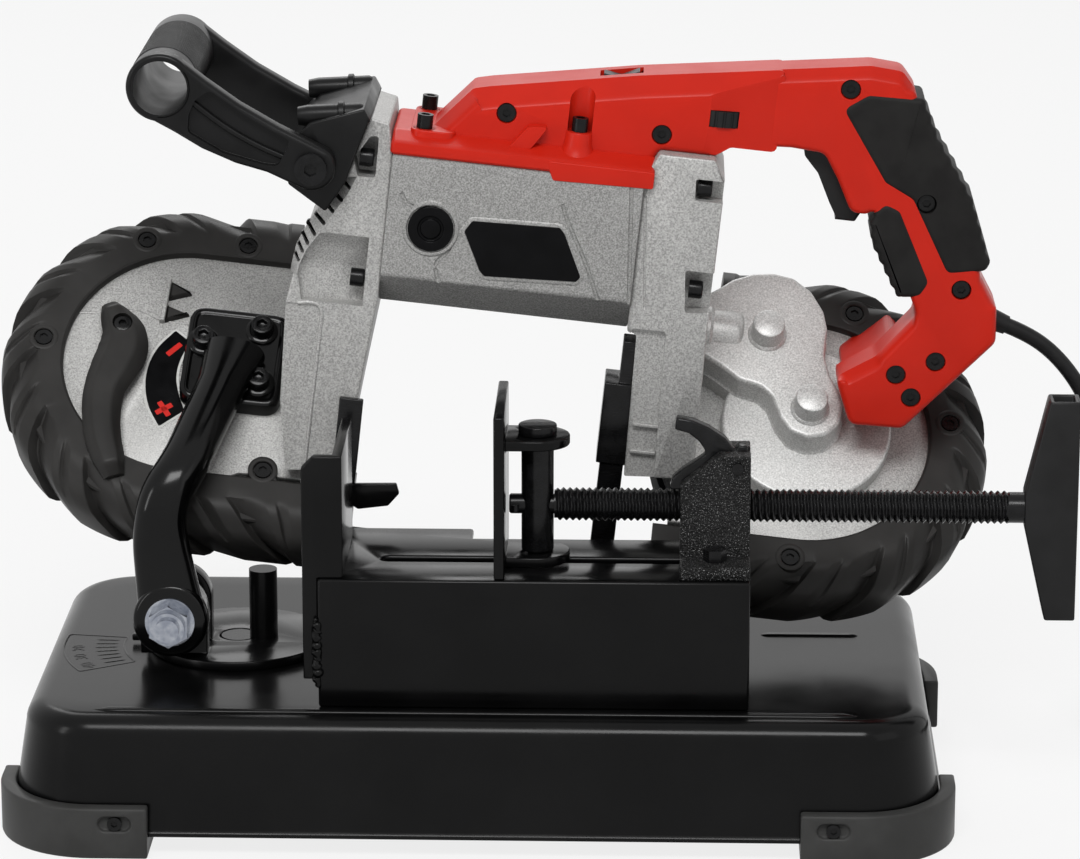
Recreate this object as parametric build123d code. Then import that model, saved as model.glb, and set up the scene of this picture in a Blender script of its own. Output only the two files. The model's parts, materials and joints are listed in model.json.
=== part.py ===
from build123d import *
import math
import os

# A portable deep-cut band saw hinged on a bench stand with a screw vise.
# Sizes are in millimetres and angles in degrees. X runs right along the blade, Y runs away from the
# operator and Z is up, with the floor at Z = 0. The saw head is drawn level, in a frame of its own whose
# origin lies on the swing pivot, and is then dropped onto its stop.

# Clearances, and the reach of cuts that pass right through a piece
RUN_GAP = 0.3
SHAFT_FIT = 0.05
THROUGH = 300.0

# Blade and wheels
BLADE_LENGTH = 1141.0
BLADE_WIDTH = 13.0
BLADE_THICKNESS = 0.65
TWIST_START = 25.0
WHEEL_SPAN = 320.0
WHEEL_WIDTH = 15.0
WHEEL_TILT = 45.0
WHEEL_WEB = 6.0
WHEEL_RIM = 8.0
WHEEL_HUB = 8.0
WEB_HOLE = 13.0
TYRE_THICKNESS = 3.0
AXLE_RADIUS = 8.0

# Stand pan and feet
PAN_LENGTH = 466.0
PAN_DEPTH = 262.0
PAN_HEIGHT = 58.0
PAN_TAPER = 11.0
PAN_CORNER = 45.0
PAN_SHEET = 2.0
PAN_EDGE_RADIUS = 12.0
PAN_X = -24.0
BEAD_WIDTH = 5.0
BEAD_HEIGHT = 1.2
FRONT_BEAD_LENGTH = 375.0
REAR_BEAD_LENGTH = 50.0
FOOT_HEIGHT = 10.0
FOOT_LIP = 16.0
FOOT_WALL = 5.0
FOOT_LENGTH = 78.0
FOOT_DEPTH = 64.0
FOOT_SCREW_RADIUS = 3.5
FOOT_SLOT = 16.0
FOOT_SLOT_DEPTH = 2.5

# Turntable, hinge and stop
SWIVEL_X = -150.0
DISC_RADIUS = 46.0
DISC_THICKNESS = 5.0
SWIVEL_BOLT_RADIUS = 5.0
SWIVEL_RECESS = 3.5
SWIVEL_NUT_FLATS = 16.0
SWIVEL_NUT_HEIGHT = 8.0
SCALE_RADIUS = 62.0
SCALE_TICK = 12.0
SCALE_TICKS = 7
SCALE_START = 177.0
SCALE_STEP = 5.0
TICK_WIDTH = 1.0
PIVOT_X = -180.0
PIVOT_HEIGHT = 22.0
PIVOT_BOLT_RADIUS = 6.0
EAR_RADIUS = 17.0
EAR_THICKNESS = 11.0
EAR_SPACING = 24.0
EYE_RADIUS = 19.0
EYE_THICKNESS = 15.0
EYE_FRONT_Y = -50.0
WASHER_RADIUS = 12.5
WASHER_THICKNESS = 2.0
NUT_ACROSS_FLATS = 19.0
NUT_HEIGHT = 12.0
POST_RADIUS = 7.2
POST_X = -137.0

# Vise
BED_LENGTH = 212.0
BED_X0 = -101.5
BED_FRONT_Y = -102.0
BED_DEPTH = 73.0
BED_HEIGHT = 66.0
BED_SHEET = 4.0
BED_WING_LENGTH = 73.0
CUT_GAP = 10.0
SLOT_WIDTH = 9.0
SLOT_LENGTH = 153.0
VISE_Y = -65.0
SCREW_HEIGHT = 29.0
SCREW_RADIUS = 8.3
THREAD_PITCH = 3.2
THREAD_DEPTH = 1.1
SCREW_TIP_RADIUS = 5.0
COTTER_RADIUS = 1.2
JAW_OPENING = 74.0
JAW_WIDTH = 72.0
JAW_PLATE = 5.0
FIXED_JAW_HEIGHT = 62.0
FIXED_FLANGE = 20.0
MOVING_JAW_HEIGHT = 82.0
EAR_PLATE = 5.0
JAW_EAR_RADIUS = 16.0
SLEEVE_RADIUS = 8.0
JAW_PIN_RADIUS = 4.5
SLEEVE_HEIGHT = 54.0
WING_LENGTH = 112.0
WING_END = 15.0
WING_MIDDLE = 26.0
WING_THICKNESS = 17.0
WING_SHEET = 2.5
WING_HUB = 8.0
NUT_BLOCK_LENGTH = 34.5
NUT_BLOCK_HEIGHT = 58.0
NUT_BLOCK_DEPTH = 30.0
NUT_FLANGE = 7.0
HOOK_THICKNESS = 8.0
HOOK_PIN_RADIUS = 3.0
HEX_BOLT_FLATS = 10.0
HEX_BOLT_HEIGHT = 6.0

# Saw head, measured from the swing pivot
HEAD_DROP = 6.2
IDLER_X = -10.0
CUT_Y = -2.0
CUT_Z = 39.3
ARM_PAD = 10.0
ARM_SCREW_RADIUS = 3.0
ARM_SCREW_HEAD = 5.5
KEY_ROOM = 60.0
PLATE_BACK = 14.0
PLATE_THICKNESS = 6.0
GUIDE_PLATE = 4.0
GUIDE_HALF = 6.0
GUIDE_REACH = 8.0
STOP_PLATE = 3.5
GUARD_FACE = 5.0
GUARD_WALL = 4.0
GUARD_GAP = 7.0
GUARD_OPENING = 64.0
GUARD_BACK_GAP = 2.0
TREAD_HEIGHT = 5.5
TREAD_COUNT = 13
FRAME_OFFSET = 50.0
FRAME_WIDTH = 46.0
FRAME_FRONT_Y = -10.0
FRAME_TOP_Z = 262.0
FRAME_FOOT_Z = 74.0
MOTOR_Y = 24.0
MOTOR_Z = 208.0
MOTOR_HALF_DEPTH = 37.0
MOTOR_TOP = 33.0
MOTOR_BOTTOM = 43.0
MOTOR_CHAMFER = 16.5
MOTOR_BORE = 27.0
BEARING_DEPTH = 22.0
BRUSH_RADIUS = 11.4
COMMUTATOR_RADIUS = 10.0
COMMUTATOR_LENGTH = 16.0
FAN_LENGTH = 10.0
FIELD_WALL = 7.0
FIELD_LENGTH = 58.0
AIR_GAP = 1.0
ARMATURE_SHAFT = 4.0
GEAR_OFFSET = 58.0
GEAR_WIDTH = 40.0
GEAR_LEG_WIDTH = 33.0
GEAR_FOOT_Z = 90.0
GEAR_TOP_Z = 258.0

# Gear train
BIG_TEETH = 40
BIG_PINION_TEETH = 10
CROWN_TEETH = 27
CROWN_PINION_TEETH = 9
LAY_TEETH = 28
TRANSFER_TEETH = 25
MOTOR_TEETH = 8
CROWN_MODULE = 1.2
INTER_DX = -25.0
INTER_DU = 41.0
SPUR_WIDTH = 8.0
BIG_WIDTH = 6.0
CROWN_DISC = 3.0
CROWN_TOOTH = 1.25
SHAFT_RADIUS = 5.0
CASE_WALL = 2.5
LOBE_TOP = 46.0
LOBE_RADIUS = 33.0
SMALL_LOBE_RADIUS = 17.0
BOSS_RADIUS = 8.0
BOSS_HEIGHT = 12.0
NECK_RADIUS = 13.0

# Covers and handles
SHELF_EDGE = 8.6
SHELF_HEIGHT = 13.4
COVER_HALF_WIDTH = 25.0
GRIP_HALF_WIDTH = 18.0
COVER_SCREW = 4.5
STANDING_SCREW = 4.0
STANDING_BOSS = 6.7
SCREW_CHANNEL = 6.0
PAD_PROUD = 0.7
TRIGGER_WIDTH = 15.0
CONTROL_PIN = 2.5
CONTROL_PIN_REACH = 2.5
DIAL_RADIUS = 12.0
DIAL_HEIGHT = 8.0
ROCKER_LENGTH = 18.0
ROCKER_WIDTH = 11.0
ROCKER_HEIGHT = 9.0
BAIL_PIVOT_DX = 57.5
BAIL_PIVOT_Z = 236.0
BAIL_REACH = 84.0
BAIL_RISE = 22.0
BAIL_HALF_SPAN = 56.0
BAIL_ARM = 12.0
BAIL_TUBE_RADIUS = 17.0
BAIL_TUBE_WALL = 3.5
BAIL_EYE_RADIUS = 12.0
BAIL_PANEL = 16.0
BAIL_PANEL_DEPTH = 3.5
BRACKET_BOSS = 10.0
BAIL_BOLT_RADIUS = 5.0

# Idler carriage and tension lever
CARRIAGE_TRAVEL = 8.0
CARRIAGE_SIZE = 34.0
CARRIAGE_NECK = 20.0
LEVER_PIVOT = (-35.5, 13.0)
LEVER_THICKNESS = 8.0

# Mains lead
CORD_RADIUS = 4.0
RELIEF_LENGTH = 22.0
RELIEF_RADIUS = 7.0
RELIEF_DIP = 16.0
TIE_SHEET = 1.2
TIE_WIDTH = 12.0
COIL_TURNS = 3.5
COIL_PITCH = 8.6
COIL_RADIUS = 63.0
COIL_CENTRE = (362.0, 112.0)
COIL_TAIL = 34.0
FALL_RUNS = ((22.2, 12.0), (36.0, 16.0), (50.0, 18.0), (62.0, 20.0), (73.0, 24.0), (82.0, 30.0),
             (87.0, 36.0))
FLOOR_RUNS = ((0.0, 14.0), (14.0, 18.0), (30.0, 18.0), (46.0, 18.0), (62.0, 18.0), (78.0, 26.0))
PLUG_LENGTH = 42.0
PLUG_WIDTH = 36.0
PLUG_NECK = 18.0
PIN_RADIUS = 2.4
PIN_LENGTH = 19.0
PIN_SPACING = 19.0

# Sizes that follow from the ones above
TILT_SIN = math.sin(math.radians(WHEEL_TILT))
TILT_COS = math.cos(math.radians(WHEEL_TILT))
BLADE_RADIUS = (BLADE_LENGTH - 2 * WHEEL_SPAN) / (2 * math.pi)
WHEEL_RADIUS = BLADE_RADIUS - BLADE_THICKNESS / 2 - RUN_GAP
AXLE_Y = CUT_Y + BLADE_RADIUS * TILT_SIN
AXLE_Z = CUT_Z + BLADE_RADIUS * TILT_COS
DRIVE_X = IDLER_X + WHEEL_SPAN
NORMAL = Vector(0, -TILT_SIN, TILT_COS)
UPWARD = Vector(0, TILT_COS, TILT_SIN)
PLATE_FRONT = PLATE_BACK + PLATE_THICKNESS
GUARD_FRONT = PLATE_FRONT + GUARD_FACE
GUARD_BACK = -WHEEL_WIDTH / 2 - GUARD_BACK_GAP
GUARD_INNER = BLADE_RADIUS + GUARD_GAP
GUARD_OUTER = GUARD_INNER + GUARD_WALL
TREAD_RADIUS = GUARD_OUTER + TREAD_HEIGHT
FRAME_X0 = IDLER_X + FRAME_OFFSET
FRAME_X1 = FRAME_X0 + FRAME_WIDTH
GEAR_X1 = DRIVE_X - GEAR_OFFSET
GEAR_X0 = GEAR_X1 - GEAR_WIDTH
LEG_X0 = GEAR_X1 - GEAR_LEG_WIDTH
PAN_TOP = FOOT_HEIGHT + PAN_HEIGHT
DISC_TOP = PAN_TOP + DISC_THICKNESS
PIVOT_Z = DISC_TOP + PIVOT_HEIGHT
BED_TOP = PAN_TOP + BED_HEIGHT
BED_REAR_Y = BED_FRONT_Y + BED_DEPTH
SCREW_Z = BED_TOP + SCREW_HEIGHT
FIXED_FACE_X = BED_X0 + 12.5
MOVING_FACE_X = FIXED_FACE_X + JAW_OPENING
SLEEVE_X = MOVING_FACE_X + JAW_PLATE + 15.5
NUT_BLOCK_X1 = BED_X0 + BED_LENGTH
NUT_BLOCK_X0 = NUT_BLOCK_X1 - NUT_BLOCK_LENGTH
WING_X0 = NUT_BLOCK_X1 + 135.0
INTER_X = DRIVE_X + INTER_DX
BIG_MODULE = 2 * math.hypot(INTER_DX, INTER_DU) / (BIG_TEETH + BIG_PINION_TEETH)
BIG_W0 = PLATE_FRONT + 0.8
BIG_W1 = BIG_W0 + BIG_WIDTH
CROWN_W0 = BIG_W1 + 0.8
CROWN_W1 = CROWN_W0 + CROWN_DISC
CROWN_RADIUS = CROWN_TEETH * CROWN_MODULE / 2
CROWN_PINION_RADIUS = CROWN_PINION_TEETH * CROWN_MODULE / 2
LAY_W = CROWN_W1 + 0.8 + CROWN_PINION_RADIUS
BIG_CASE_RADIUS = BIG_TEETH * BIG_MODULE / 2 + 3.0
SHELF_HALF_WIDTH = MOTOR_HALF_DEPTH
COIL_BASE = CORD_RADIUS + TIE_SHEET + RUN_GAP
HEAD = Location((PIVOT_X, 0, PIVOT_Z), (0, HEAD_DROP, 0))


def box(x0, x1, y0, y1, z0, z1):
    """Block between two corners."""
    return Pos((x0 + x1) / 2, (y0 + y1) / 2, (z0 + z1) / 2) * Box(x1 - x0, y1 - y0, z1 - z0)


def bar(origin, direction, radius, length):
    """Round bar that starts at origin."""
    return extrude(Plane(origin, z_dir=direction) * Circle(radius), amount=length)


def hex_bar(origin, direction, across_flats, length):
    """Hexagonal bar that starts at origin."""
    shape = RegularPolygon(across_flats / math.sqrt(3), 6)
    return extrude(Plane(origin, z_dir=direction) * shape, amount=length)


def outline(points, radius=0.0):
    """Flat polygon that faces up, with its corners rounded where a radius is given."""
    area = sum(a[0] * b[1] - b[0] * a[1] for a, b in zip(points, points[1:] + points[:1]))
    face = Sketch() + Polygon(*(points if area > 0 else points[::-1]), align=None)
    return fillet(face.vertices(), radius) if radius else face


def prism_y(shape, y0, y1):
    """Upright X-Z outline carried from y0 to y1."""
    return extrude(Plane((0, y1, 0), x_dir=(1, 0, 0), z_dir=(0, -1, 0)) * shape, amount=y1 - y0)


def prism_x(shape, x0, x1):
    """Upright Y-Z outline carried from x0 to x1."""
    return extrude(Plane((x0, 0, 0), x_dir=(0, 1, 0), z_dir=(1, 0, 0)) * shape, amount=x1 - x0)


def prism_z(shape, z0, z1):
    """Flat X-Y outline carried from z0 to z1."""
    return extrude(Plane((0, 0, z0)) * shape, amount=z1 - z0)


def wheel_point(x, u, w):
    """Head point from a place along X, up the tilted wheel plane and out along its normal."""
    return Vector(x, AXLE_Y, AXLE_Z) + UPWARD * u + NORMAL * w


def slab(shape, x, w0, w1, u=0.0):
    """Outline in the tilted wheel plane at x and u, carried from w0 to w1 along the normal."""
    plane = Plane(wheel_point(x, u, w0), x_dir=(1, 0, 0), z_dir=NORMAL)
    return extrude(plane * shape, amount=w1 - w0)


def ring(outer, inner):
    """Flat ring."""
    return Circle(outer) - Circle(inner)


def polar(radius, angle):
    """Point on a circle about the origin."""
    return radius * math.cos(math.radians(angle)), radius * math.sin(math.radians(angle))


def rounded(length, depth, corner):
    """Rectangle with round corners."""
    return RectangleRounded(length, depth, corner)


# Stand

def pan_form(inset, top, edge_radius):
    """Tapered pan body, set in from the outer skin."""
    lower = Plane((PAN_X, 0, FOOT_HEIGHT)) * rounded(
        PAN_LENGTH - 2 * inset, PAN_DEPTH - 2 * inset, PAN_CORNER - inset)
    drawn_in = PAN_TAPER + inset
    upper = Plane((PAN_X, 0, top)) * rounded(
        PAN_LENGTH - 2 * drawn_in, PAN_DEPTH - 2 * drawn_in, PAN_CORNER - drawn_in)
    body = loft([lower.face(), upper.face()])
    return fillet(body.faces().sort_by(Axis.Z)[-1].edges(), edge_radius)


def base_pan():
    """Pressed pan with its embossed beads, angle scale and swivel hole."""
    pan = pan_form(0, PAN_TOP, PAN_EDGE_RADIUS)
    pan -= pan_form(PAN_SHEET, PAN_TOP - PAN_SHEET, PAN_EDGE_RADIUS - PAN_SHEET)
    front_y = PAN_TAPER + PAN_EDGE_RADIUS - PAN_DEPTH / 2
    front_bead = Pos(PAN_X, front_y) * SlotOverall(FRONT_BEAD_LENGTH, BEAD_WIDTH)
    rear_bead = Pos(NUT_BLOCK_X1 + REAR_BEAD_LENGTH / 2 + 8, -CUT_Y + 18) * SlotOverall(
        REAR_BEAD_LENGTH, BEAD_WIDTH)
    pan += prism_z(front_bead, PAN_TOP - PAN_SHEET / 2, PAN_TOP + BEAD_HEIGHT)
    pan += prism_z(rear_bead, PAN_TOP - PAN_SHEET / 2, PAN_TOP + BEAD_HEIGHT)
    tick = Pos(SCALE_RADIUS + SCALE_TICK / 2, 0) * Rectangle(SCALE_TICK, TICK_WIDTH)
    for step in range(SCALE_TICKS):
        mark = Pos(SWIVEL_X, CUT_Y) * Rot(0, 0, SCALE_START + SCALE_STEP * step) * tick
        pan += prism_z(mark, PAN_TOP - PAN_SHEET / 2, PAN_TOP + BEAD_HEIGHT / 2)
    return pan - bar((SWIVEL_X, CUT_Y, FOOT_HEIGHT), (0, 0, 1), SWIVEL_BOLT_RADIUS + SHAFT_FIT, THROUGH)


def corner_foot(side_x, side_y):
    """Corner foot that cups one corner of the pan."""
    outer = rounded(PAN_LENGTH + 2 * FOOT_WALL, PAN_DEPTH + 2 * FOOT_WALL, PAN_CORNER + FOOT_WALL)
    body = prism_z(Pos(PAN_X, 0) * outer, 0, FOOT_HEIGHT + FOOT_LIP)
    edge_x = PAN_LENGTH / 2 + FOOT_WALL
    edge_y = PAN_DEPTH / 2 + FOOT_WALL
    corner = Pos(PAN_X + side_x * (edge_x - FOOT_LENGTH / 2), side_y * (edge_y - FOOT_DEPTH / 2))
    body &= prism_z(corner * Rectangle(FOOT_LENGTH, FOOT_DEPTH), 0, FOOT_HEIGHT + FOOT_LIP)
    body -= pan_form(0, PAN_TOP, PAN_EDGE_RADIUS)
    slot = SlotOverall(FOOT_SLOT, 2 * FOOT_SCREW_RADIUS + 0.4)
    slot = Pos(foot_screw_x(side_x), FOOT_HEIGHT + FOOT_LIP / 2) * slot
    face_y = side_y * edge_y
    return body - prism_y(slot, face_y - FOOT_SLOT_DEPTH, face_y + FOOT_SLOT_DEPTH)


def corner_feet():
    """The four corner feet."""
    return Compound([corner_foot(side_x, side_y) for side_x in (-1, 1) for side_y in (-1, 1)])


def foot_screw_x(side_x):
    """Place of a foot's screw along X."""
    return PAN_X + side_x * (PAN_LENGTH / 2 + FOOT_WALL - FOOT_LENGTH + 16.0)


def foot_screws():
    """Pan-head screws in the slots of the four feet."""
    screws = []
    for side_x in (-1, 1):
        for side_y in (-1, 1):
            way = Vector(0, side_y, 0)
            y = side_y * (PAN_DEPTH / 2 + FOOT_WALL - FOOT_SLOT_DEPTH)
            seat = Vector(foot_screw_x(side_x), y, FOOT_HEIGHT + FOOT_LIP / 2)
            screws.append(bar(seat, way, FOOT_SCREW_RADIUS, 2.0) - hex_bar(seat + way, way, 3.0, 2.0))
    return Compound(screws)


def turntable():
    """Swivel disc with the two ears of the swing hinge and a pointer."""
    body = bar((SWIVEL_X, CUT_Y, PAN_TOP), (0, 0, 1), DISC_RADIUS, DISC_THICKNESS)
    body += box(SWIVEL_X - DISC_RADIUS - 9, SWIVEL_X, CUT_Y - 2, CUT_Y + 2, PAN_TOP + 1.5, DISC_TOP)
    ear = Circle(EAR_RADIUS) + Pos(0, -PIVOT_HEIGHT / 2) * Rectangle(2 * EAR_RADIUS, PIVOT_HEIGHT)
    ear = Pos(PIVOT_X, PIVOT_Z) * ear
    for start in ear_starts():
        body += prism_y(ear, start, start + EAR_THICKNESS)
    body -= bar((PIVOT_X, EYE_FRONT_Y, PIVOT_Z), (0, 1, 0), PIVOT_BOLT_RADIUS + SHAFT_FIT, THROUGH)
    body -= bar((SWIVEL_X, CUT_Y, PAN_TOP - 1), (0, 0, 1), SWIVEL_BOLT_RADIUS + SHAFT_FIT, THROUGH)
    return body - bar((SWIVEL_X, CUT_Y, DISC_TOP - SWIVEL_RECESS), (0, 0, 1), HEX_BOLT_FLATS, THROUGH)


def ear_starts():
    """Front faces of the two hinge ears."""
    first = EYE_FRONT_Y + EYE_THICKNESS + RUN_GAP
    return first, first + EAR_SPACING


def swivel_bolt():
    """Bolt on which the turntable swivels, flush in the disc, with its nut under the pan."""
    head_seat = DISC_TOP - SWIVEL_RECESS + RUN_GAP
    nut_seat = PAN_TOP - PAN_SHEET - SWIVEL_NUT_HEIGHT
    tail = nut_seat - 4.0
    body = bar((SWIVEL_X, CUT_Y, tail), (0, 0, 1), SWIVEL_BOLT_RADIUS, head_seat + 2.0 - tail)
    body += bar((SWIVEL_X, CUT_Y, head_seat), (0, 0, 1), HEX_BOLT_FLATS - 1.0, 3.0)
    return body + hex_bar((SWIVEL_X, CUT_Y, nut_seat), (0, 0, 1), SWIVEL_NUT_FLATS, SWIVEL_NUT_HEIGHT)


def stop_post():
    """Post on which the lowered head comes to rest."""
    rest = guard_rim_height(POST_X)
    return bar((POST_X, post_y(), DISC_TOP), (0, 0, 1), POST_RADIUS, rest - RUN_GAP - DISC_TOP)


def post_y():
    """The post stands under the rear edge of the idler guard's rim."""
    return AXLE_Y - (TREAD_RADIUS + GUARD_BACK) * TILT_SIN + 3.0


def guard_rim_height(x):
    """Lowest height of the idler guard over the post, with the head at rest."""
    lean = math.radians(HEAD_DROP)
    local_x = (x - PIVOT_X) + POST_RADIUS
    drop = TREAD_RADIUS * TILT_COS - GUARD_BACK * TILT_COS
    low = AXLE_Z - drop
    return PIVOT_Z + low * math.cos(lean) - local_x * math.sin(lean) - 1.0


def pivot_hardware():
    """Hinge bolt with its head behind, and the washers and lock nut in front."""
    rear = ear_starts()[1] + EAR_THICKNESS
    front = EYE_FRONT_Y - WASHER_THICKNESS
    nut_front = front - NUT_HEIGHT
    tail = nut_front - 3.0
    head_seat = rear + WASHER_THICKNESS
    bolt = bar((PIVOT_X, tail, PIVOT_Z), (0, 1, 0), PIVOT_BOLT_RADIUS, head_seat - tail)
    bolt += hex_bar((PIVOT_X, head_seat, PIVOT_Z), (0, 1, 0), NUT_ACROSS_FLATS, 8.0)
    washers = [bar((PIVOT_X, y, PIVOT_Z), (0, 1, 0), WASHER_RADIUS, WASHER_THICKNESS)
               for y in (front, rear)]
    hole = bar((PIVOT_X, tail, PIVOT_Z), (0, 1, 0), PIVOT_BOLT_RADIUS, THROUGH)
    hexagon = 0.7 * NUT_HEIGHT
    nut = hex_bar((PIVOT_X, front - hexagon, PIVOT_Z), (0, 1, 0), NUT_ACROSS_FLATS, hexagon)
    nut += bar((PIVOT_X, nut_front, PIVOT_Z), (0, 1, 0), NUT_ACROSS_FLATS / 2 - 1, NUT_HEIGHT)
    return Compound([bolt, nut - hole] + [washer - hole for washer in washers])


# Vise

def vise_bed():
    """Folded bed with its rear wing and the jaw slot."""
    x1 = BED_X0 + BED_LENGTH
    bed = box(BED_X0, x1, BED_FRONT_Y, BED_REAR_Y, PAN_TOP, BED_TOP)
    front, rear, under = BED_FRONT_Y + BED_SHEET, BED_REAR_Y - BED_SHEET, BED_TOP - BED_SHEET
    bed -= box(BED_X0 - 1, x1 + 1, front, rear, PAN_TOP - 1, under)
    bed += box(BED_X0, BED_X0 + BED_WING_LENGTH, rear, CUT_Y - CUT_GAP, under, BED_TOP)
    slot_x = NUT_BLOCK_X0 - SLOT_LENGTH / 2 + SLOT_WIDTH / 2
    slot = Pos(slot_x, VISE_Y) * SlotOverall(SLOT_LENGTH, SLOT_WIDTH)
    return bed - prism_z(slot, BED_TOP - 2 * BED_SHEET, BED_TOP + 1)


def fixed_jaw():
    """Angle plate welded to the left end of the bed."""
    top = BED_TOP + FIXED_JAW_HEIGHT
    front = BED_FRONT_Y + 2.0
    x0 = FIXED_FACE_X - FIXED_FLANGE
    face = box(FIXED_FACE_X - JAW_PLATE, FIXED_FACE_X, front, front + JAW_WIDTH, BED_TOP, top)
    low = PAN_TOP + 14.0
    flange = outline([(x0, low), (BED_X0, low), (BED_X0, BED_TOP), (FIXED_FACE_X, BED_TOP),
                      (FIXED_FACE_X, top), (x0 + 6, top), (x0, top - 6)])
    weld = 2.2
    bead = bar((BED_X0 - weld, front + JAW_PLATE + 1.0, low + 4), (0, 0, 1), weld, BED_HEIGHT - 22)
    return face + prism_y(flange, front, front + JAW_PLATE) + bead


def nut_block():
    """Cast block that carries the lead screw's nut and the release hook."""
    x0, x1 = NUT_BLOCK_X0, NUT_BLOCK_X1
    top = BED_TOP + NUT_BLOCK_HEIGHT
    shape = outline([(x0, BED_TOP), (x1, BED_TOP), (x1, top), (x0 + 19, top), (x0, top - 16)])
    body = prism_y(shape, VISE_Y - NUT_BLOCK_DEPTH / 2, VISE_Y + NUT_BLOCK_DEPTH / 2)
    body += box(x0, x1, BED_FRONT_Y + 3, BED_REAR_Y - 3, BED_TOP, BED_TOP + NUT_FLANGE)
    body -= bar((x0 - 1, VISE_Y, SCREW_Z), (1, 0, 0), SCREW_RADIUS + RUN_GAP, NUT_BLOCK_LENGTH + 2)
    half = HOOK_THICKNESS / 2 + RUN_GAP
    body -= box(x0 - 1, x1 + 1, VISE_Y - half, VISE_Y + half, SCREW_Z, top + 1)
    pin_x, pin_z = hook_pivot()
    return body - bar((pin_x, VISE_Y - THROUGH / 2, pin_z), (0, 1, 0), HOOK_PIN_RADIUS, THROUGH)


def nut_block_bolts():
    """Two hex bolts that hold the nut block down on the bed."""
    x = (NUT_BLOCK_X0 + NUT_BLOCK_X1) / 2
    offset = NUT_BLOCK_DEPTH / 2 + HEX_BOLT_FLATS / 2 + 2.0
    seats = [Vector(x, VISE_Y + side * offset, BED_TOP + NUT_FLANGE) for side in (-1, 1)]
    return Compound([hex_bar(seat, (0, 0, 1), HEX_BOLT_FLATS, HEX_BOLT_HEIGHT) for seat in seats])


def hook_pivot():
    """Pin of the release hook, near the block's top right corner."""
    return NUT_BLOCK_X1 - 6.5, BED_TOP + NUT_BLOCK_HEIGHT - 6.5


def release_hook():
    """Hook-shaped lever that lifts the half nut off the lead screw."""
    pin_x, pin_z = hook_pivot()
    x0 = NUT_BLOCK_X0
    low = SCREW_Z + SCREW_RADIUS + RUN_GAP
    claw = [(pin_x + 5, pin_z + 9), (pin_x, pin_z + 9), (pin_x - 1, pin_z + 6), (x0 + 22, pin_z + 12.5),
            (x0 + 14, pin_z + 18), (x0 + 6, pin_z + 21.5), (x0 - 2, pin_z + 23), (x0 - 3, pin_z + 17),
            (x0 + 4, pin_z + 15), (x0 + 9, pin_z + 11), (x0 + 12, pin_z + 6.5), (x0 + 12, pin_z + 4)]
    heel = [(x0 + 7, pin_z + 0.5), (x0 + 1, pin_z - 3.5), (x0 - 4, pin_z - 8), (x0 - 5, low + 2),
            (x0 - 5, low), (x0 + 20, low), (pin_x + 5, pin_z - 5)]
    shape = outline(claw + heel)
    body = prism_y(shape, VISE_Y - HOOK_THICKNESS / 2, VISE_Y + HOOK_THICKNESS / 2)
    hole = HOOK_PIN_RADIUS + SHAFT_FIT
    return body - bar((pin_x, VISE_Y - THROUGH / 2, pin_z), (0, 1, 0), hole, THROUGH)


def hook_pin():
    """Cross pin of the release hook."""
    pin_x, pin_z = hook_pivot()
    return bar((pin_x, VISE_Y - NUT_BLOCK_DEPTH / 2, pin_z), (0, 1, 0), HOOK_PIN_RADIUS, NUT_BLOCK_DEPTH)


def moving_jaw():
    """Sliding jaw plate with the two ears that hold the jaw pin."""
    x0 = MOVING_FACE_X
    x1 = x0 + JAW_PLATE
    z0 = BED_TOP + RUN_GAP
    y0, y1 = VISE_Y - JAW_WIDTH / 2, VISE_Y + JAW_WIDTH / 2
    body = box(x0, x1, y0, y1, z0, z0 + MOVING_JAW_HEIGHT)
    ear = Pos(SLEEVE_X, VISE_Y) * Circle(JAW_EAR_RADIUS)
    ear += Pos((x0 + SLEEVE_X) / 2, VISE_Y) * Rectangle(SLEEVE_X - x0, 2 * JAW_EAR_RADIUS)
    for z in (z0, z0 + EAR_PLATE + SLEEVE_HEIGHT + 2 * RUN_GAP):
        body += prism_z(ear, z, z + EAR_PLATE)
    return body - bar((SLEEVE_X, VISE_Y, BED_TOP), (0, 0, 1), JAW_PIN_RADIUS + SHAFT_FIT, THROUGH)


def jaw_trunnion():
    """Round trunnion between the jaw's ears, cross-bored for the lead screw's tip, with a headed top."""
    low = BED_TOP + RUN_GAP
    sleeve = low + EAR_PLATE + RUN_GAP
    top = sleeve + SLEEVE_HEIGHT + RUN_GAP + EAR_PLATE
    body = bar((SLEEVE_X, VISE_Y, low), (0, 0, 1), JAW_PIN_RADIUS, top - low)
    body += bar((SLEEVE_X, VISE_Y, sleeve), (0, 0, 1), SLEEVE_RADIUS, SLEEVE_HEIGHT)
    body += bar((SLEEVE_X, VISE_Y, top), (0, 0, 1), JAW_PIN_RADIUS + 5.0, 5.0)
    bore = SCREW_TIP_RADIUS + SHAFT_FIT
    return body - bar((SLEEVE_X - THROUGH / 2, VISE_Y, SCREW_Z), (1, 0, 0), bore, THROUGH)


def screw_tip_end():
    """Left end of the lead screw's tip, past the sleeve."""
    return SLEEVE_X - SLEEVE_RADIUS - 6.0


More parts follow.
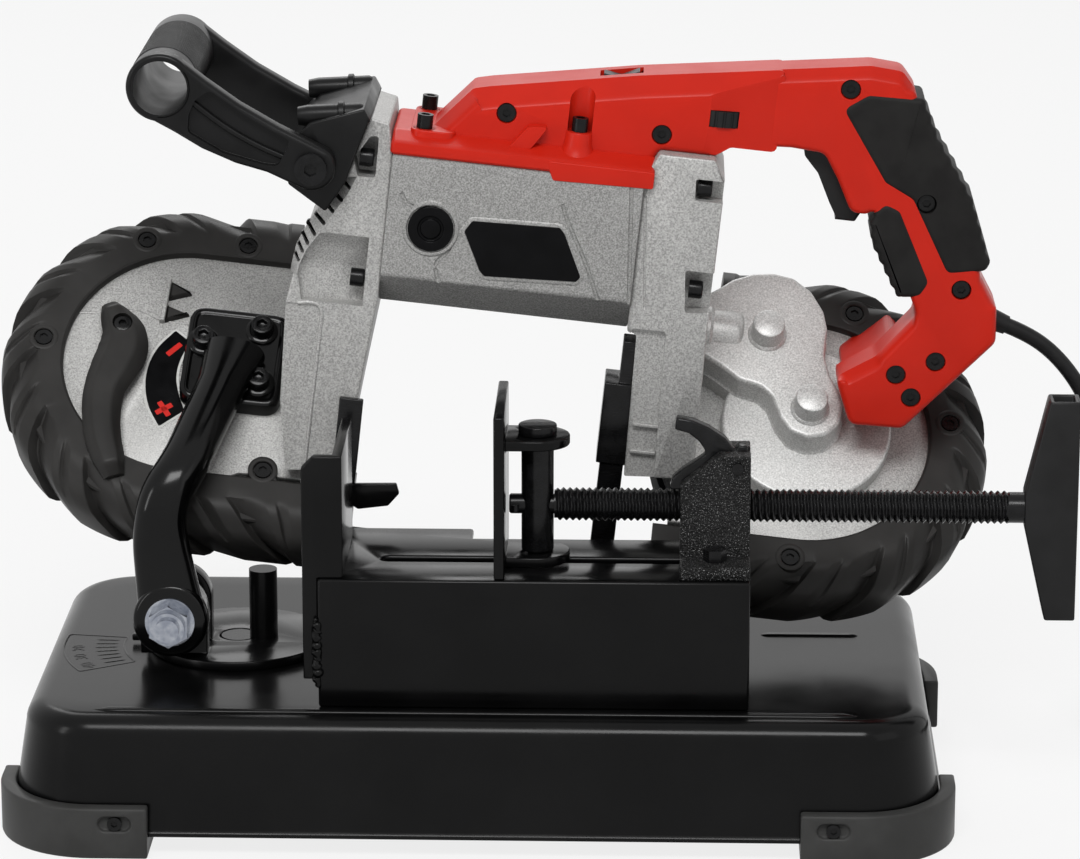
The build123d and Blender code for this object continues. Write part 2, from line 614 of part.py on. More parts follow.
def lead_screw():
    """Threaded rod, with the thread as a row of vee grooves, a plain tip and a plain handle end."""
    start = SLEEVE_X + SLEEVE_RADIUS + RUN_GAP
    stop = WING_X0
    plain = 8.0
    count = int((stop - start - 2 * plain) / THREAD_PITCH)
    core = SCREW_RADIUS - THREAD_DEPTH
    tip = screw_tip_end()
    profile = [(tip, 0), (tip, SCREW_TIP_RADIUS), (start, SCREW_TIP_RADIUS), (start, core)]
    for turn in range(count):
        x = start + plain / 2 + turn * THREAD_PITCH
        profile += [(x, core), (x + THREAD_PITCH / 2, SCREW_RADIUS)]
    profile += [(start + plain / 2 + count * THREAD_PITCH, core), (stop, core), (stop, 0)]
    section = Plane((0, VISE_Y, SCREW_Z), x_dir=(1, 0, 0), z_dir=(0, -1, 0)) * outline(profile)
    body = revolve(section, axis=Axis((0, VISE_Y, SCREW_Z), (1, 0, 0)))
    return body - bar((cotter_x(), VISE_Y - THROUGH / 2, SCREW_Z), (0, 1, 0), COTTER_RADIUS, THROUGH)


def cotter_x():
    """Place of the cotter pin along the screw's tip."""
    return screw_tip_end() + 3.0


def cotter_pin():
    """Split pin through the screw's tip."""
    x, front = cotter_x(), VISE_Y - SCREW_TIP_RADIUS
    body = bar((x, front - 2.0, SCREW_Z), (0, 1, 0), COTTER_RADIUS, 2 * SCREW_TIP_RADIUS + 10.0)
    return body + bar((x, front - 3.0, SCREW_Z - 1.5), (0, 0, 1), 2.0, 3.0)


def wing_handle():
    """Folded sheet handle on the end of the lead screw, open at both ends."""
    half = WING_LENGTH / 2
    x0, x1 = WING_X0, WING_X0 + WING_MIDDLE
    end_x = x1 - WING_END
    low, high = SCREW_Z - WING_HUB, SCREW_Z + WING_HUB
    shape = [(x0, low), (end_x, SCREW_Z - half), (x1, SCREW_Z - half), (x1, SCREW_Z + half),
             (end_x, SCREW_Z + half), (x0, high)]
    y0, y1 = VISE_Y - WING_THICKNESS / 2, VISE_Y + WING_THICKNESS / 2
    body = prism_y(outline(shape), y0, y1)
    left, bend, right = x0 + WING_SHEET, end_x + WING_SHEET, x1 - WING_SHEET
    beyond = half + 1
    inner = [(left, low), (bend, SCREW_Z - beyond), (right, SCREW_Z - beyond), (right, SCREW_Z + beyond),
             (bend, SCREW_Z + beyond), (left, high)]
    body -= prism_y(outline(inner), y0 + WING_SHEET, y1 - WING_SHEET)
    return body - bar((x1 - WING_SHEET - 1, VISE_Y, SCREW_Z), (1, 0, 0), 4.0, 10)


# Saw head castings

def casting_side(foot_z):
    """Y-Z outline of the frame castings, cut off behind along the wheel plane."""
    shift = AXLE_Y - AXLE_Z - PLATE_BACK / TILT_COS
    shoulder_u = GUARD_OUTER + 2.0
    shoulder = wheel_point(0, shoulder_u, PLATE_BACK)
    back = MOTOR_Y + MOTOR_HALF_DEPTH
    return outline([(FRAME_FRONT_Y, foot_z), (foot_z + shift, foot_z), (shoulder.Y, shoulder.Z),
                    (back, shoulder.Z + 34), (back, FRAME_TOP_Z), (FRAME_FRONT_Y, FRAME_TOP_Z)])


def plate_outline(side):
    """Flat of a wheel plate, round at its outer end and square towards the middle of the saw."""
    reach = FRAME_OFFSET + 16.0
    height = GUARD_OPENING + 4.0
    return Circle(GUARD_OPENING + 5) + Pos(side * reach / 2, 4) * Rectangle(reach, 2 * height - 8)


def frame_edge():
    """Slanted left edge of the upright block, from its waist up to its top."""
    x, top = FRAME_X0, FRAME_TOP_Z
    return [(x, top - 100), (x + 5, top - 70), (x + 24, top - 35), (x + 33, top - 2)]


def front_frame():
    """Left casting: idler plate and the upright block with its louvres."""
    top, foot = FRAME_TOP_Z, FRAME_FOOT_Z
    block = outline(frame_edge() + [
        (FRAME_X1 - 3, top - 4), (FRAME_X1, top - 20), (FRAME_X1, top - 94), (FRAME_X1 - 5, foot + 41),
        (FRAME_X1 - 8, foot + 3), (FRAME_X0 + 8, foot), (FRAME_X0 + 2, foot + 36)])
    side = prism_x(casting_side(foot), FRAME_X0 - 10, FRAME_X1 + 10)
    body = prism_y(block, FRAME_FRONT_Y, THROUGH) & side
    body += slab(plate_outline(1), IDLER_X, PLATE_BACK, PLATE_FRONT)
    body -= louvres()
    sill = top - 89
    window = outline([(FRAME_X0 + 5, sill), (FRAME_X0 + 31, sill), (FRAME_X0 + 31, sill + 17),
                      (FRAME_X0 + 16, sill + 28), (FRAME_X0 + 7, sill + 15)], 2.0)
    body -= prism_y(window, FRAME_FRONT_Y - 1, FRAME_FRONT_Y + 2.5)
    slot = CARRIAGE_NECK + CARRIAGE_TRAVEL + 2 * RUN_GAP
    guide = Pos(CARRIAGE_TRAVEL / 2, 0) * Rectangle(slot, CARRIAGE_NECK + 2 * RUN_GAP)
    body -= slab(guide, IDLER_X, 0, PLATE_FRONT + 1)
    bearing = (FRAME_X1 - BEARING_DEPTH, MOTOR_Y, MOTOR_Z)
    body -= bar(bearing, (1, 0, 0), ARMATURE_SHAFT + SHAFT_FIT, THROUGH)
    pivot_x, pivot_u = LEVER_PIVOT
    return body - bar(wheel_point(IDLER_X + pivot_x, pivot_u, 0), NORMAL, SHAFT_RADIUS + SHAFT_FIT, THROUGH)


def louvres():
    """Row of cooling slots along the block's slanted edge."""
    slots = []
    for step in range(9):
        x = FRAME_X0 + 9.0 + 2.3 * step
        z = FRAME_TOP_Z - 66.0 + 3.6 * step
        slots.append(Pos(x, z) * Rot(0, 0, -15) * SlotOverall(13.0, 2.0))
    return prism_y(Sketch() + slots, FRAME_FRONT_Y - 1, FRAME_FRONT_Y + 4)


def motor_section():
    """Y-Z outline of the motor casting with its lower chamfers."""
    front, back = MOTOR_Y - MOTOR_HALF_DEPTH, MOTOR_Y + MOTOR_HALF_DEPTH
    low, high = MOTOR_Z - MOTOR_BOTTOM, MOTOR_Z + MOTOR_TOP
    return outline([(front, low + MOTOR_CHAMFER), (front + MOTOR_CHAMFER, low), (back - MOTOR_CHAMFER, low),
                    (back, low + MOTOR_CHAMFER), (back, high), (front, high)])


def motor_housing():
    """Motor casting, bored for the field, with styling grooves on its front."""
    body = prism_x(motor_section(), FRAME_X1, GEAR_X0)
    body -= bar((FRAME_X1 + 3, MOTOR_Y, MOTOR_Z), (1, 0, 0), MOTOR_BORE, GEAR_X0 - FRAME_X1 - 6)
    body -= bar((FRAME_X1 - 1, MOTOR_Y, MOTOR_Z), (1, 0, 0), ARMATURE_SHAFT + 2, GEAR_X0 - FRAME_X1 + 2)
    front = MOTOR_Y - MOTOR_HALF_DEPTH
    for points in motor_grooves():
        body -= prism_y(outline(points), front - 1, front + 1.2)
    body -= bar((brush_x(), front - 1, MOTOR_Z), (0, 1, 0), BRUSH_RADIUS, THROUGH)
    return body - prism_y(badge_outline(), front - 1, front + 1.0)


def brush_x():
    """Place of the brushes along the motor."""
    return FRAME_X1 + 22.7


def motor_grooves():
    """Thin styling grooves on the front of the motor casting."""
    x0, x1 = FRAME_X1, GEAR_X0
    z = MOTOR_Z
    return [[(x0 + 4, z + 24), (x0 + 62, z + 21), (x0 + 62, z + 20), (x0 + 4, z + 23)],
            [(x0 + 92, z + 17), (x1 - 3, z + 17), (x1 - 3, z + 16), (x0 + 92, z + 16)],
            [(x0 + 100, z + 12), (x0 + 110, z - 4), (x0 + 111, z - 4), (x0 + 101, z + 12)],
            [(x0 + 110, z - 4), (x0 + 98, z - 20), (x0 + 99, z - 20), (x0 + 111, z - 4)]]


def badge_outline():
    """Hexagonal bare nameplate."""
    x, z = FRAME_X1 + 67.0, MOTOR_Z - 6.0
    return outline([(x - 27, z - 1), (x - 18, z + 14.5), (x + 19, z + 15.5), (x + 26, z + 4),
                    (x + 18, z - 13.5), (x - 17, z - 14.5)], 1.5)


def name_badges():
    """Bare nameplate and the arc-shaped tension label."""
    front = MOTOR_Y - MOTOR_HALF_DEPTH
    plate = prism_y(badge_outline(), front - 0.6, front + 1.0)
    arc = ring(36.0, 14.0) & outline([(0, 0), polar(80, 126), polar(80, 180), polar(80, 232)])
    arc = (Pos(14, -12) * arc) & (Pos(-52, 0) * Rectangle(100, 200))
    return Compound([plate, slab(arc, IDLER_X, PLATE_FRONT, PLATE_FRONT + 0.5)])


def gear_axes():
    """Y-Z places of the motor, transfer and layshaft axes, with the module of the spur train."""
    lay = wheel_point(0, INTER_DU, LAY_W)
    span = math.hypot(lay.Y - MOTOR_Y, lay.Z - MOTOR_Z)
    module = span / ((MOTOR_TEETH + LAY_TEETH) / 2 + TRANSFER_TEETH)
    share = module * (MOTOR_TEETH + TRANSFER_TEETH) / 2 / span
    transfer = (MOTOR_Y + (lay.Y - MOTOR_Y) * share, MOTOR_Z + (lay.Z - MOTOR_Z) * share)
    return (MOTOR_Y, MOTOR_Z), transfer, (lay.Y, lay.Z), module


def gear_plane_x():
    """Left face of the spur train."""
    return LEG_X0 + 10.0


def gear_block():
    """Outer form of the gear block and its leg."""
    low, foot, top = MOTOR_Z - MOTOR_BOTTOM, GEAR_FOOT_Z, GEAR_TOP_Z
    block = outline([(GEAR_X0, low + 1), (LEG_X0 - 2, low - 1), (LEG_X0, foot), (GEAR_X1 + 2, foot + 3),
                     (GEAR_X1, low + 5), (GEAR_X1, top - 12), (GEAR_X1 - 6, top), (GEAR_X0 + 6, top),
                     (GEAR_X0, top - 12)])
    side = prism_x(casting_side(foot), GEAR_X0 - 10, GEAR_X1 + 10)
    return prism_y(block, FRAME_FRONT_Y, THROUGH) & side


def gear_housing():
    """Right casting: drive plate, gear block and its leg, hollowed for the spur train."""
    body = gear_block()
    body += slab(plate_outline(-1), DRIVE_X, PLATE_BACK, PLATE_FRONT)
    motor, transfer, lay, module = gear_axes()
    x0 = gear_plane_x()
    for (y, z), teeth in ((motor, MOTOR_TEETH), (transfer, TRANSFER_TEETH), (lay, LAY_TEETH)):
        body -= bar((x0 - 2, y, z), (1, 0, 0), module * teeth / 2 + 2.5, SPUR_WIDTH + 4)
        body -= bar((GEAR_X0 - 1, y, z), (1, 0, 0), ARMATURE_SHAFT + SHAFT_FIT, GEAR_WIDTH + 12)
    body -= bar(wheel_point(INTER_X, INTER_DU, 0), NORMAL, SHAFT_RADIUS + SHAFT_FIT, PLATE_FRONT + 2)
    body -= slab(Pos(0, INTER_DU) * Circle(LOBE_RADIUS), INTER_X, PLATE_FRONT, LOBE_TOP + 30)
    body -= bar(wheel_point(DRIVE_X, 0, 0), NORMAL, AXLE_RADIUS + SHAFT_FIT, PLATE_FRONT + 2)
    return body


def gear_cover():
    """Gear-case cover with two lobes, two bearing bosses and the layshaft neck."""
    lobes = Circle(SMALL_LOBE_RADIUS) + Pos(INTER_DX, INTER_DU) * Circle(LOBE_RADIUS)
    length = math.hypot(INTER_DX, INTER_DU)
    angle = math.degrees(math.atan2(INTER_DU, INTER_DX))
    bridge = Rot(0, 0, angle) * Pos(length / 2, 0) * Rectangle(length, 1.5 * SMALL_LOBE_RADIUS)
    case_top = BIG_W1 + 0.8 + CASE_WALL
    body = slab(Circle(BIG_CASE_RADIUS + CASE_WALL), DRIVE_X, PLATE_FRONT, case_top)
    body += slab(lobes + bridge, DRIVE_X, PLATE_FRONT, LOBE_TOP)
    body += slab(Circle(BOSS_RADIUS), DRIVE_X, LOBE_TOP, LOBE_TOP + BOSS_HEIGHT)
    body += slab(Pos(INTER_DX, INTER_DU) * Circle(BOSS_RADIUS), DRIVE_X, LOBE_TOP, LOBE_TOP + BOSS_HEIGHT)
    neck, neck_end = GEAR_X1 + 2.5, INTER_X - BOSS_RADIUS - 2.0
    body += bar(wheel_point(neck, INTER_DU, LAY_W), (1, 0, 0), NECK_RADIUS, neck_end - neck)
    body -= slab(Circle(BIG_CASE_RADIUS), DRIVE_X, 0, BIG_W1 + 0.8)
    body -= slab(Pos(INTER_DX, INTER_DU) * Circle(CROWN_RADIUS + 4.5), DRIVE_X, 0, LOBE_TOP - 3.0)
    hole, bore = SHAFT_RADIUS + SHAFT_FIT, LOBE_TOP + BOSS_HEIGHT - 2
    body -= bar(wheel_point(GEAR_X1, INTER_DU, LAY_W), (1, 0, 0), hole, INTER_X - GEAR_X1 - 10)
    body -= bar(wheel_point(DRIVE_X, 0, 0), NORMAL, AXLE_RADIUS - 2 + SHAFT_FIT, bore)
    return body - bar(wheel_point(INTER_X, INTER_DU, 0), NORMAL, hole, bore)


# Gear train

def gear_face(teeth, module, phase):
    """Spur gear outline with slim teeth, one of them at the phase angle."""
    tip = module * teeth / 2 + 0.6 * module
    root = module * teeth / 2 - 0.85 * module
    pitch = 360 / teeth
    points = []
    for tooth in range(teeth):
        middle = phase + tooth * pitch
        points += [polar(root, middle - 0.24 * pitch), polar(tip, middle - 0.11 * pitch),
                   polar(tip, middle + 0.11 * pitch), polar(root, middle + 0.24 * pitch)]
    return outline(points)


def spur(axis, x, teeth, module, phase):
    """Spur gear on a shaft along X."""
    plane = Plane((x, axis[0], axis[1]), x_dir=(0, 1, 0), z_dir=(1, 0, 0))
    return extrude(plane * gear_face(teeth, module, phase), amount=SPUR_WIDTH)


def spur_bearing(start, stop):
    """Direction from one spur axis to the next, as an angle in the Y-Z plane."""
    return math.degrees(math.atan2(stop[1] - start[1], stop[0] - start[0]))


def armature():
    """Motor shaft with commutator, core, fan and pinion."""
    motor, transfer, _, module = gear_axes()
    y, z = motor
    start = FRAME_X1 - 14.0
    body = bar((start, y, z), (1, 0, 0), ARMATURE_SHAFT, gear_plane_x() + SPUR_WIDTH + 8 - start)
    commutator = (brush_x() - COMMUTATOR_LENGTH / 2, y, z)
    body += bar(commutator, (1, 0, 0), COMMUTATOR_RADIUS, COMMUTATOR_LENGTH)
    body += bar((field_x(), y, z), (1, 0, 0), MOTOR_BORE - FIELD_WALL - AIR_GAP, FIELD_LENGTH)
    body += bar((GEAR_X0 - 12 - FAN_LENGTH, y, z), (1, 0, 0), MOTOR_BORE - 2.0, FAN_LENGTH)
    return body + spur(motor, gear_plane_x(), MOTOR_TEETH, module, spur_bearing(motor, transfer))


def field_x():
    """Left end of the motor field."""
    return brush_x() + 18.0


def motor_field():
    """Laminated field fixed in the motor casting."""
    plane = Plane((field_x(), MOTOR_Y, MOTOR_Z), z_dir=(1, 0, 0))
    return extrude(plane * ring(MOTOR_BORE, MOTOR_BORE - FIELD_WALL), amount=FIELD_LENGTH)


def transfer_gear():
    """Idle gear between the motor pinion and the layshaft, on its own stub shaft."""
    motor, transfer, _, module = gear_axes()
    phase = spur_bearing(transfer, motor) + 180 / TRANSFER_TEETH
    body = spur(transfer, gear_plane_x(), TRANSFER_TEETH, module, phase)
    return body + bar((LEG_X0 + 1, *transfer), (1, 0, 0), ARMATURE_SHAFT, GEAR_X1 - LEG_X0 - 4)


def layshaft():
    """Shaft that carries the large spur gear and the pinion of the crown gear."""
    motor, transfer, lay, module = gear_axes()
    turn = spur_bearing(transfer, lay) - spur_bearing(transfer, motor) - 180 / TRANSFER_TEETH
    phase = spur_bearing(lay, transfer) + (180 + turn * TRANSFER_TEETH) / LAY_TEETH
    body = spur(lay, gear_plane_x(), LAY_TEETH, module, phase)
    stop = INTER_X - CROWN_RADIUS + 3.0
    body += bar((LEG_X0 + 1, lay[0], lay[1]), (1, 0, 0), ARMATURE_SHAFT, stop - LEG_X0 - 1)
    plane = Plane((stop - 5.0, lay[0], lay[1]), x_dir=NORMAL, z_dir=(1, 0, 0))
    return body + extrude(plane * gear_face(CROWN_PINION_TEETH, CROWN_MODULE, 180), amount=5.0)


def intermediate_gear():
    """Crown gear and pinion on the shaft between the layshaft and the drive wheel."""
    length = LOBE_TOP + BOSS_HEIGHT - 3 - PLATE_BACK
    body = bar(wheel_point(INTER_X, INTER_DU, PLATE_BACK), NORMAL, SHAFT_RADIUS, length)
    bearing = math.degrees(math.atan2(-INTER_DU, -INTER_DX))
    body += slab(gear_face(BIG_PINION_TEETH, BIG_MODULE, bearing), INTER_X, BIG_W0, BIG_W1, INTER_DU)
    body += slab(Circle(CROWN_RADIUS + 3), INTER_X, CROWN_W0 - 0.8, CROWN_W1, INTER_DU)
    pitch = 360 / CROWN_TEETH
    teeth = Sketch()
    for tooth in range(CROWN_TEETH):
        teeth += Rot(0, 0, 180 + (tooth + 0.5) * pitch) * Pos(CROWN_RADIUS, 0) * Rectangle(5.0, 1.05)
    return body + slab(teeth, INTER_X, CROWN_W1 - 0.2, CROWN_W1 + CROWN_TOOTH, INTER_DU)


# Wheels, blade and tension

def wheel(x):
    """Spoked-web wheel rim with its hub, without a tyre."""
    rim = WHEEL_RADIUS - TYRE_THICKNESS
    half = WHEEL_WIDTH / 2
    body = slab(ring(rim, rim - WHEEL_RIM), x, -half, half)
    body += slab(Circle(rim - WHEEL_RIM / 2), x, -WHEEL_WEB / 2, WHEEL_WEB / 2)
    body += slab(Circle(AXLE_RADIUS + WHEEL_HUB), x, -half, half)
    holes = Sketch() + [Rot(0, 0, 60 * step) * Pos(rim * 0.58, 0) * Circle(WEB_HOLE) for step in range(6)]
    return body - slab(holes, x, -half, half)


def tyre(x):
    """Rubber tyre on a wheel's rim."""
    return slab(ring(WHEEL_RADIUS, WHEEL_RADIUS - TYRE_THICKNESS), x, -WHEEL_WIDTH / 2, WHEEL_WIDTH / 2)


def drive_wheel():
    """Driven wheel with its shaft and large gear."""
    body = wheel(DRIVE_X)
    body += bar(wheel_point(DRIVE_X, 0, -WHEEL_WIDTH / 2), NORMAL, AXLE_RADIUS, CROWN_W0 + WHEEL_WIDTH / 2)
    body += bar(wheel_point(DRIVE_X, 0, 0), NORMAL, AXLE_RADIUS - 2, LOBE_TOP + BOSS_HEIGHT - 3)
    bearing = math.degrees(math.atan2(INTER_DU, INTER_DX)) + 180 / BIG_TEETH
    return body + slab(gear_face(BIG_TEETH, BIG_MODULE, bearing), DRIVE_X, BIG_W0, BIG_W1)


def idler_wheel():
    """Idler wheel, bored for its axle."""
    hole = AXLE_RADIUS + SHAFT_FIT
    return wheel(IDLER_X) - bar(wheel_point(IDLER_X, 0, -THROUGH / 2), NORMAL, hole, THROUGH)


def idler_carriage():
    """Sliding block with the idler axle, its neck guided in the slot of the idler plate."""
    half = WHEEL_WIDTH / 2 + RUN_GAP
    body = slab(Rectangle(CARRIAGE_SIZE, CARRIAGE_SIZE), IDLER_X, half, PLATE_BACK - RUN_GAP)
    body += slab(Rectangle(CARRIAGE_NECK, CARRIAGE_NECK), IDLER_X, half, PLATE_FRONT - 0.5)
    body += bar(wheel_point(IDLER_X, 0, -half), NORMAL, AXLE_RADIUS, 2 * half + 1)
    return body + bar(wheel_point(IDLER_X, 0, -half - 3), NORMAL, AXLE_RADIUS + 4, 3.0)


def tension_lever():
    """Crescent lever that slackens the blade, on its pivot shaft."""
    pivot_x, pivot_u = LEVER_PIVOT
    w0 = GUARD_FRONT + 2 * RUN_GAP
    crescent = make_face(Sketch().edges() + [
        ThreePointArc((-47, 31), (-62, -20), (-30, -70)),
        ThreePointArc((-30, -70), (-24, -74), (-19, -68)),
        ThreePointArc((-19, -68), (-29, -28), (-22, 14)),
        ThreePointArc((-22, 14), (-31, 30), (-47, 31))])
    body = slab(crescent, IDLER_X, w0, w0 + LEVER_THICKNESS)
    shaft = wheel_point(IDLER_X + pivot_x, pivot_u, PLATE_BACK)
    body += bar(shaft, NORMAL, SHAFT_RADIUS, w0 - PLATE_BACK + 1)
    head = wheel_point(IDLER_X + pivot_x, pivot_u, w0 + LEVER_THICKNESS - 2)
    return body - bar(head, NORMAL, 5.0, 10) + (bar(head, NORMAL, 4.4, 1.5) - hex_bar(head, NORMAL, 4.0, 3))


def blade():
    """Closed blade band: flat round the wheels and upper run, twisted upright between the guides."""
    inner = BLADE_RADIUS - BLADE_THICKNESS / 2
    outer = BLADE_RADIUS + BLADE_THICKNESS / 2
    half = BLADE_WIDTH / 2
    upper = Pos(WHEEL_SPAN / 2, BLADE_RADIUS) * Rectangle(WHEEL_SPAN, BLADE_THICKNESS)
    band = slab(upper, IDLER_X, -half, half)
    for x, side in ((IDLER_X, 1), (DRIVE_X, -1)):
        bend = ring(outer, inner) & (Pos(-side * THROUGH / 2, 0) * Rectangle(THROUGH, THROUGH))
        flat = Pos(side * TWIST_START / 2, -BLADE_RADIUS) * Rectangle(TWIST_START, BLADE_THICKNESS)
        band += slab(bend, x, -half, half) + slab(flat, x, -half, half)
    x0, x1 = left_guide_x() - GUIDE_REACH, right_guide_x() + GUIDE_REACH
    thin = BLADE_THICKNESS / 2
    band += loft([band_section(IDLER_X + TWIST_START, WHEEL_TILT), band_section(x0, 0)], ruled=True)
    band += box(x0, x1, CUT_Y - thin, CUT_Y + thin, CUT_Z - half, CUT_Z + half)
    return band + loft([band_section(x1, 0), band_section(DRIVE_X - TWIST_START, WHEEL_TILT)], ruled=True)


def band_section(x, lean):
    """Cross-section of the blade's lower run, leaning by the given angle from upright."""
    plane = Plane((x, CUT_Y, CUT_Z), x_dir=(0, 1, 0), z_dir=(1, 0, 0))
    return (plane * Rot(0, 0, lean) * Rectangle(BLADE_THICKNESS, BLADE_WIDTH)).face()


def left_guide_x():
    """Middle of the left blade guide."""
    return FRAME_X1 - 8.0


def right_guide_x():
    """Middle of the right blade guide."""
    return LEG_X0 - 7.0


def guide_bar(x, top):
    """Guide bar slotted for the blade."""
    half = GUIDE_HALF
    body = box(x - half, x + half, CUT_Y - half, CUT_Y + half, CUT_Z - 2, top)
    slot = BLADE_THICKNESS / 2 + RUN_GAP
    slot_top = CUT_Z + BLADE_WIDTH / 2 + RUN_GAP
    return body - box(x - half - 1, x + half + 1, CUT_Y - slot, CUT_Y + slot, CUT_Z - 10, slot_top)


def blade_guides():
    """Left and right blade guides with the brackets that bolt to the castings."""
    x0, x1 = left_guide_x(), right_guide_x()
    foot, half = FRAME_FOOT_Z, GUIDE_HALF
    front = FRAME_FRONT_Y - GUIDE_PLATE
    left = guide_bar(x0, foot + 3) - front_casting_block()
    left += box(x0 - half, x0 + half, front, FRAME_FRONT_Y, foot - 6, foot + 42)
    left += box(x0 - half, x0 + half, front, CUT_Y, foot - 12, foot - 2)
    shoulder = GEAR_FOOT_Z + 48
    right = guide_bar(x1, shoulder)
    right += box(x1 - half - 2, LEG_X0 + 1, CUT_Y - 7, CUT_Y + 22, GEAR_FOOT_Z + 6, shoulder)
    right += box(x1 - 1, LEG_X0 + 1, CUT_Y - 5, CUT_Y + 12, shoulder, shoulder + 22)
    right -= gear_block()
    return Compound([left, right])


def front_casting_block():
    """Space that the left casting's foot takes up over the left guide."""
    return box(FRAME_X0, FRAME_X1 + 20, FRAME_FRONT_Y, 60, FRAME_FOOT_Z - 1, FRAME_FOOT_Z + 60)


def work_stop():
    """Stop bar in front of the left guide, against which the stock is held."""
    x = left_guide_x()
    z = CUT_Z + 28.0
    shape = outline([(x - 6, z - 6), (x + 6, z - 6), (x + 9, z - 7.5), (x + 24, z - 4), (x + 29, z + 3),
                     (x + 27, z + 8), (x - 6, z + 4)])
    front = FRAME_FRONT_Y - GUIDE_PLATE
    return prism_y(shape, front - STOP_PLATE, front)


# Guards

def guard_sketch(side, radius, top_leg, low_leg):
    """Round guard outline with two legs that run on towards the middle of the saw."""
    shape = Circle(radius) & (Pos(-side * radius / 2, 0) * Rectangle(radius, 2 * radius))
    shape += Pos(side * top_leg / 2, radius / 2) * Rectangle(top_leg, radius)
    return shape + Pos(side * low_leg / 2, -radius / 2) * Rectangle(low_leg, radius)


def wheel_guard(x, side):
    """Wheel guard: rim wall, front face ring and the chunky tread blocks round the rim."""
    top_leg = FRAME_OFFSET - 1.0
    low_leg = FRAME_OFFSET + 24.0
    beyond = 2 * GUARD_OUTER
    outer = guard_sketch(side, GUARD_OUTER, top_leg, low_leg)
    inner = guard_sketch(side, GUARD_INNER, top_leg + beyond, low_leg + beyond)
    opening = guard_sketch(side, GUARD_OPENING, top_leg + beyond, low_leg + beyond)
    body = slab(outer - inner, x, GUARD_BACK, GUARD_FRONT)
    body += slab(outer - opening, x, PLATE_FRONT, GUARD_FRONT)
    blocks = Sketch()
    step = 230.0 / TREAD_COUNT
    for block in range(TREAD_COUNT):
        start = 65.0 + step * block
        points = [polar(GUARD_OUTER - 2, start), polar(TREAD_RADIUS, start + 0.12 * step),
                  polar(TREAD_RADIUS, start + 0.62 * step), polar(GUARD_OUTER - 2, start + 0.8 * step)]
        blocks += outline([(side * px, pu) for px, pu in points])
    body += slab(blocks, x, GUARD_BACK + 2, GUARD_FRONT - 3)
    lobe = Pos(INTER_DX, INTER_DU) * Circle(LOBE_RADIUS + RUN_GAP)
    body -= slab(lobe, DRIVE_X, GUARD_BACK, GUARD_FRONT + 1)
    return body - guard_screw_holes(x, side)


def guard_screw_places(side):
    """Guard screw places in the wheel plane."""
    middle = (GUARD_OPENING + GUARD_INNER) / 2
    angles = (114, 73, 177, -52) if side > 0 else (10, -92, 74)
    return [polar(middle, angle) for angle in angles]


def guard_screw_holes(x, side):
    """Recesses for the guard screws."""
    shape = Sketch() + [Pos(*place) * Circle(5.0) for place in guard_screw_places(side)]
    return slab(shape, x, GUARD_FRONT - 2.0, GUARD_FRONT + 1)


def guard_screws():
    """Socket-head screws of both guards, sunk in their recesses."""
    screws = []
    for x, side in ((IDLER_X, 1), (DRIVE_X, -1)):
        for px, pu in guard_screw_places(side):
            seat = wheel_point(x + px, pu, GUARD_FRONT - 2.0)
            screws.append(bar(seat, NORMAL, 4.2, 1.8) - hex_bar(seat + NORMAL * 0.8, NORMAL, 4.0, 4))
    return Compound(screws)


def rear_channel():
    """Channel over the upper blade run, between the two guards."""
    x0 = FRAME_X0
    x1 = GEAR_X1
    body = slab(Pos((x1 - x0) / 2, GUARD_INNER + 2) * Rectangle(x1 - x0, 4), x0, GUARD_BACK, PLATE_BACK)
    front = Pos((GEAR_X0 - FRAME_X1) / 2, GUARD_INNER - 8) * Rectangle(GEAR_X0 - FRAME_X1, 24)
    return body + slab(front, FRAME_X1, PLATE_BACK, PLATE_BACK + 4)


# Swing arm

def arm_mount_places():
    """Socket screws of the arm's mounting plate, in the idler wheel plane."""
    return (36.0, 19.0), (7.0, 9.0), (38.0, -12.0)


def swing_arm():
    """Forged arm from the hinge eye up to the plate that is bolted on the idler plate."""
    eye = Circle(EYE_RADIUS) + outline([(-17, 0), (18, 4), (16, 50), (8, 74), (-14, 62), (-17, 40)], 3.0)
    body = prism_y(eye, EYE_FRONT_Y, EYE_FRONT_Y + EYE_THICKNESS)
    pad = Pos(24, 2) * rounded(50, 54, 8)
    pad_top = PLATE_FRONT + ARM_PAD
    body += slab(pad, IDLER_X, PLATE_FRONT, pad_top)
    high = wheel_point(IDLER_X + 24, 2, pad_top + 1)
    low = Vector(-2, EYE_FRONT_Y + EYE_THICKNESS / 2, 58)
    run = high - low
    plane = Plane(low, x_dir=(1, 0, 0.25), z_dir=run)
    body += extrude(plane * rounded(30, 17, 6), amount=run.length)
    behind = slab(Rectangle(400, 120), IDLER_X, PLATE_FRONT - 60, PLATE_FRONT)
    body -= behind & box(-THROUGH, THROUGH, EYE_FRONT_Y + EYE_THICKNESS + 10, THROUGH, 40, THROUGH)
    body -= bar((0, EYE_FRONT_Y - 1, 0), (0, 1, 0), PIVOT_BOLT_RADIUS + SHAFT_FIT, THROUGH)
    for x, u in arm_mount_places():
        body -= bar(wheel_point(IDLER_X + x, u, PLATE_FRONT), NORMAL, ARM_SCREW_RADIUS, KEY_ROOM)
        body -= bar(wheel_point(IDLER_X + x, u, pad_top), NORMAL, ARM_SCREW_HEAD, KEY_ROOM)
    return body


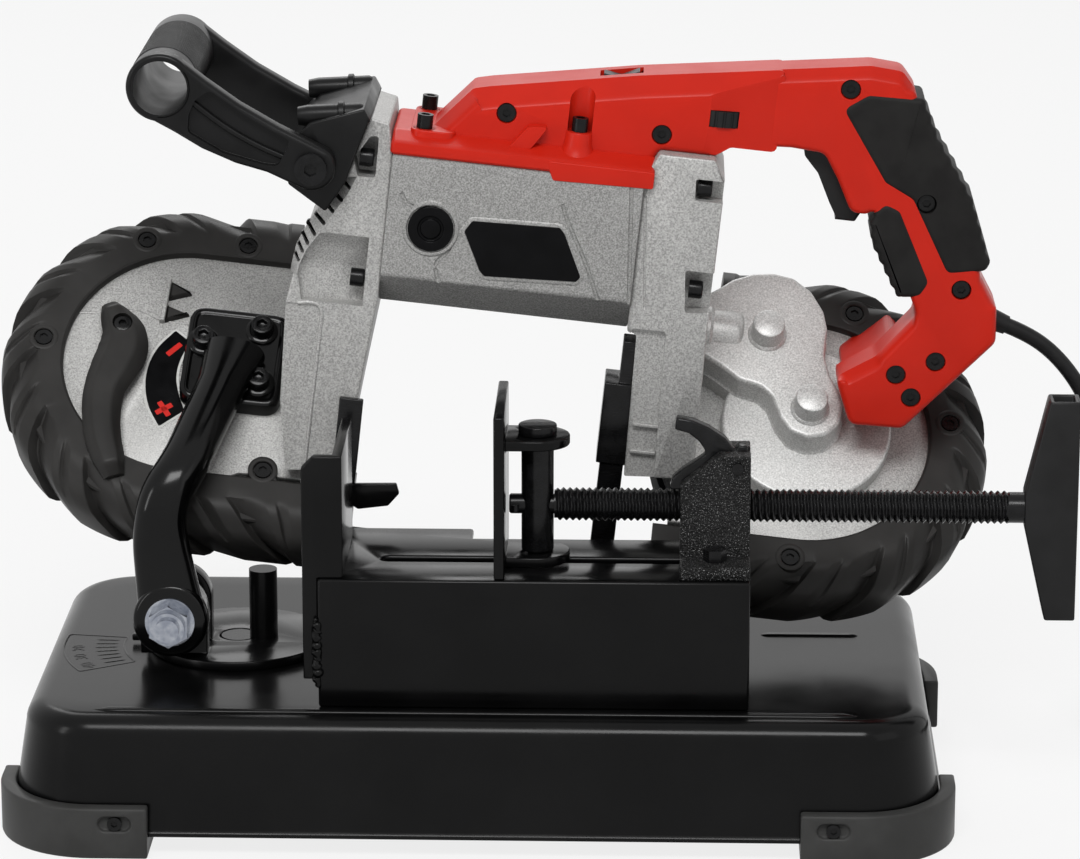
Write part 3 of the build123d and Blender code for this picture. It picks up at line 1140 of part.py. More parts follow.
def arm_screws():
    """Socket-head screws that hold the arm's mounting plate."""
    screws = []
    for x, u in arm_mount_places():
        seat = wheel_point(IDLER_X + x, u, PLATE_FRONT + ARM_PAD)
        head = bar(seat, NORMAL, ARM_SCREW_HEAD, 7.0) - hex_bar(seat + NORMAL * 4, NORMAL, 5.0, 8)
        shank = wheel_point(IDLER_X + x, u, PLATE_FRONT)
        screws.append(head + bar(shank, NORMAL, ARM_SCREW_RADIUS, ARM_PAD + 1))
    return Compound(screws)


# Covers, handles and controls

def cover_outline():
    """Side view of the red cover with its neck, grip and lower branch."""
    x, z = FRAME_X1, MOTOR_Z + MOTOR_TOP
    g = DRIVE_X
    body = [(x + 16, z + SHELF_HEIGHT), (x + 36, z + 35), (x + 118, z + 51)]
    grip = [(g + 8, z + 69), (g + 24, z + 68), (g + 31, z + 60), (g + 40, z + 37), (g + 61, z + 9),
            (g + 76, z - 31), (g + 86, z - 46), (g + 88, z - 64), (g + 47, z - 114), (g + 20, z - 115),
            (g + 10, z - 92), (g + 29, z - 79), (g + 47, z - 55), (g + 42, z - 45), (g + 23, z - 14),
            (g + 16, z + 3), (g + 8, z + 21), (g - 7, z + 21), (g - 27, z + 24)]
    seat = [(GEAR_X1 + 1, z + 22), (GEAR_X1 - 6, GEAR_TOP_Z), (GEAR_X0 + 6, GEAR_TOP_Z),
            (GEAR_X0, GEAR_TOP_Z - 12), (GEAR_X0, z), (x, z), (x, z + 1)]
    return outline(body + grip + seat)


def cover_plan():
    """Top view of the red cover, wide over the motor and slim at the grip."""
    x0, x1 = FRAME_X1 - 10, GEAR_X0 + 26
    wide, slim = COVER_HALF_WIDTH, GRIP_HALF_WIDTH
    far = DRIVE_X + 120
    return Pos(0, MOTOR_Y) * outline([(x0, -wide), (x1, -wide), (x1 + 34, -slim), (far, -slim), (far, slim),
                                      (x1 + 34, slim), (x1, wide), (x0, wide)])


def pad_outlines():
    """Side views of the grip's dark pads: along its back and low on its front."""
    z = MOTOR_Z + MOTOR_TOP
    g = DRIVE_X
    back = outline([(g + 1, z + 40), (g + 12, z + 55), (g + 35, z + 56), (g + 45, z + 37),
                    (g + 66, z + 8), (g + 82, z - 31), (g + 58, z - 43), (g + 46, z - 10),
                    (g + 33, z + 16), (g + 12, z + 30)])
    front = outline([(g + 17, z - 8), (g + 27, z - 4), (g + 40, z - 22), (g + 53, z - 44), (g + 36, z - 46),
                     (g + 20, z - 20)])
    return back, front


def cover_solid():
    """Whole red cover before it is parted into halves."""
    side_view = prism_y(cover_outline(), MOTOR_Y - THROUGH, MOTOR_Y + THROUGH)
    body = side_view & prism_z(cover_plan(), 0, 2 * THROUGH)
    g, z = DRIVE_X, MOTOR_Z
    foot = outline([(g + 20, z - 82), (g + 47, z - 81), (g + 62, z - 62), (g + 38, z - 42),
                    (g + 14, z - 60)])
    plate_room = slab(Circle(GUARD_OPENING - RUN_GAP), DRIVE_X, PLATE_FRONT, THROUGH)
    body += prism_y(foot, MOTOR_Y, THROUGH) & plate_room
    body += cover_shelf()
    for x, y, seat in standing_screw_places():
        body -= bar((x, y, seat), (0, 0, 1), SCREW_CHANNEL, THROUGH)
    body -= strain_relief()
    body -= slab(Circle(BIG_CASE_RADIUS + CASE_WALL), DRIVE_X, 0, BIG_W1 + 0.8 + CASE_WALL)
    body -= slab(Pos(INTER_DX, INTER_DU) * Circle(LOBE_RADIUS), DRIVE_X, 0, LOBE_TOP)
    room = TRIGGER_WIDTH / 2 + RUN_GAP
    body -= prism_y(trigger_pocket(), MOTOR_Y - room, MOTOR_Y + room)
    pin_reach = CONTROL_PIN_REACH + RUN_GAP
    pin_hole = CONTROL_PIN + SHAFT_FIT
    body -= control_pin(*trigger_pivot(), TRIGGER_WIDTH / 2 + pin_reach, pin_hole)
    body -= control_pin(*rocker_pivot(), ROCKER_WIDTH / 2 + pin_reach, pin_hole)
    body -= rocker_pocket()
    body -= dial_pocket()
    for place in cover_screw_places():
        start = (place[0], MOTOR_Y - THROUGH, place[1])
        body -= bar(start, (0, 1, 0), COVER_SCREW + 0.5, THROUGH - screw_depth(place[0]))
    back, front = pad_outlines()
    half = GRIP_HALF_WIDTH + PAD_PROUD
    for pad in (back, front):
        body -= prism_y(pad, MOTOR_Y - half - 1, MOTOR_Y + half + 1)
    return body


def screw_depth(x):
    """How far the seat of a side screw lies in front of the cover's middle plane."""
    return (COVER_HALF_WIDTH if x < GEAR_X0 + 26 else GRIP_HALF_WIDTH) - 4.0


def cover_screw_places():
    """Side screws that clamp the two cover halves together."""
    z = MOTOR_Z + MOTOR_TOP
    g = DRIVE_X
    return ((FRAME_X1 + 54, z + 27), (GEAR_X0 + 6, z + 25), (g - 1, z + 57), (g + 40, z - 86),
            (g + 59, z - 77), (g + 49, z - 97))


def cover_screws():
    """Side screws of the cover and the standing screws on its top."""
    screws = []
    for x, z in cover_screw_places():
        seat = Vector(x, MOTOR_Y - screw_depth(x), z)
        way = Vector(0, -1, 0)
        screws.append(bar(seat, way, COVER_SCREW, 2.5) - hex_bar(seat + way, way, 4.0, 3))
    for x, y, z in standing_screw_places():
        head = bar((x, y, z), (0, 0, 1), STANDING_SCREW, 7.0)
        screws.append(head - hex_bar((x, y, z + 4), (0, 0, 1), 4.5, 4))
    return Compound(screws)


def standing_screw_places():
    """Socket screws that stand on the cover's shelf, on their bosses."""
    z = MOTOR_Z + MOTOR_TOP
    front, back = MOTOR_Y - COVER_HALF_WIDTH + 1, MOTOR_Y + COVER_HALF_WIDTH - 1
    return ((FRAME_X1 + 14, front, z + 15), (FRAME_X1 + 91, front, z + 22), (FRAME_X1 + 14, back, z + 15))


def cover_shelf():
    """Low shelf of the cover over the motor, with the platform and bosses of the standing screws."""
    z = MOTOR_Z + MOTOR_TOP
    wide, slim = SHELF_HALF_WIDTH, COVER_HALF_WIDTH
    edge, high = z + SHELF_EDGE, z + SHELF_HEIGHT
    section = outline([(MOTOR_Y - wide, z), (MOTOR_Y - wide, edge), (MOTOR_Y - slim, high),
                       (MOTOR_Y + slim, high), (MOTOR_Y + wide, edge), (MOTOR_Y + wide, z)])
    body = prism_x(section, FRAME_X1, GEAR_X0)
    for x, y, top in standing_screw_places():
        body += bar((x, y, z + 4), (0, 0, 1), STANDING_BOSS, top - z - 4)
    x, front, top = standing_screw_places()[0]
    return body + box(x - STANDING_BOSS, x + 2 * STANDING_BOSS, front, 2 * MOTOR_Y - front, z + 4, top)


def cover_half(front):
    """One half of the red cover."""
    edge = MOTOR_Y + (-THROUGH if front else THROUGH)
    y0, y1 = min(MOTOR_Y, edge), max(MOTOR_Y, edge)
    return cover_solid() & box(-THROUGH, 3 * THROUGH, y0, y1, 0, 2 * THROUGH)


def grip_pads():
    """Dark overmoulded pads of the rear grip."""
    half = GRIP_HALF_WIDTH + PAD_PROUD
    return Compound([prism_y(pad, MOTOR_Y - half, MOTOR_Y + half) for pad in pad_outlines()])


def trigger_shape(offset):
    """Side view of the trigger, grown by an offset."""
    z = MOTOR_Z + MOTOR_TOP
    g = DRIVE_X
    shape = outline([(g - 21, z + 26), (g - 12, z - 8), (g - 2, z - 12), (g + 10, z - 12), (g + 18, z + 4),
                     (g + 6, z + 32), (g - 15, z + 32)], 1.5)
    return offset_shape(shape, offset) if offset else shape


def offset_shape(shape, amount):
    """Outline grown evenly by an amount."""
    return offset(shape, amount=amount, kind=Kind.ARC)


def trigger_pocket():
    """Room in the cover for the trigger and its travel."""
    shape = trigger_shape(RUN_GAP + 1.0)
    return shape + Pos(3, 0) * shape + Pos(6, 1) * shape


def trigger_pivot():
    """Hinge axis of the trigger in the X-Z view."""
    return DRIVE_X - 6.0, MOTOR_Z + MOTOR_TOP + 26.0


def trigger():
    """Trigger with its hinge stubs."""
    half = TRIGGER_WIDTH / 2
    body = prism_y(trigger_shape(0), MOTOR_Y - half, MOTOR_Y + half)
    return body + control_pin(*trigger_pivot(), half + CONTROL_PIN_REACH, CONTROL_PIN)


def control_pin(x, z, half, radius):
    """Hinge stubs of a control, across the cover's middle plane."""
    return bar((x, MOTOR_Y - half, z), (0, 1, 0), radius, 2 * half)


def rocker_place():
    """Middle of the rocker switch on the cover's top."""
    return FRAME_X1 + 109.0, MOTOR_Z + MOTOR_TOP + 48.0


def rocker_pocket():
    """Well for the rocker switch."""
    x, z = rocker_place()
    gap = RUN_GAP + 1.4
    return box(x - ROCKER_LENGTH / 2 - gap, x + ROCKER_LENGTH / 2 + gap, MOTOR_Y - ROCKER_WIDTH / 2 - gap,
               MOTOR_Y + ROCKER_WIDTH / 2 + gap, z - ROCKER_HEIGHT, z + 40)


def rocker_switch():
    """Rocker with a shallow vee top and a round keel."""
    x, z = rocker_place()
    half = ROCKER_LENGTH / 2
    shape = outline([(x - half, z + 1), (x, z - 0.5), (x + half, z + 4), (x + half - 1, z - 1),
                     (x, z - ROCKER_HEIGHT + 1), (x - half + 1, z - 4)])
    body = prism_y(shape, MOTOR_Y - ROCKER_WIDTH / 2, MOTOR_Y + ROCKER_WIDTH / 2)
    return body + control_pin(*rocker_pivot(), ROCKER_WIDTH / 2 + CONTROL_PIN_REACH, CONTROL_PIN)


def rocker_pivot():
    """Hinge axis of the rocker in the X-Z view."""
    x, z = rocker_place()
    return x, z - ROCKER_HEIGHT / 2


def dial_axis():
    """Centre of the speed dial: its rim stands a little way out of the cover's front."""
    return GEAR_X0 + 34.0, MOTOR_Y - dial_wall() + DIAL_RADIUS - 2.0, MOTOR_Z + MOTOR_TOP + 36.0


def dial_wall():
    """Half width of the cover where the dial shows."""
    return GRIP_HALF_WIDTH + (COVER_HALF_WIDTH - GRIP_HALF_WIDTH) * 26.0 / 34.0


def dial_pocket():
    """Slot for the speed dial, with the bearing holes of its axle."""
    x, y, z = dial_axis()
    low = z - DIAL_HEIGHT / 2 - RUN_GAP
    reach, height = CONTROL_PIN_REACH, DIAL_HEIGHT + 2 * RUN_GAP
    slot = bar((x, y, low), (0, 0, 1), DIAL_RADIUS + RUN_GAP + 0.2, height)
    return slot + bar((x, y, low - reach), (0, 0, 1), CONTROL_PIN + SHAFT_FIT, height + 2 * reach)


def speed_dial():
    """Thumb wheel with a notched rim."""
    x, y, z = dial_axis()
    notches = Sketch() + [Rot(0, 0, 20 * step) * Pos(DIAL_RADIUS, 0) * Circle(0.8) for step in range(18)]
    body = prism_z(Pos(x, y) * (Circle(DIAL_RADIUS) - notches), z - DIAL_HEIGHT / 2, z + DIAL_HEIGHT / 2)
    reach = CONTROL_PIN_REACH
    return body + bar((x, y, z - DIAL_HEIGHT / 2 - reach), (0, 0, 1), CONTROL_PIN, DIAL_HEIGHT + 2 * reach)


def bail_pivot():
    """Bail hinge in the X-Z view."""
    return IDLER_X + BAIL_PIVOT_DX, BAIL_PIVOT_Z


def bail_lean():
    """Placement that carries a bail arm, drawn along X from its bolt, to its place in the X-Z view."""
    return Pos(*bail_pivot()) * Rot(0, 0, 180 - BAIL_RISE)


def bail_arm():
    """Side view of a bail arm: bolt eye, web that swells below towards the grip, and the grip's end."""
    reach, grip, eye = BAIL_REACH, BAIL_TUBE_RADIUS, BAIL_EYE_RADIUS
    web = outline([(0, -eye), (0.55 * reach, -0.68 * grip), (reach, -grip), (reach, grip),
                   (0.62 * reach, 1.02 * grip), (0.4 * reach, 0.94 * grip), (0.21 * reach, 0.74 * grip),
                   (0, eye)])
    return bail_lean() * (Circle(eye) + web + Pos(reach, 0) * Circle(grip))


def front_handle():
    """Bail handle: hollow grip tube between two arms with sunk panels."""
    px, pz = bail_pivot()
    dx, dz = polar(BAIL_REACH, 180 - BAIL_RISE)
    near, far = MOTOR_Y - BAIL_HALF_SPAN, MOTOR_Y + BAIL_HALF_SPAN
    body = prism_y(bail_arm(), near, near + BAIL_ARM) + prism_y(bail_arm(), far - BAIL_ARM, far)
    body += bar((px + dx, near, pz + dz), (0, 1, 0), BAIL_TUBE_RADIUS, 2 * BAIL_HALF_SPAN)
    length = BAIL_REACH - BAIL_TUBE_RADIUS - 2 * BAIL_EYE_RADIUS
    panel = bail_lean() * Pos(BAIL_REACH / 2 - 4, 2) * Rectangle(length, BAIL_PANEL)
    body -= prism_y(panel, near - 1, near + BAIL_PANEL_DEPTH)
    body -= prism_y(panel, far - BAIL_PANEL_DEPTH, far + 1)
    bore = BAIL_TUBE_RADIUS - BAIL_TUBE_WALL
    body -= bar((px + dx, near - 1, pz + dz), (0, 1, 0), bore, 2 * BAIL_HALF_SPAN + 2)
    return body - bar((px, near - 1, pz), (0, 1, 0), BAIL_BOLT_RADIUS + SHAFT_FIT, 2 * BAIL_HALF_SPAN + 2)


def handle_bracket():
    """Ribbed bracket on the left casting between the arms of the bail handle."""
    x, top, bolt = FRAME_X0, FRAME_TOP_Z, BAIL_PIVOT_Z
    shape = outline([(x - 4, bolt - 12), (x - 4, bolt + 10), (x + 4, bolt + 20), (x + 30, top + 4),
                     (x + 34, top - 2), (x + 33, top - 2), (x + 24, top - 35), (x + 16, bolt - 24)])
    near = MOTOR_Y - BAIL_HALF_SPAN + BAIL_ARM + RUN_GAP
    far = MOTOR_Y + BAIL_HALF_SPAN - BAIL_ARM - RUN_GAP
    body = prism_y(shape, near, far)
    casting = outline(frame_edge() + [(x + 60, top - 2), (x + 60, top - 100)])
    body -= prism_y(casting, -THROUGH, THROUGH)
    px, pz = bail_pivot()
    rear = MOTOR_Y + MOTOR_HALF_DEPTH
    body += bar((px, near, pz), (0, 1, 0), BRACKET_BOSS, FRAME_FRONT_Y - near)
    body += bar((px, rear, pz), (0, 1, 0), BRACKET_BOSS, far - rear)
    return body - bar((px, near - 1, pz), (0, 1, 0), BAIL_BOLT_RADIUS, 2 * BAIL_HALF_SPAN)


def handle_bolts():
    """Bolts on which the bail turns, one a side, with a recessed hexagon."""
    px, pz = bail_pivot()
    near, far = MOTOR_Y - BAIL_HALF_SPAN, MOTOR_Y + BAIL_HALF_SPAN
    reach = BAIL_ARM + RUN_GAP + 6.0
    bolts = []
    for y, way in ((near, 1), (far, -1)):
        head = bar((px, y - way * RUN_GAP, pz), (0, -way, 0), 8.0, 4.0)
        head -= hex_bar((px, y - way * 2.0, pz), (0, -way, 0), 6.0, 10)
        bolts.append(head + bar((px, y - way * RUN_GAP, pz), (0, way, 0), BAIL_BOLT_RADIUS, reach))
    return Compound(bolts)


def brush_caps():
    """Round caps over the carbon brushes, front and back."""
    caps = []
    for way in (-1, 1):
        y = MOTOR_Y + way * MOTOR_HALF_DEPTH
        cap = bar((brush_x(), y - way * 3.0, MOTOR_Z), (0, way, 0), BRUSH_RADIUS, 4.5)
        cap -= bar((brush_x(), y, MOTOR_Z), (0, way, 0), 6.5, 4.5)
        caps.append(cap + bar((brush_x(), y - way * 1.0, MOTOR_Z), (0, way, 0), 5.0, 2.0))
    return Compound(caps)


# Mains lead

def relief_start():
    """Point on the grip's lower branch where the lead leaves, with its direction."""
    start = Vector(DRIVE_X + 72.5, MOTOR_Y, MOTOR_Z - 19.0)
    dip = math.radians(RELIEF_DIP)
    return start, Vector(math.cos(dip), 0, -math.sin(dip))


def strain_relief():
    """Tapered sleeve round the lead where it leaves the grip."""
    start, way = relief_start()
    base = Plane(start, z_dir=way) * Circle(RELIEF_RADIUS)
    tip = Plane(start + way * RELIEF_LENGTH, z_dir=way) * Circle(CORD_RADIUS + 0.8)
    return loft([base.face(), tip.face()])


def head_to_stand(point):
    """Place of a head point once the head is dropped onto its stop."""
    return (HEAD * Pos(*point)).position


def cord_points():
    """Route of the free stretch, from the strain relief down to the floor and into the coil."""
    start, way = relief_start()
    here = head_to_stand(start + way * RELIEF_LENGTH)
    down = [here]
    for dip, run in FALL_RUNS:
        lean = math.radians(dip)
        here = here + Vector(math.cos(lean), 0, -math.sin(lean)) * run
        down.append(here)
    here = coil_entry()
    along = coil_state(0)[1]
    floor = [here]
    for dip, run in FLOOR_RUNS:
        lean = math.radians(dip)
        here = here - along * (run * math.cos(lean)) + Vector(0, 0, run * math.sin(lean))
        floor.append(here)
    return down + floor[::-1]


def coil_entry():
    """Start of the coil's straight lead-in."""
    place, way = coil_state(0)
    return place - way * (2 * CORD_RADIUS)


def run_radii(points):
    """Corner radii of a route: as large as the shorter run at each corner allows."""
    radii = []
    for before, here, after in zip(points, points[1:], points[2:]):
        first, second = Vector(here) - Vector(before), Vector(after) - Vector(here)
        turn = first.get_angle(second)
        radii.append(0.45 * min(first.length, second.length) / math.tan(math.radians(turn / 2)))
    return radii


def cord():
    """Free stretch of the lead."""
    points = cord_points()
    radii = run_radii(points)
    print("cord radii", [round(radius) for radius in radii])
    path = FilletPolyline(*points, radius=radii)
    section = Plane(path @ 0, z_dir=path % 0) * Circle(CORD_RADIUS)
    return sweep(section, path=path)


def coil_state(turn):
    """Place and direction on the coil after a number of turns."""
    total = 2 * COIL_TURNS + 0.5
    middle = total / 2
    away = turn - middle
    inner = COIL_RADIUS - COIL_PITCH * (middle - 0.125)
    if abs(away) < 0.25:
        radius = inner + COIL_PITCH * (away * away + 0.0625) / 0.5
        slope = COIL_PITCH * away * 4
        part = (away + 0.25) / 0.5
        height = COIL_PITCH * part * part * (3 - 2 * part)
        climb = COIL_PITCH * 6 * part * (1 - part) / 0.5
    else:
        radius = inner + COIL_PITCH * abs(away)
        slope = math.copysign(COIL_PITCH, away)
        height = 0.0 if away < 0 else COIL_PITCH
        climb = 0.0
    angle = math.pi - 2 * math.pi * turn
    out = Vector(math.cos(angle), math.sin(angle), 0)
    along = Vector(math.sin(angle), -math.cos(angle), 0)
    place = Vector(COIL_CENTRE[0], COIL_CENTRE[1], COIL_BASE + height) + out * radius
    way = (out * slope + along * (2 * math.pi * radius) + Vector(0, 0, climb)).normalized()
    return place, way


def biarc(start, start_way, stop, stop_way):
    """Two tangent arcs from one place and direction to the next."""
    chord = stop - start
    both = start_way + stop_way
    bend = 2 * (1 - start_way.dot(stop_way))
    along = chord.dot(both)
    reach = (-along + math.sqrt(along * along + bend * chord.dot(chord))) / bend
    joint = (start + stop + (start_way - stop_way) * reach) * 0.5
    first = joint - start
    joint_way = first * (2 * first.dot(start_way) / first.dot(first)) - start_way
    return [TangentArc(start, joint, tangent=start_way), TangentArc(joint, stop, tangent=joint_way)]


def coil_steps():
    """Turn counts at the quarter turns of the coil."""
    return [step / 4 for step in range(int(round(4 * (2 * COIL_TURNS + 0.5))) + 1)]


def cord_coil():
    """Put-away length of the lead: two layers of turns in one unbroken tube."""
    states = [coil_state(turn) for turn in coil_steps()]
    first_place, first_way = states[0]
    last_place, last_way = states[-1]
    edges = [Line(coil_entry(), first_place)]
    for (start, start_way), (stop, stop_way) in zip(states, states[1:]):
        edges += biarc(start, start_way, stop, stop_way)
    edges.append(Line(last_place, last_place + last_way * COIL_TAIL))
    path = Wire(edges)
    tube = sweep(Plane(coil_entry(), z_dir=first_way) * Circle(CORD_RADIUS), path=path)
    print("coil length", round(path.length, 1), "least gap", round(coil_gap(), 2), "solid", tube.is_valid)
    return tube


def coil_gap():
    """Least gap of the coil to itself, measured on points along it."""
    count = 60 * int(2 * COIL_TURNS + 0.5)
    total = 2 * COIL_TURNS + 0.5
    places = [coil_state(total * step / count)[0] for step in range(count + 1)]
    least = 1e9
    apart = int(0.6 * count / total)
    for first in range(count + 1):
        for second in range(first + apart, count + 1):
            least = min(least, (places[first] - places[second]).length)
    return least - 2 * CORD_RADIUS


def cord_tie():
    """Strap round the coil's turns."""
    wide = COIL_PITCH * COIL_TURNS + 2 * CORD_RADIUS + 2 * RUN_GAP + 2.0
    high = COIL_PITCH + 2 * CORD_RADIUS + 2 * RUN_GAP
    middle = COIL_RADIUS - COIL_PITCH * COIL_TURNS / 2
    centre = Vector(COIL_CENTRE[0], COIL_CENTRE[1] + middle, TIE_SHEET + high / 2)
    plane = Plane(centre - Vector(TIE_WIDTH / 2, 0, 0), x_dir=(0, 1, 0), z_dir=(1, 0, 0))
    band = rounded(wide + 2 * TIE_SHEET, high + 2 * TIE_SHEET, 4.0) - rounded(wide, high, 4.0 - TIE_SHEET)
    return extrude(plane * band, amount=TIE_WIDTH)


def plug():
    """Moulded two-pin plug on the end of the coil, lying on the floor."""
    place, way = coil_state(2 * COIL_TURNS + 0.5)
    start = place + way * COIL_TAIL
    thick = 2 * start.Z
    side = way.cross(Vector(0, 0, 1))
    neck = Plane(start, x_dir=side, z_dir=way) * Circle(CORD_RADIUS + 1.5)
    plane = Plane(start + way * PLUG_NECK, x_dir=side, z_dir=way)
    shoulder = plane * Circle(CORD_RADIUS + 4.5)
    body = loft([neck.face(), shoulder.face()])
    body += extrude(plane * rounded(PLUG_WIDTH, thick, thick * 0.3), amount=PLUG_LENGTH - PLUG_NECK)
    for sign in (-1, 1):
        pin = start + way * PLUG_LENGTH + side * (sign * PIN_SPACING / 2)
        body += bar(pin, way, PIN_RADIUS, PIN_LENGTH)
    return body


def stand_parts():
    """Pieces that are drawn where they stand."""
    makers = (base_pan, corner_feet, foot_screws, turntable, swivel_bolt, stop_post, pivot_hardware,
              vise_bed, fixed_jaw, nut_block, nut_block_bolts, release_hook, hook_pin, moving_jaw,
              jaw_trunnion, lead_screw, cotter_pin, wing_handle, cord, cord_coil, cord_tie, plug)
    return {maker.__name__: maker() for maker in makers}


def head_parts():
    """Pieces of the saw head, in the head's own frame."""
    makers = (front_frame, motor_housing, gear_housing, gear_cover, motor_field, armature, transfer_gear,
              layshaft, intermediate_gear, drive_wheel, idler_wheel, idler_carriage, tension_lever, blade,
              blade_guides, work_stop, guard_screws, rear_channel, swing_arm, arm_screws, cover_screws,
              grip_pads, trigger, rocker_switch, speed_dial, front_handle, handle_bracket, handle_bolts,
              brush_caps, name_badges, strain_relief)
    parts = {maker.__name__: maker() for maker in makers}
    parts["drive_tyre"] = tyre(DRIVE_X)
    parts["idler_tyre"] = tyre(IDLER_X)
    parts["idler_guard"] = wheel_guard(IDLER_X, 1)
    parts["drive_guard"] = wheel_guard(DRIVE_X, -1)
    parts["cover_front_half"] = cover_half(True)
    parts["cover_back_half"] = cover_half(False)
    return parts


def main():
    """Build every piece and write one file for each."""
    os.makedirs("parts", exist_ok=True)
    for name, shape in stand_parts().items():
        export_step(shape, f"parts/{name}.step")
    for name, shape in head_parts().items():
        export_step(HEAD * shape, f"parts/{name}.step")


if __name__ == "__main__":
    main()
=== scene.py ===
"""Looks of a bench-mounted metal band saw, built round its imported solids.

Lengths are millimetres in the solids' frame unless a name says otherwise, and meshes go into the
scene in metres. X runs right along the blade, Y away from the operator and Z up.
"""
from __future__ import annotations

import json
import logging
import math
from dataclasses import dataclass
from enum import Enum
from typing import Sequence

import bmesh
import bpy
import numpy as np
from mathutils import Matrix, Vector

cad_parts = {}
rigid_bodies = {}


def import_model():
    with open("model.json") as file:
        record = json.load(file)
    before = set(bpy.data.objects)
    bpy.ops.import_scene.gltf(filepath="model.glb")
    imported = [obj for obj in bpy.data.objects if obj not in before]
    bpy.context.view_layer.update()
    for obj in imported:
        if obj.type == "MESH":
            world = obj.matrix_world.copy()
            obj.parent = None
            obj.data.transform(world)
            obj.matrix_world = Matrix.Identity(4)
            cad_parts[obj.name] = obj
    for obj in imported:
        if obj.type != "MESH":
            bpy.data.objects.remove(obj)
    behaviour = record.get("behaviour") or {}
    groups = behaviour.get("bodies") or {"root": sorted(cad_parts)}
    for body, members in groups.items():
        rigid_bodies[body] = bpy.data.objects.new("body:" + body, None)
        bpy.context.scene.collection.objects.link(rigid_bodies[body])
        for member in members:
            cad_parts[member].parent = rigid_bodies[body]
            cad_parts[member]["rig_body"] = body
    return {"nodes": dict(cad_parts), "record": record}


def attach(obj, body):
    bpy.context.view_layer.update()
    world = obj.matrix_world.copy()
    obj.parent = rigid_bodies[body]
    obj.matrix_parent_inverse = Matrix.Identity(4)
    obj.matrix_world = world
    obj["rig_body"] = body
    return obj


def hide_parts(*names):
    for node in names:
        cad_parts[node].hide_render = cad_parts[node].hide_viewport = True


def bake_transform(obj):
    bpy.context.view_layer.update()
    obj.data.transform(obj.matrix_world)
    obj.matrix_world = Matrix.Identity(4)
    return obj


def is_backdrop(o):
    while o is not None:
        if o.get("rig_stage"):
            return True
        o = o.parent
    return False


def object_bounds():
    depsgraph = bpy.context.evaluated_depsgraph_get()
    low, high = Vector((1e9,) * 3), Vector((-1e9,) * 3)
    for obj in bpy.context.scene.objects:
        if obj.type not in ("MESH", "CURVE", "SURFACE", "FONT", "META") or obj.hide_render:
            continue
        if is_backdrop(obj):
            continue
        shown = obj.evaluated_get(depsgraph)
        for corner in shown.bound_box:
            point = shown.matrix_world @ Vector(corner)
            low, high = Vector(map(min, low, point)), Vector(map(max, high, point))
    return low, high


LOG = logging.getLogger("band_saw")
MM = 0.001
Array = np.ndarray
Pair = tuple[float, float]
Point = tuple[float, float, float]
Line = tuple[Pair, ...]
Colour = tuple[float, float, float]
Socket = bpy.types.NodeSocket


@dataclass(frozen=True)
class Axes:
    """Right-handed axes in the solids' frame, in which a piece is worked out."""

    origin: Point
    along: Point
    up: Point
    out: Point

    def place(self, points: Array) -> Array:
        """Carry points whose last axis holds (along, up, out) into the solids' frame."""
        turn = np.array([self.along, self.up, self.out], float)
        return np.asarray(self.origin, float) + np.asarray(points, float) @ turn


HEAD_DROP = math.radians(6.2)
HEAD_X = (math.cos(HEAD_DROP), 0.0, -math.sin(HEAD_DROP))
HEAD_Z = (math.sin(HEAD_DROP), 0.0, math.cos(HEAD_DROP))
TILT = math.sqrt(0.5)
PIVOT = (-180.0, 0.0, 95.0)
AXLE_Y, AXLE_Z = 54.384, 95.684
CENTRE = (0.0, 0.0, 0.0)
STAND_TOP = Axes(CENTRE, (1.0, 0.0, 0.0), (0.0, 1.0, 0.0), (0.0, 0.0, 1.0))
HEAD_SIDE = Axes(PIVOT, HEAD_X, HEAD_Z, (0.0, -1.0, 0.0))
HEAD_TOP = Axes(PIVOT, HEAD_X, (0.0, 1.0, 0.0), HEAD_Z)
HEAD_END = Axes(PIVOT, (0.0, 1.0, 0.0), HEAD_Z, HEAD_X)
WHEELS = Axes(tuple(HEAD_TOP.place(np.array([0.0, AXLE_Y, AXLE_Z]))), HEAD_X,
              (TILT * HEAD_Z[0], TILT, TILT * HEAD_Z[2]), (TILT * HEAD_Z[0], -TILT, TILT * HEAD_Z[2]))


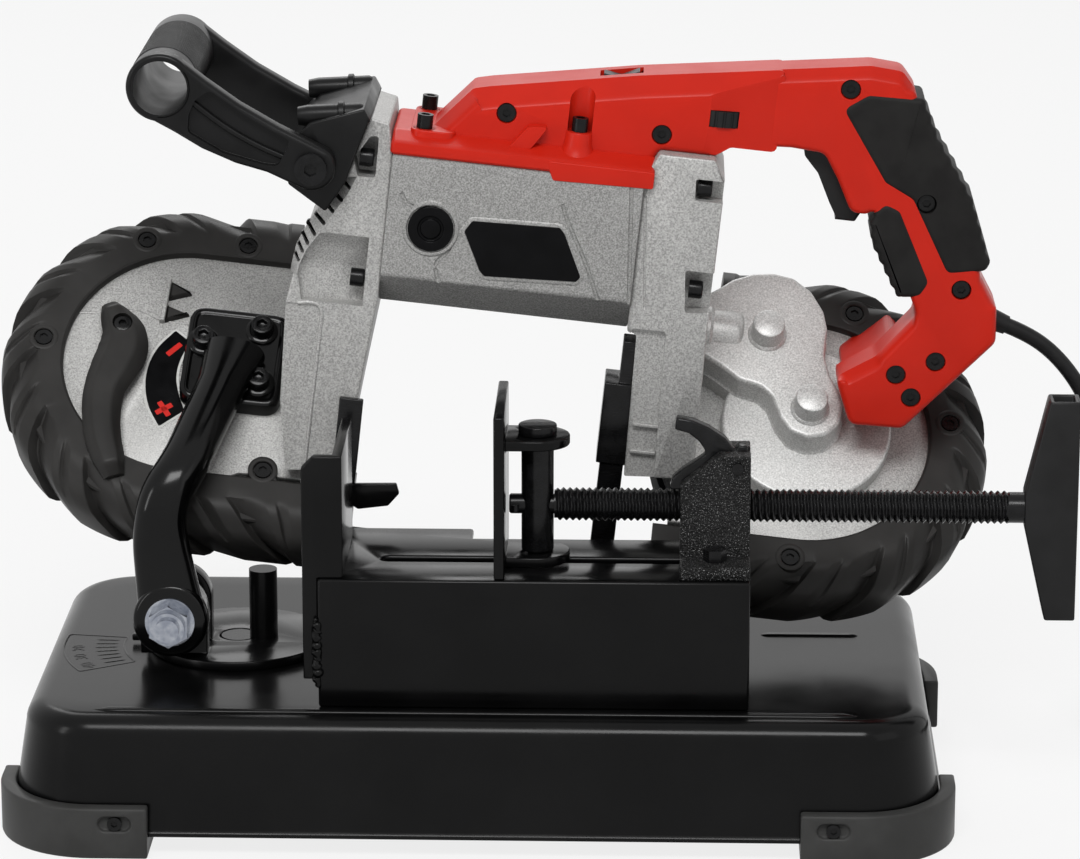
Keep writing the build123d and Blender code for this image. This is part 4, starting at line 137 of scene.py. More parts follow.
class Graph:
    """Node tree of one material, with short calls for the nodes that the finishes share."""

    def __init__(self, name: str) -> None:
        """Start a material with a plain surface shader.

        Args:
            name: Name of the material.
        """
        self.material = bpy.data.materials.new(name)
        self.material.use_nodes = True
        self.tree = self.material.node_tree
        self.shader = self.tree.nodes["Principled BSDF"]
        self.coords = self.tree.nodes.new("ShaderNodeTexCoord").outputs["Object"]

    def fill(self, node: bpy.types.Node, **inputs: object) -> bpy.types.Node:
        """Fill a node's inputs.

        Args:
            node: The node.
            **inputs: Values or sockets by input name, with underscores for spaces.

        Returns:
            The same node.
        """
        for name, value in inputs.items():
            self.set(node.inputs[name.replace("_", " ")], value)
        return node

    def node(self, kind: str, **inputs: object) -> bpy.types.Node:
        """Add a node of Blender's named type and fill its inputs."""
        return self.fill(self.tree.nodes.new(kind), **inputs)

    def set(self, socket: Socket, value: object) -> None:
        """Link a socket to an input, or give the input a value.

        Args:
            socket: Input to fill.
            value: Value of the input, or the socket to link it to.
        """
        if isinstance(value, Socket):
            self.tree.links.new(value, socket)
        else:
            socket.default_value = value

    def noise(self, grain: float, detail: float = 2.0, stretch: Point = (1.0, 1.0, 1.0)) -> Socket:
        """Noise over the piece's own coordinates.

        Args:
            grain: Size of the pattern in millimetres.
            detail: Octaves of the noise.
            stretch: Factors along X, Y and Z, for brushed looks.

        Returns:
            Socket with values about one half.
        """
        place = self.node("ShaderNodeMapping", Vector=self.coords, Scale=stretch)
        return self.node("ShaderNodeTexNoise", Vector=place.outputs[0], Scale=1.0 / (grain * MM),
                         Detail=detail).outputs["Fac"]

    def cells(self, grain: float) -> Socket:
        """Distance pattern of scattered cells of the given size in millimetres."""
        cells = self.node("ShaderNodeTexVoronoi", Vector=self.coords, Scale=1.0 / (grain * MM))
        return cells.outputs["Distance"]

    def ramp(self, value: Socket, low: float, high: float, first: float = 0.0, last: float = 1.0) -> Socket:
        """Map the range from low to high onto that from first to last, held at its ends."""
        return self.node("ShaderNodeMapRange", Value=value, From_Min=low, From_Max=high, To_Min=first,
                         To_Max=last).outputs[0]

    def blend(self, share: Socket, first: object, second: object) -> Socket:
        """Mix two colours by a share from 0 to 1.

        Args:
            share: Socket with the share of the second colour.
            first: Colour or socket.
            second: Colour or socket.

        Returns:
            Socket of the mixed colour.
        """
        made = self.tree.nodes.new("ShaderNodeMix")
        made.data_type = "RGBA"
        for socket, value in zip((made.inputs[0], made.inputs[6], made.inputs[7]), (share, first, second)):
            self.set(socket, (*value, 1.0) if isinstance(value, tuple) else value)
        return made.outputs[2]

    def bump(self, height: Socket, depth: float) -> None:
        """Raise the surface by a height pattern, over what raises it already.

        Args:
            height: Pattern from 0 to 1.
            depth: Height of the pattern in millimetres.
        """
        made = self.node("ShaderNodeBump", Height=height, Strength=1.0, Distance=depth * MM)
        before = self.shader.inputs["Normal"]
        if before.is_linked:
            self.set(made.inputs["Normal"], before.links[0].from_socket)
        self.set(before, made.outputs[0])


@dataclass(frozen=True)
class Finish:
    """A finish with two close colours mottled together and a grained surface.

    The grain and the mottle are sizes in millimetres, and the relief is the grain's height.
    """

    colour: Colour
    second: Colour
    roughness: float
    metallic: float
    specular: float
    grain: float
    relief: float
    mottle: float = 14.0

    def paint(self, graph: Graph, tone: Socket, rough: Socket) -> None:
        """Give a material's shader its colour, its roughness and the finish's plain values."""
        graph.fill(graph.shader, Base_Color=tone, Roughness=rough, Metallic=self.metallic,
                   Specular_IOR_Level=self.specular)

    def make(self, title: str) -> bpy.types.Material:
        """Make the material: mottled colour, uneven roughness and a fine grain.

        Args:
            title: Name of the material.

        Returns:
            The new material.
        """
        graph = Graph(title)
        cloud = graph.noise(self.mottle, 3.0)
        tone = graph.blend(graph.ramp(cloud, 0.35, 0.65), self.colour, self.second)
        self.paint(graph, tone, graph.ramp(cloud, 0.3, 0.7, self.roughness - 0.05, self.roughness + 0.06))
        graph.bump(graph.noise(self.grain), self.relief)
        return graph.material


@dataclass(frozen=True)
class CastAlloy(Finish):
    """Blasted die casting: bright speckle on a dull grey."""

    def make(self, title: str) -> bpy.types.Material:
        """Make the material: two sizes of speckle over a slow cloud.

        Args:
            title: Name of the material.

        Returns:
            The new material.
        """
        graph = Graph(title)
        speckle = graph.noise(self.grain, 1.0)
        coarse = graph.noise(self.grain * 2.6, 1.0)
        cloud = graph.noise(self.mottle)
        dull = tuple(0.9 * part for part in self.colour)
        tone = graph.blend(graph.ramp(speckle, 0.3, 0.72), self.colour, self.second)
        tone = graph.blend(graph.ramp(coarse, 0.58, 0.75, 0.0, 0.30), tone, dull)
        tone = graph.blend(graph.ramp(cloud, 0.4, 0.7, 0.0, 0.14), tone, self.second)
        self.paint(graph, tone, graph.ramp(speckle, 0.3, 0.7, self.roughness - 0.08, self.roughness + 0.1))
        graph.bump(speckle, self.relief)
        return graph.material


@dataclass(frozen=True)
class Hammered(Finish):
    """Hammered enamel: small shiny dimples."""

    def make(self, title: str) -> bpy.types.Material:
        """Make the material: scattered cells as dimples over black enamel, with painted highlights as bright
        specks.

        Args:
            title: Name of the material.

        Returns:
            The new material.
        """
        graph = Graph(title)
        dimple = graph.cells(self.grain)
        painted_glint = graph.noise(self.grain * 0.45, 1.0)
        # Bright specks of the second colour are painted highlights, standing in for glints of light.
        tone = graph.blend(graph.ramp(painted_glint, 0.64, 0.70), self.colour, self.second)
        self.paint(graph, tone, graph.ramp(dimple, 0.1, 0.6, self.roughness, 0.5))
        graph.bump(dimple, self.relief)
        graph.bump(painted_glint, self.relief * 0.6)
        return graph.material


@dataclass(frozen=True)
class Steel(Finish):
    """Drawn or plated steel with fine lines along X."""

    def make(self, title: str) -> bpy.types.Material:
        """Make the material: stretched noise as drawing marks, clouded tint and roughness.

        Args:
            title: Name of the material.

        Returns:
            The new material.
        """
        graph = Graph(title)
        lines = graph.noise(self.grain, 2.0, (0.06, 1.0, 1.0))
        cloud = graph.noise(self.mottle, 3.0)
        tone = graph.blend(graph.ramp(cloud, 0.35, 0.65), self.colour, self.second)
        self.paint(graph, tone, graph.ramp(lines, 0.3, 0.7, self.roughness - 0.06, self.roughness + 0.08))
        graph.bump(lines, self.relief)
        return graph.material


class Finishes(Enum):
    """Finishes of the saw, most of them under the names of the record's material slots."""

    black_enamel = Finish((0.002, 0.002, 0.0021), (0.0034, 0.0034, 0.0035), 0.2, 0.0, 0.13, 1.3, 0.006, 40.0)
    gloss_enamel = Finish(
        (0.0012, 0.0012, 0.0013), (0.0022, 0.0022, 0.0023), 0.15, 0.0, 0.19, 2.6, 0.012, 30.0)
    # Its second, light grey colour is that of the painted glints.
    hammered_black = Hammered((0.0016, 0.0016, 0.0016), (0.28, 0.28, 0.28), 0.14, 0.0, 0.17, 1.2, 0.60)
    foot_rubber = Finish((0.036, 0.036, 0.035), (0.046, 0.046, 0.045), 0.46, 0.0, 0.14, 0.6, 0.03, 18.0)
    zinc = Steel((0.40, 0.42, 0.46), (0.24, 0.26, 0.31), 0.16, 0.9, 0.5, 0.4, 0.01, 5.0)
    black_steel = Steel((0.0036, 0.0036, 0.0038), (0.007, 0.007, 0.0075), 0.22, 0.0, 0.18, 0.3, 0.01, 6.0)
    cast_alloy = CastAlloy((0.25, 0.248, 0.242), (0.51, 0.507, 0.495), 0.44, 0.30, 0.3, 0.80, 0.06, 30.0)
    # Darker copy of cast_alloy for the motor casting: its lower tone is painted shade.
    motor_alloy = CastAlloy((0.18, 0.179, 0.174), (0.41, 0.407, 0.398), 0.44, 0.30, 0.3, 0.80, 0.06, 30.0)
    # Brighter copy of cast_alloy for the gear-case cover: its higher tone is painted light.
    case_alloy = CastAlloy((0.37, 0.368, 0.362), (0.66, 0.657, 0.645), 0.42, 0.30, 0.3, 0.80, 0.06, 30.0)
    guard_rubber = Finish((0.019, 0.0182, 0.0175), (0.026, 0.025, 0.024), 0.42, 0.0, 0.14, 0.6, 0.02, 22.0)
    red_plastic = Finish((0.54, 0.017, 0.007), (0.50, 0.015, 0.006), 0.36, 0.0, 0.16, 0.4, 0.012, 30.0)
    grip_rubber = Finish((0.011, 0.0105, 0.0103), (0.016, 0.0155, 0.015), 0.55, 0.0, 0.10, 0.35, 0.04, 12.0)
    dark_plastic = Finish((0.010, 0.010, 0.0102), (0.014, 0.014, 0.0143), 0.38, 0.0, 0.16, 0.5, 0.02, 16.0)
    bail_plastic = Finish((0.0042, 0.0042, 0.0043), (0.007, 0.007, 0.0072), 0.33, 0.0, 0.15, 0.5, 0.02, 16.0)
    bright_steel = Steel((0.48, 0.48, 0.47), (0.38, 0.38, 0.375), 0.28, 0.95, 0.5, 0.25, 0.008, 8.0)
    wheel_alloy = CastAlloy((0.22, 0.22, 0.22), (0.46, 0.46, 0.46), 0.42, 0.4, 0.4, 1.1, 0.04, 20.0)
    tyre_rubber = Finish((0.009, 0.009, 0.009), (0.014, 0.014, 0.014), 0.7, 0.0, 0.12, 0.5, 0.03, 9.0)
    lead_sheath = Finish((0.006, 0.006, 0.0062), (0.010, 0.010, 0.0103), 0.38, 0.0, 0.16, 0.8, 0.02, 10.0)
    badge_black = Finish((0.003, 0.003, 0.0033), (0.0045, 0.0045, 0.005), 0.22, 0.0, 0.06, 0.9, 0.004, 12.0)
    motor_iron = Steel((0.20, 0.18, 0.17), (0.30, 0.26, 0.22), 0.5, 0.7, 0.5, 0.5, 0.02, 5.0)
    mark_red = Finish((0.66, 0.018, 0.012), (0.60, 0.016, 0.010), 0.4, 0.0, 0.2, 0.5, 0.004, 4.0)
    mark_white = Finish((0.66, 0.66, 0.64), (0.58, 0.58, 0.56), 0.5, 0.0, 0.2, 0.5, 0.004, 3.0)

    def material(self) -> bpy.types.Material:
        """Return the finish's material, made once, under a name that no packed material has."""
        title = self.name + "_finish"
        return bpy.data.materials.get(title) or self.value.make(title)


class Skin:
    """Grid surfaces that together make one piece, gathered in the solids' frame."""

    def __init__(self) -> None:
        """Start with no surface."""
        self.points: list[Array] = []
        self.faces: list[Sequence[int]] = []
        self.count = 0

    def add(self, axes: Axes, *grids: Array, cap: bool = True, ring: bool = True) -> Skin:
        """Add surfaces given on grids of two parameters.

        Args:
            axes: Axes that the grids are drawn in.
            *grids: Points of shape (rows, columns, 3).
            cap: Whether the first and last row are closed with a flat face.
            ring: Whether each row is a closed ring.

        Returns:
            This skin, for more surfaces.
        """
        for grid in grids:
            rows, columns = grid.shape[:2]
            index = np.arange(rows * columns).reshape(rows, columns) + self.count
            across = np.concatenate([index, index[:, :1]], 1) if ring else index
            quads = np.stack([across[:-1, :-1], across[:-1, 1:], across[1:, 1:], across[1:, :-1]], -1)
            self.faces += quads.reshape(-1, 4).tolist()
            if cap:
                self.faces += [index[0, ::-1].tolist(), index[-1].tolist()]
            self.points.append(axes.place(grid).reshape(-1, 3))
            self.count += rows * columns
        return self

    def mesh(self, name: str) -> bpy.types.Mesh:
        """Make a mesh in metres with its doubles merged and its faces outward.

        Args:
            name: Name of the mesh.

        Returns:
            The new mesh.
        """
        made = bpy.data.meshes.new(name)
        made.from_pydata((np.concatenate(self.points) * MM).tolist(), [], self.faces)
        work = bmesh.new()
        work.from_mesh(made)
        bmesh.ops.remove_doubles(work, verts=work.verts, dist=1e-6)
        bmesh.ops.dissolve_degenerate(work, edges=work.edges, dist=1e-7)
        bmesh.ops.recalc_face_normals(work, faces=work.faces)
        work.to_mesh(made)
        work.free()
        return made


def linked(name: str, data: bpy.types.ID) -> bpy.types.Object:
    """Make an object and link it to the scene.

    Args:
        name: Name of the object.
        data: Its mesh, lamp or camera.

    Returns:
        The new object.
    """
    made = bpy.data.objects.new(name, data)
    bpy.context.scene.collection.objects.link(made)
    return made


def shade(mesh: bpy.types.Mesh, angle: float) -> None:
    """Shade a mesh smooth up to an angle in degrees."""
    mesh.polygons.foreach_set("use_smooth", np.ones(len(mesh.polygons), bool))
    mesh.set_sharp_from_angle(angle=math.radians(angle))


def unit(vectors: Array) -> Array:
    """Scale vectors along the last axis to length one."""
    return vectors / np.maximum(np.linalg.norm(vectors, axis=-1, keepdims=True), 1e-12)


def step(value: Array, low: float, high: float) -> Array:
    """Smooth step from 0 at low to 1 at high."""
    part = np.clip((value - low) / (high - low), 0.0, 1.0)
    return part * part * (3 - 2 * part)


def round_angles(steps: int) -> Array:
    """Angles of even steps round a whole turn."""
    return np.linspace(0.0, 2 * math.pi, steps, endpoint=False)


def around(radius: float | Array, angle: Array, depth: float | Array, centre: Point = CENTRE) -> Array:
    """Points at radii, angles and depths about the out axis through a centre, of shape (..., 3)."""
    parts = centre[0] + radius * np.cos(angle), centre[1] + radius * np.sin(angle), centre[2] + depth
    return np.stack(np.broadcast_arrays(*parts), -1)


def rim(radius: float, steps: int) -> tuple[Array, Array]:
    """Inset and rise of a quarter-round rim, from its side to its top."""
    turn = np.linspace(0.0, math.pi / 2, steps + 1)
    return radius * (1 - np.cos(turn)), radius * np.sin(turn)


def anticlockwise(line: Array) -> Array:
    """Return a closed outline's points in anticlockwise order."""
    after = np.roll(line, -1, 0)
    return line[::-1] if np.sum(line[:, 0] * after[:, 1] - after[:, 0] * line[:, 1]) < 0 else line


def rounded(corners: Sequence[Pair], radius: float, spacing: float = 1.6) -> Array:
    """Round the corners of a polygon and space points evenly along it.

    Each corner becomes an arc that touches both sides, cut short where a side is too short, and the
    closed line is then walked at even steps.

    Args:
        corners: Corners in order, either way round.
        radius: Radius of the corners.
        spacing: Distance between points.

    Returns:
        Points of shape (count, 2), anticlockwise.
    """
    points = anticlockwise(np.array(corners, float))
    back, forth = np.roll(points, 1, 0) - points, np.roll(points, -1, 0) - points
    first, second = unit(back), unit(forth)
    half = 0.5 * np.arccos(np.clip(np.sum(first * second, 1), -0.9999, 0.9999))
    room = 0.48 * np.minimum(np.linalg.norm(back, axis=1), np.linalg.norm(forth, axis=1))
    reach = np.minimum(radius / np.tan(half), room)[:, None, None]
    share = np.linspace(0.0, 1.0, 9)[None, :, None]
    start, stop = points[:, None] + first[:, None] * reach, points[:, None] + second[:, None] * reach
    line = (1 - share) ** 2 * start + 2 * share * (1 - share) * points[:, None] + share ** 2 * stop
    return walked(line.reshape(-1, 2), spacing)


def walked(line: Array, spacing: float, closed: bool = True) -> Array:
    """Space points evenly along a line.

    Args:
        line: Points of shape (count, dimensions).
        spacing: Distance between points.
        closed: Whether the line runs back to its start.

    Returns:
        Evenly spaced points, without a repeated last point where closed.
    """
    whole = np.concatenate([line, line[:1]]) if closed else line
    run = np.concatenate([[0.0], np.cumsum(np.linalg.norm(np.diff(whole, axis=0), axis=1))])
    count = max(int(round(run[-1] / spacing)), 8)
    places = np.linspace(0.0, run[-1], count + 1)[: count if closed else None]
    return np.stack([np.interp(places, run, whole[:, axis]) for axis in range(whole.shape[1])], 1)


def outward(line: Array) -> Array:
    """Return the outward unit normals of an anticlockwise closed outline."""
    run = np.roll(line, -1, 0) - np.roll(line, 1, 0)
    return unit(np.stack([run[:, 1], -run[:, 0]], 1))


def lifted(line: Array, depth: float | Array) -> Array:
    """Give the points of a flat line a depth, the same for all or one for each."""
    return np.concatenate([line, np.broadcast_to(np.reshape(depth, (-1, 1)), (len(line), 1))], 1)


def carried(line: Array, depths: Sequence[float], insets: Array | Sequence[float] | float) -> Array:
    """Carry an outline through depths, drawn in by an inset at each depth.

    Args:
        line: Outline of shape (count, 2).
        depths: Depth of each row.
        insets: Inset of all rows, of each row, or of each row and point.

    Returns:
        Grid of shape (rows, count, 3).
    """
    shape = (len(depths), len(line))
    inset = np.broadcast_to(insets if np.ndim(insets) == 2 else np.reshape(insets, (-1, 1)), shape)
    flat = line[None] - outward(line)[None] * inset[..., None]
    high = np.broadcast_to(np.asarray(depths, float)[:, None, None], (*shape, 1))
    return np.concatenate([flat, high], 2)


def slab(line: Array, low: float, high: float, radius: float, steps: int = 4) -> Array:
    """Plate with the given outline and quarter-round rims on both faces.

    Args:
        line: Outline of shape (count, 2).
        low: Depth of the back face.
        high: Depth of the front face.
        radius: Radius of the rims.
        steps: Faces across each rim.

    Returns:
        Grid of shape (rows, count, 3).
    """
    inset, rise = rim(radius, steps)
    depths = np.concatenate([(low + radius - rise)[::-1], high - radius + rise])
    return carried(line, depths, np.concatenate([inset[::-1], inset]))


def turned(profile: Sequence[Pair], centre: Point, steps: int) -> Array:
    """Surface of revolution about the out axis through a centre, from pairs of depth and radius."""
    depth, radius = np.array(profile, float).T[..., None]
    return around(radius, round_angles(steps), depth, centre)


def rod(path: Array, wide: float | Array, deep: float | Array, side: Point, power: float = 2.0,
        steps: int = 36) -> Array:
    """Bar with a rounded section carried along a path.

    Args:
        path: Points of shape (count, 3).
        wide: Half width, the same all along or one for each point.
        deep: Half depth, likewise.
        side: Direction that the width keeps to.
        power: 2 gives an ellipse and more a squarer section.
        steps: Faces round the section.

    Returns:
        Grid of shape (count, steps, 3).
    """
    way = unit(np.gradient(path, axis=0))
    across = np.asarray(side, float)
    across = unit(across - np.sum(way * across, 1, keepdims=True) * way)
    other = np.cross(way, across)
    angle = round_angles(steps)
    reach_x = np.sign(np.cos(angle)) * np.abs(np.cos(angle)) ** (2 / power)
    reach_y = np.sign(np.sin(angle)) * np.abs(np.sin(angle)) ** (2 / power)
    wide, deep = (np.broadcast_to(size, len(path))[:, None] for size in (wide, deep))
    return (path[:, None] + across[:, None] * (wide * reach_x)[..., None]
            + other[:, None] * (deep * reach_y)[..., None])


def smooth(points: Sequence[Sequence[float]], spacing: float) -> Array:
    """Smooth open line near the given points, by three rounds of corner cutting, with its ends kept.

    Args:
        points: Points that the line passes near, in two or three dimensions.
        spacing: Distance between the line's points.

    Returns:
        Evenly spaced points.
    """
    line = np.array(points, float)
    for _ in range(3):
        cut = np.stack([0.75 * line[:-1] + 0.25 * line[1:], 0.25 * line[:-1] + 0.75 * line[1:]], 1)
        line = np.concatenate([line[:1], cut.reshape(-1, line.shape[1]), line[-1:]])
    return walked(line, spacing, closed=False)


def cap_screw(height: float, centre: Point, radius: float = 4.6, steps: int = 48) -> Array:
    """Cap screw: a turned head whose top sinks into a six-sided socket.

    The socket's rows follow the sides of a hexagon, its distance divided by the cosine of the angle from the
    middle of each side.

    Args:
        height: Height of the head.
        centre: Local place of the head's seat.
        radius: Radius of the head.
        steps: Faces round the head.

    Returns:
        Grid of shape (rows, steps, 3).
    """
    flats = 0.42
    angle = round_angles(steps)[None]
    sides = 1.0 / np.cos(np.mod(angle, math.pi / 3) - math.pi / 6)
    head = np.array([(0.0, 0.0), (0.0, 1.0), (0.8, 1.0), (0.94, 0.96), (1.0, 0.86)])
    sunk = np.array([(1.0, flats), (0.35, flats * 0.97), (0.35, 0.0)])
    reach = radius * np.concatenate([np.repeat(head[:, 1:], steps, 1), sunk[:, 1:] * sides])
    return around(reach, angle, height * np.concatenate([head, sunk])[:, :1], centre)


class Workshop:
    """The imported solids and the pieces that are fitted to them."""

    def __init__(self) -> None:
        """Load the solids and keep their box."""
        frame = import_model()
        self.solid_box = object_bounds()
        self.nodes: dict[str, bpy.types.Object] = frame["nodes"]
        self.slots = {row["node"]: row["material_slot"] for row in frame["record"]["subparts"]}

    def fit(self, shape: Skin | bpy.types.Mesh, name: str, finish: Finishes, body: str = "head",
            replaces: Sequence[str] = (), angle: float = 32.0) -> bpy.types.Object:
        """Put a shape into the scene as a piece of the saw.

        Args:
            shape: Surfaces, or a mesh in metres, in place.
            name: Name of the piece.
            finish: Its finish.
            body: Body that it moves with.
            replaces: Solids that it stands for.
            angle: Edges flatter than this many degrees are shaded smooth.

        Returns:
            The new object.
        """
        mesh = shape.mesh(name) if isinstance(shape, Skin) else shape
        shade(mesh, angle)
        piece = linked(name, mesh)
        mesh.materials.clear()
        mesh.materials.append(finish.material())
        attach(piece, body)
        if replaces:
            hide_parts(*replaces)
        LOG.info("%s: %d faces on %s", name, len(mesh.polygons), body)
        return piece

    def soften(self, node: str, finish: Finishes, width: float, cutters: Sequence[Array] = (),
               crease: float = 40.0) -> bpy.types.Object:
        """Stand a copy with rounded edges in for a solid.

        Args:
            node: Name of the solid.
            finish: Finish of the copy.
            width: Width of the rounding in millimetres.
            cutters: Grids of closed surfaces that are taken out of the copy.
            crease: Edges sharper than this many degrees stay sharp in the shading.

        Returns:
            The new object.
        """
        flat, sharp = math.radians(0.8), math.radians(30.0)
        work = bmesh.new()
        work.from_mesh(self.nodes[node].data)
        bmesh.ops.remove_doubles(work, verts=work.verts, dist=2e-6)
        bmesh.ops.dissolve_limit(work, angle_limit=flat, verts=work.verts, edges=work.edges)
        edges = [edge for edge in work.edges if edge.is_manifold and edge.calc_face_angle(0.0) > sharp]
        bmesh.ops.bevel(work, geom=edges, offset=width * MM, offset_type="OFFSET", segments=2, profile=0.5,
                        affect="EDGES", clamp_overlap=False, miter_outer="SHARP")
        mesh = bpy.data.meshes.new(node + "_soft")
        work.to_mesh(mesh)
        work.free()
        body = self.nodes[node]["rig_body"]
        return self.fit(self.cut(mesh, cutters), node + "_soft", finish, body, [node], crease)

    def cut(self, mesh: bpy.types.Mesh, cutters: Sequence[Array]) -> bpy.types.Mesh:
        """Take closed surfaces out of a closed mesh, one after another.

        Args:
            mesh: Mesh to cut.
            cutters: Grids of closed surfaces, in millimetres in the solids' frame.

        Returns:
            The cut mesh.
        """
        if not cutters:
            return mesh
        body = linked("to_cut", mesh)
        knives = [linked("knife", Skin().add(STAND_TOP, grid).mesh("knife")) for grid in cutters]
        for knife in knives:
            change = body.modifiers.new("cut", "BOOLEAN")
            change.operation = "DIFFERENCE"
            change.solver = "MANIFOLD"
            change.object = knife
        bpy.context.view_layer.update()
        made = bpy.data.meshes.new_from_object(body.evaluated_get(bpy.context.evaluated_depsgraph_get()))
        for piece in (body, *knives):
            bpy.data.objects.remove(piece)
        return made

    def join(self, mesh: bpy.types.Mesh, other: bpy.types.Mesh) -> None:
        """Add another mesh's faces to a mesh.

        Args:
            mesh: Mesh that is kept.
            other: Mesh whose faces it takes, removed afterwards.
        """
        work = bmesh.new()
        work.from_mesh(mesh)
        work.from_mesh(other)
        work.to_mesh(mesh)
        work.free()
        bpy.data.meshes.remove(other)

    def dress(self, node: str, finish: Finishes) -> None:
        """Give a solid that stays on show its finish.

        Args:
            node: Name of the solid.
            finish: Its finish.
        """
        materials = self.nodes[node].data.materials
        materials.clear()
        materials.append(finish.material())
        LOG.info("%s: its solid, in %s", node, finish.name)


@dataclass
class WheelGuard:
    """Wheel guard with a chunky slanted tread, drawn in the wheels' plane.

    The groove and the block are sections of the rim, as pairs of radius and depth.
    """

    node: str
    centre_x: float
    side: float
    screws: Line
    top_leg: float = 49.0
    low_leg: float = 74.0
    rim: float = 90.0
    face: float = 25.0
    pitch: float = 27.0
    shift: float = 15.0
    slant: float = 0.85
    fade: float = 45.0
    tread_start: int = 6
    lobe: Point = (285.0, 43.0, 0.0)
    lobe_radius: float = 36.4
    groove: Line = (
        (64.0, 20.0), (64.0, 23.6), (64.4, 24.5), (65.4, 25.0), (70.0, 25.0), (75.6, 25.0), (77.0, 24.6),
        (78.6, 23.0), (82.0, 20.8), (85.2, 18.2), (88.0, 15.2), (90.4, 12.2), (91.6, 8.6), (92.0, 4.0),
        (92.0, -3.0), (91.6, -7.6), (90.6, -9.3), (88.0, -9.5), (86.7, -9.5), (86.7, 4.0), (86.7, 19.0),
        (86.0, 20.0), (75.0, 20.0))
    block: Line = (
        (64.0, 20.0), (64.0, 23.6), (64.4, 24.5), (65.4, 25.0), (70.0, 25.0), (75.6, 25.0), (77.4, 25.0),
        (79.6, 25.0), (83.6, 24.2), (87.6, 22.0), (92.0, 18.6), (94.6, 15.2), (95.8, 11.4), (96.2, 7.0),
        (96.2, -2.0), (95.6, -6.6), (93.0, -9.3), (88.0, -9.5), (86.7, -9.5), (86.7, 4.0), (86.7, 19.0),
        (86.0, 20.0), (75.0, 20.0))
    collar: Line = (
        (-5.5, 7.6), (0.0, 7.6), (0.22, 7.1), (0.28, 6.2), (0.2, 5.3), (-0.2, 4.9), (-2.2, 4.9), (-2.2, 0.0),
        (-5.5, 0.0))

    def heights(self, run: Array) -> tuple[Array, Array]:
        """Tread along the rim: gentle slope, flat lug with a wedge-shaped nick, sharp drop and narrow groove.

        Args:
            run: Distances along the rim.

        Returns:
            Heights from 0 in the groove to 1 on a lug, and depths of the nicks from 0 to 1.
        """
        part = np.mod((np.degrees(run / self.rim) + self.shift) / self.pitch, 1.0)
        lug = np.clip(part / 0.40, 0.0, 1.0) * np.clip((0.965 - part) / 0.05, 0.0, 1.0)
        nick = np.clip((part - 0.52) / 0.03, 0.0, 1.0) * np.clip((0.68 - part) / 0.13, 0.0, 1.0)
        return lug, nick

    def surface(self) -> Array:
        """Guard as a profile carried round the rim, each row leaning along the rim towards its outside.

        Each row mixes the groove's and the lug's profile by its own height, and its points lie further along
        the rim the further they are across the tread, so that the lugs' edges run slanted.

        Returns:
            Grid in the wheels' plane.
        """
        arc = math.pi * self.rim
        first, last = -self.top_leg, arc + self.low_leg
        run = np.arange(first, last + 0.01, 0.7)[:, None]
        low, high = np.array(self.groove), np.array(self.block)
        legs = np.linalg.norm(np.diff((low + high) / 2, axis=0), axis=1)
        across = np.concatenate([[0.0], np.cumsum(legs)])
        lean = np.clip(np.minimum(across - across[self.tread_start], across[-1] - across), 0.0, None)
        ends = np.clip((run - first) / self.fade, 0.0, 1.0) * np.clip((last - run) / self.fade, 0.0, 1.0)
        place = run + self.slant * lean[None] * ends
        angle = np.clip(place, 0.0, arc) / self.rim + math.pi / 2
        along = np.clip(-place, 0.0, None) + np.clip(place - arc, 0.0, None)
        inner = np.clip(lean / 3.0, 0.0, 1.0) * np.clip((24.0 - lean) / 14.0, 0.0, 1.0)
        lug, nick = self.heights(run)
        share = lug * (1.0 - 0.45 * nick * inner[None])
        reach = low[None, :, 0] + (high - low)[None, :, 0] * share
        out = low[None, :, 1] + (high - low)[None, :, 1] * share
        x = self.centre_x + self.side * (along + reach * np.cos(angle))
        return np.stack([x, reach * np.sin(angle), out], 2)

    def build(self, shop: Workshop) -> None:
        """Make the guard with collared screw wells and, on the drive side, room for the gear cover.

        Args:
            shop: Workshop with the solids that the pieces stand for.
        """
        seats = [(self.centre_x + x, u, self.face) for x, u in self.screws]
        cut = [WHEELS.place(turned(((-3.0, 5.0), (6.0, 5.0)), seat, 32)) for seat in seats]
        if self.side < 0:
            lobe = ((-40.0, self.lobe_radius), (40.0, self.lobe_radius))
            cut.append(WHEELS.place(turned(lobe, self.lobe, 64)))
        name = self.node + "_tread"
        body = shop.cut(Skin().add(WHEELS, self.surface()).mesh(name), cut)
        collars = Skin().add(WHEELS, *(turned(self.collar, seat, 36) for seat in seats), cap=False)
        shop.join(body, collars.mesh("collars"))
        shop.fit(body, name, Finishes.guard_rubber, "head", [self.node], 24.0)


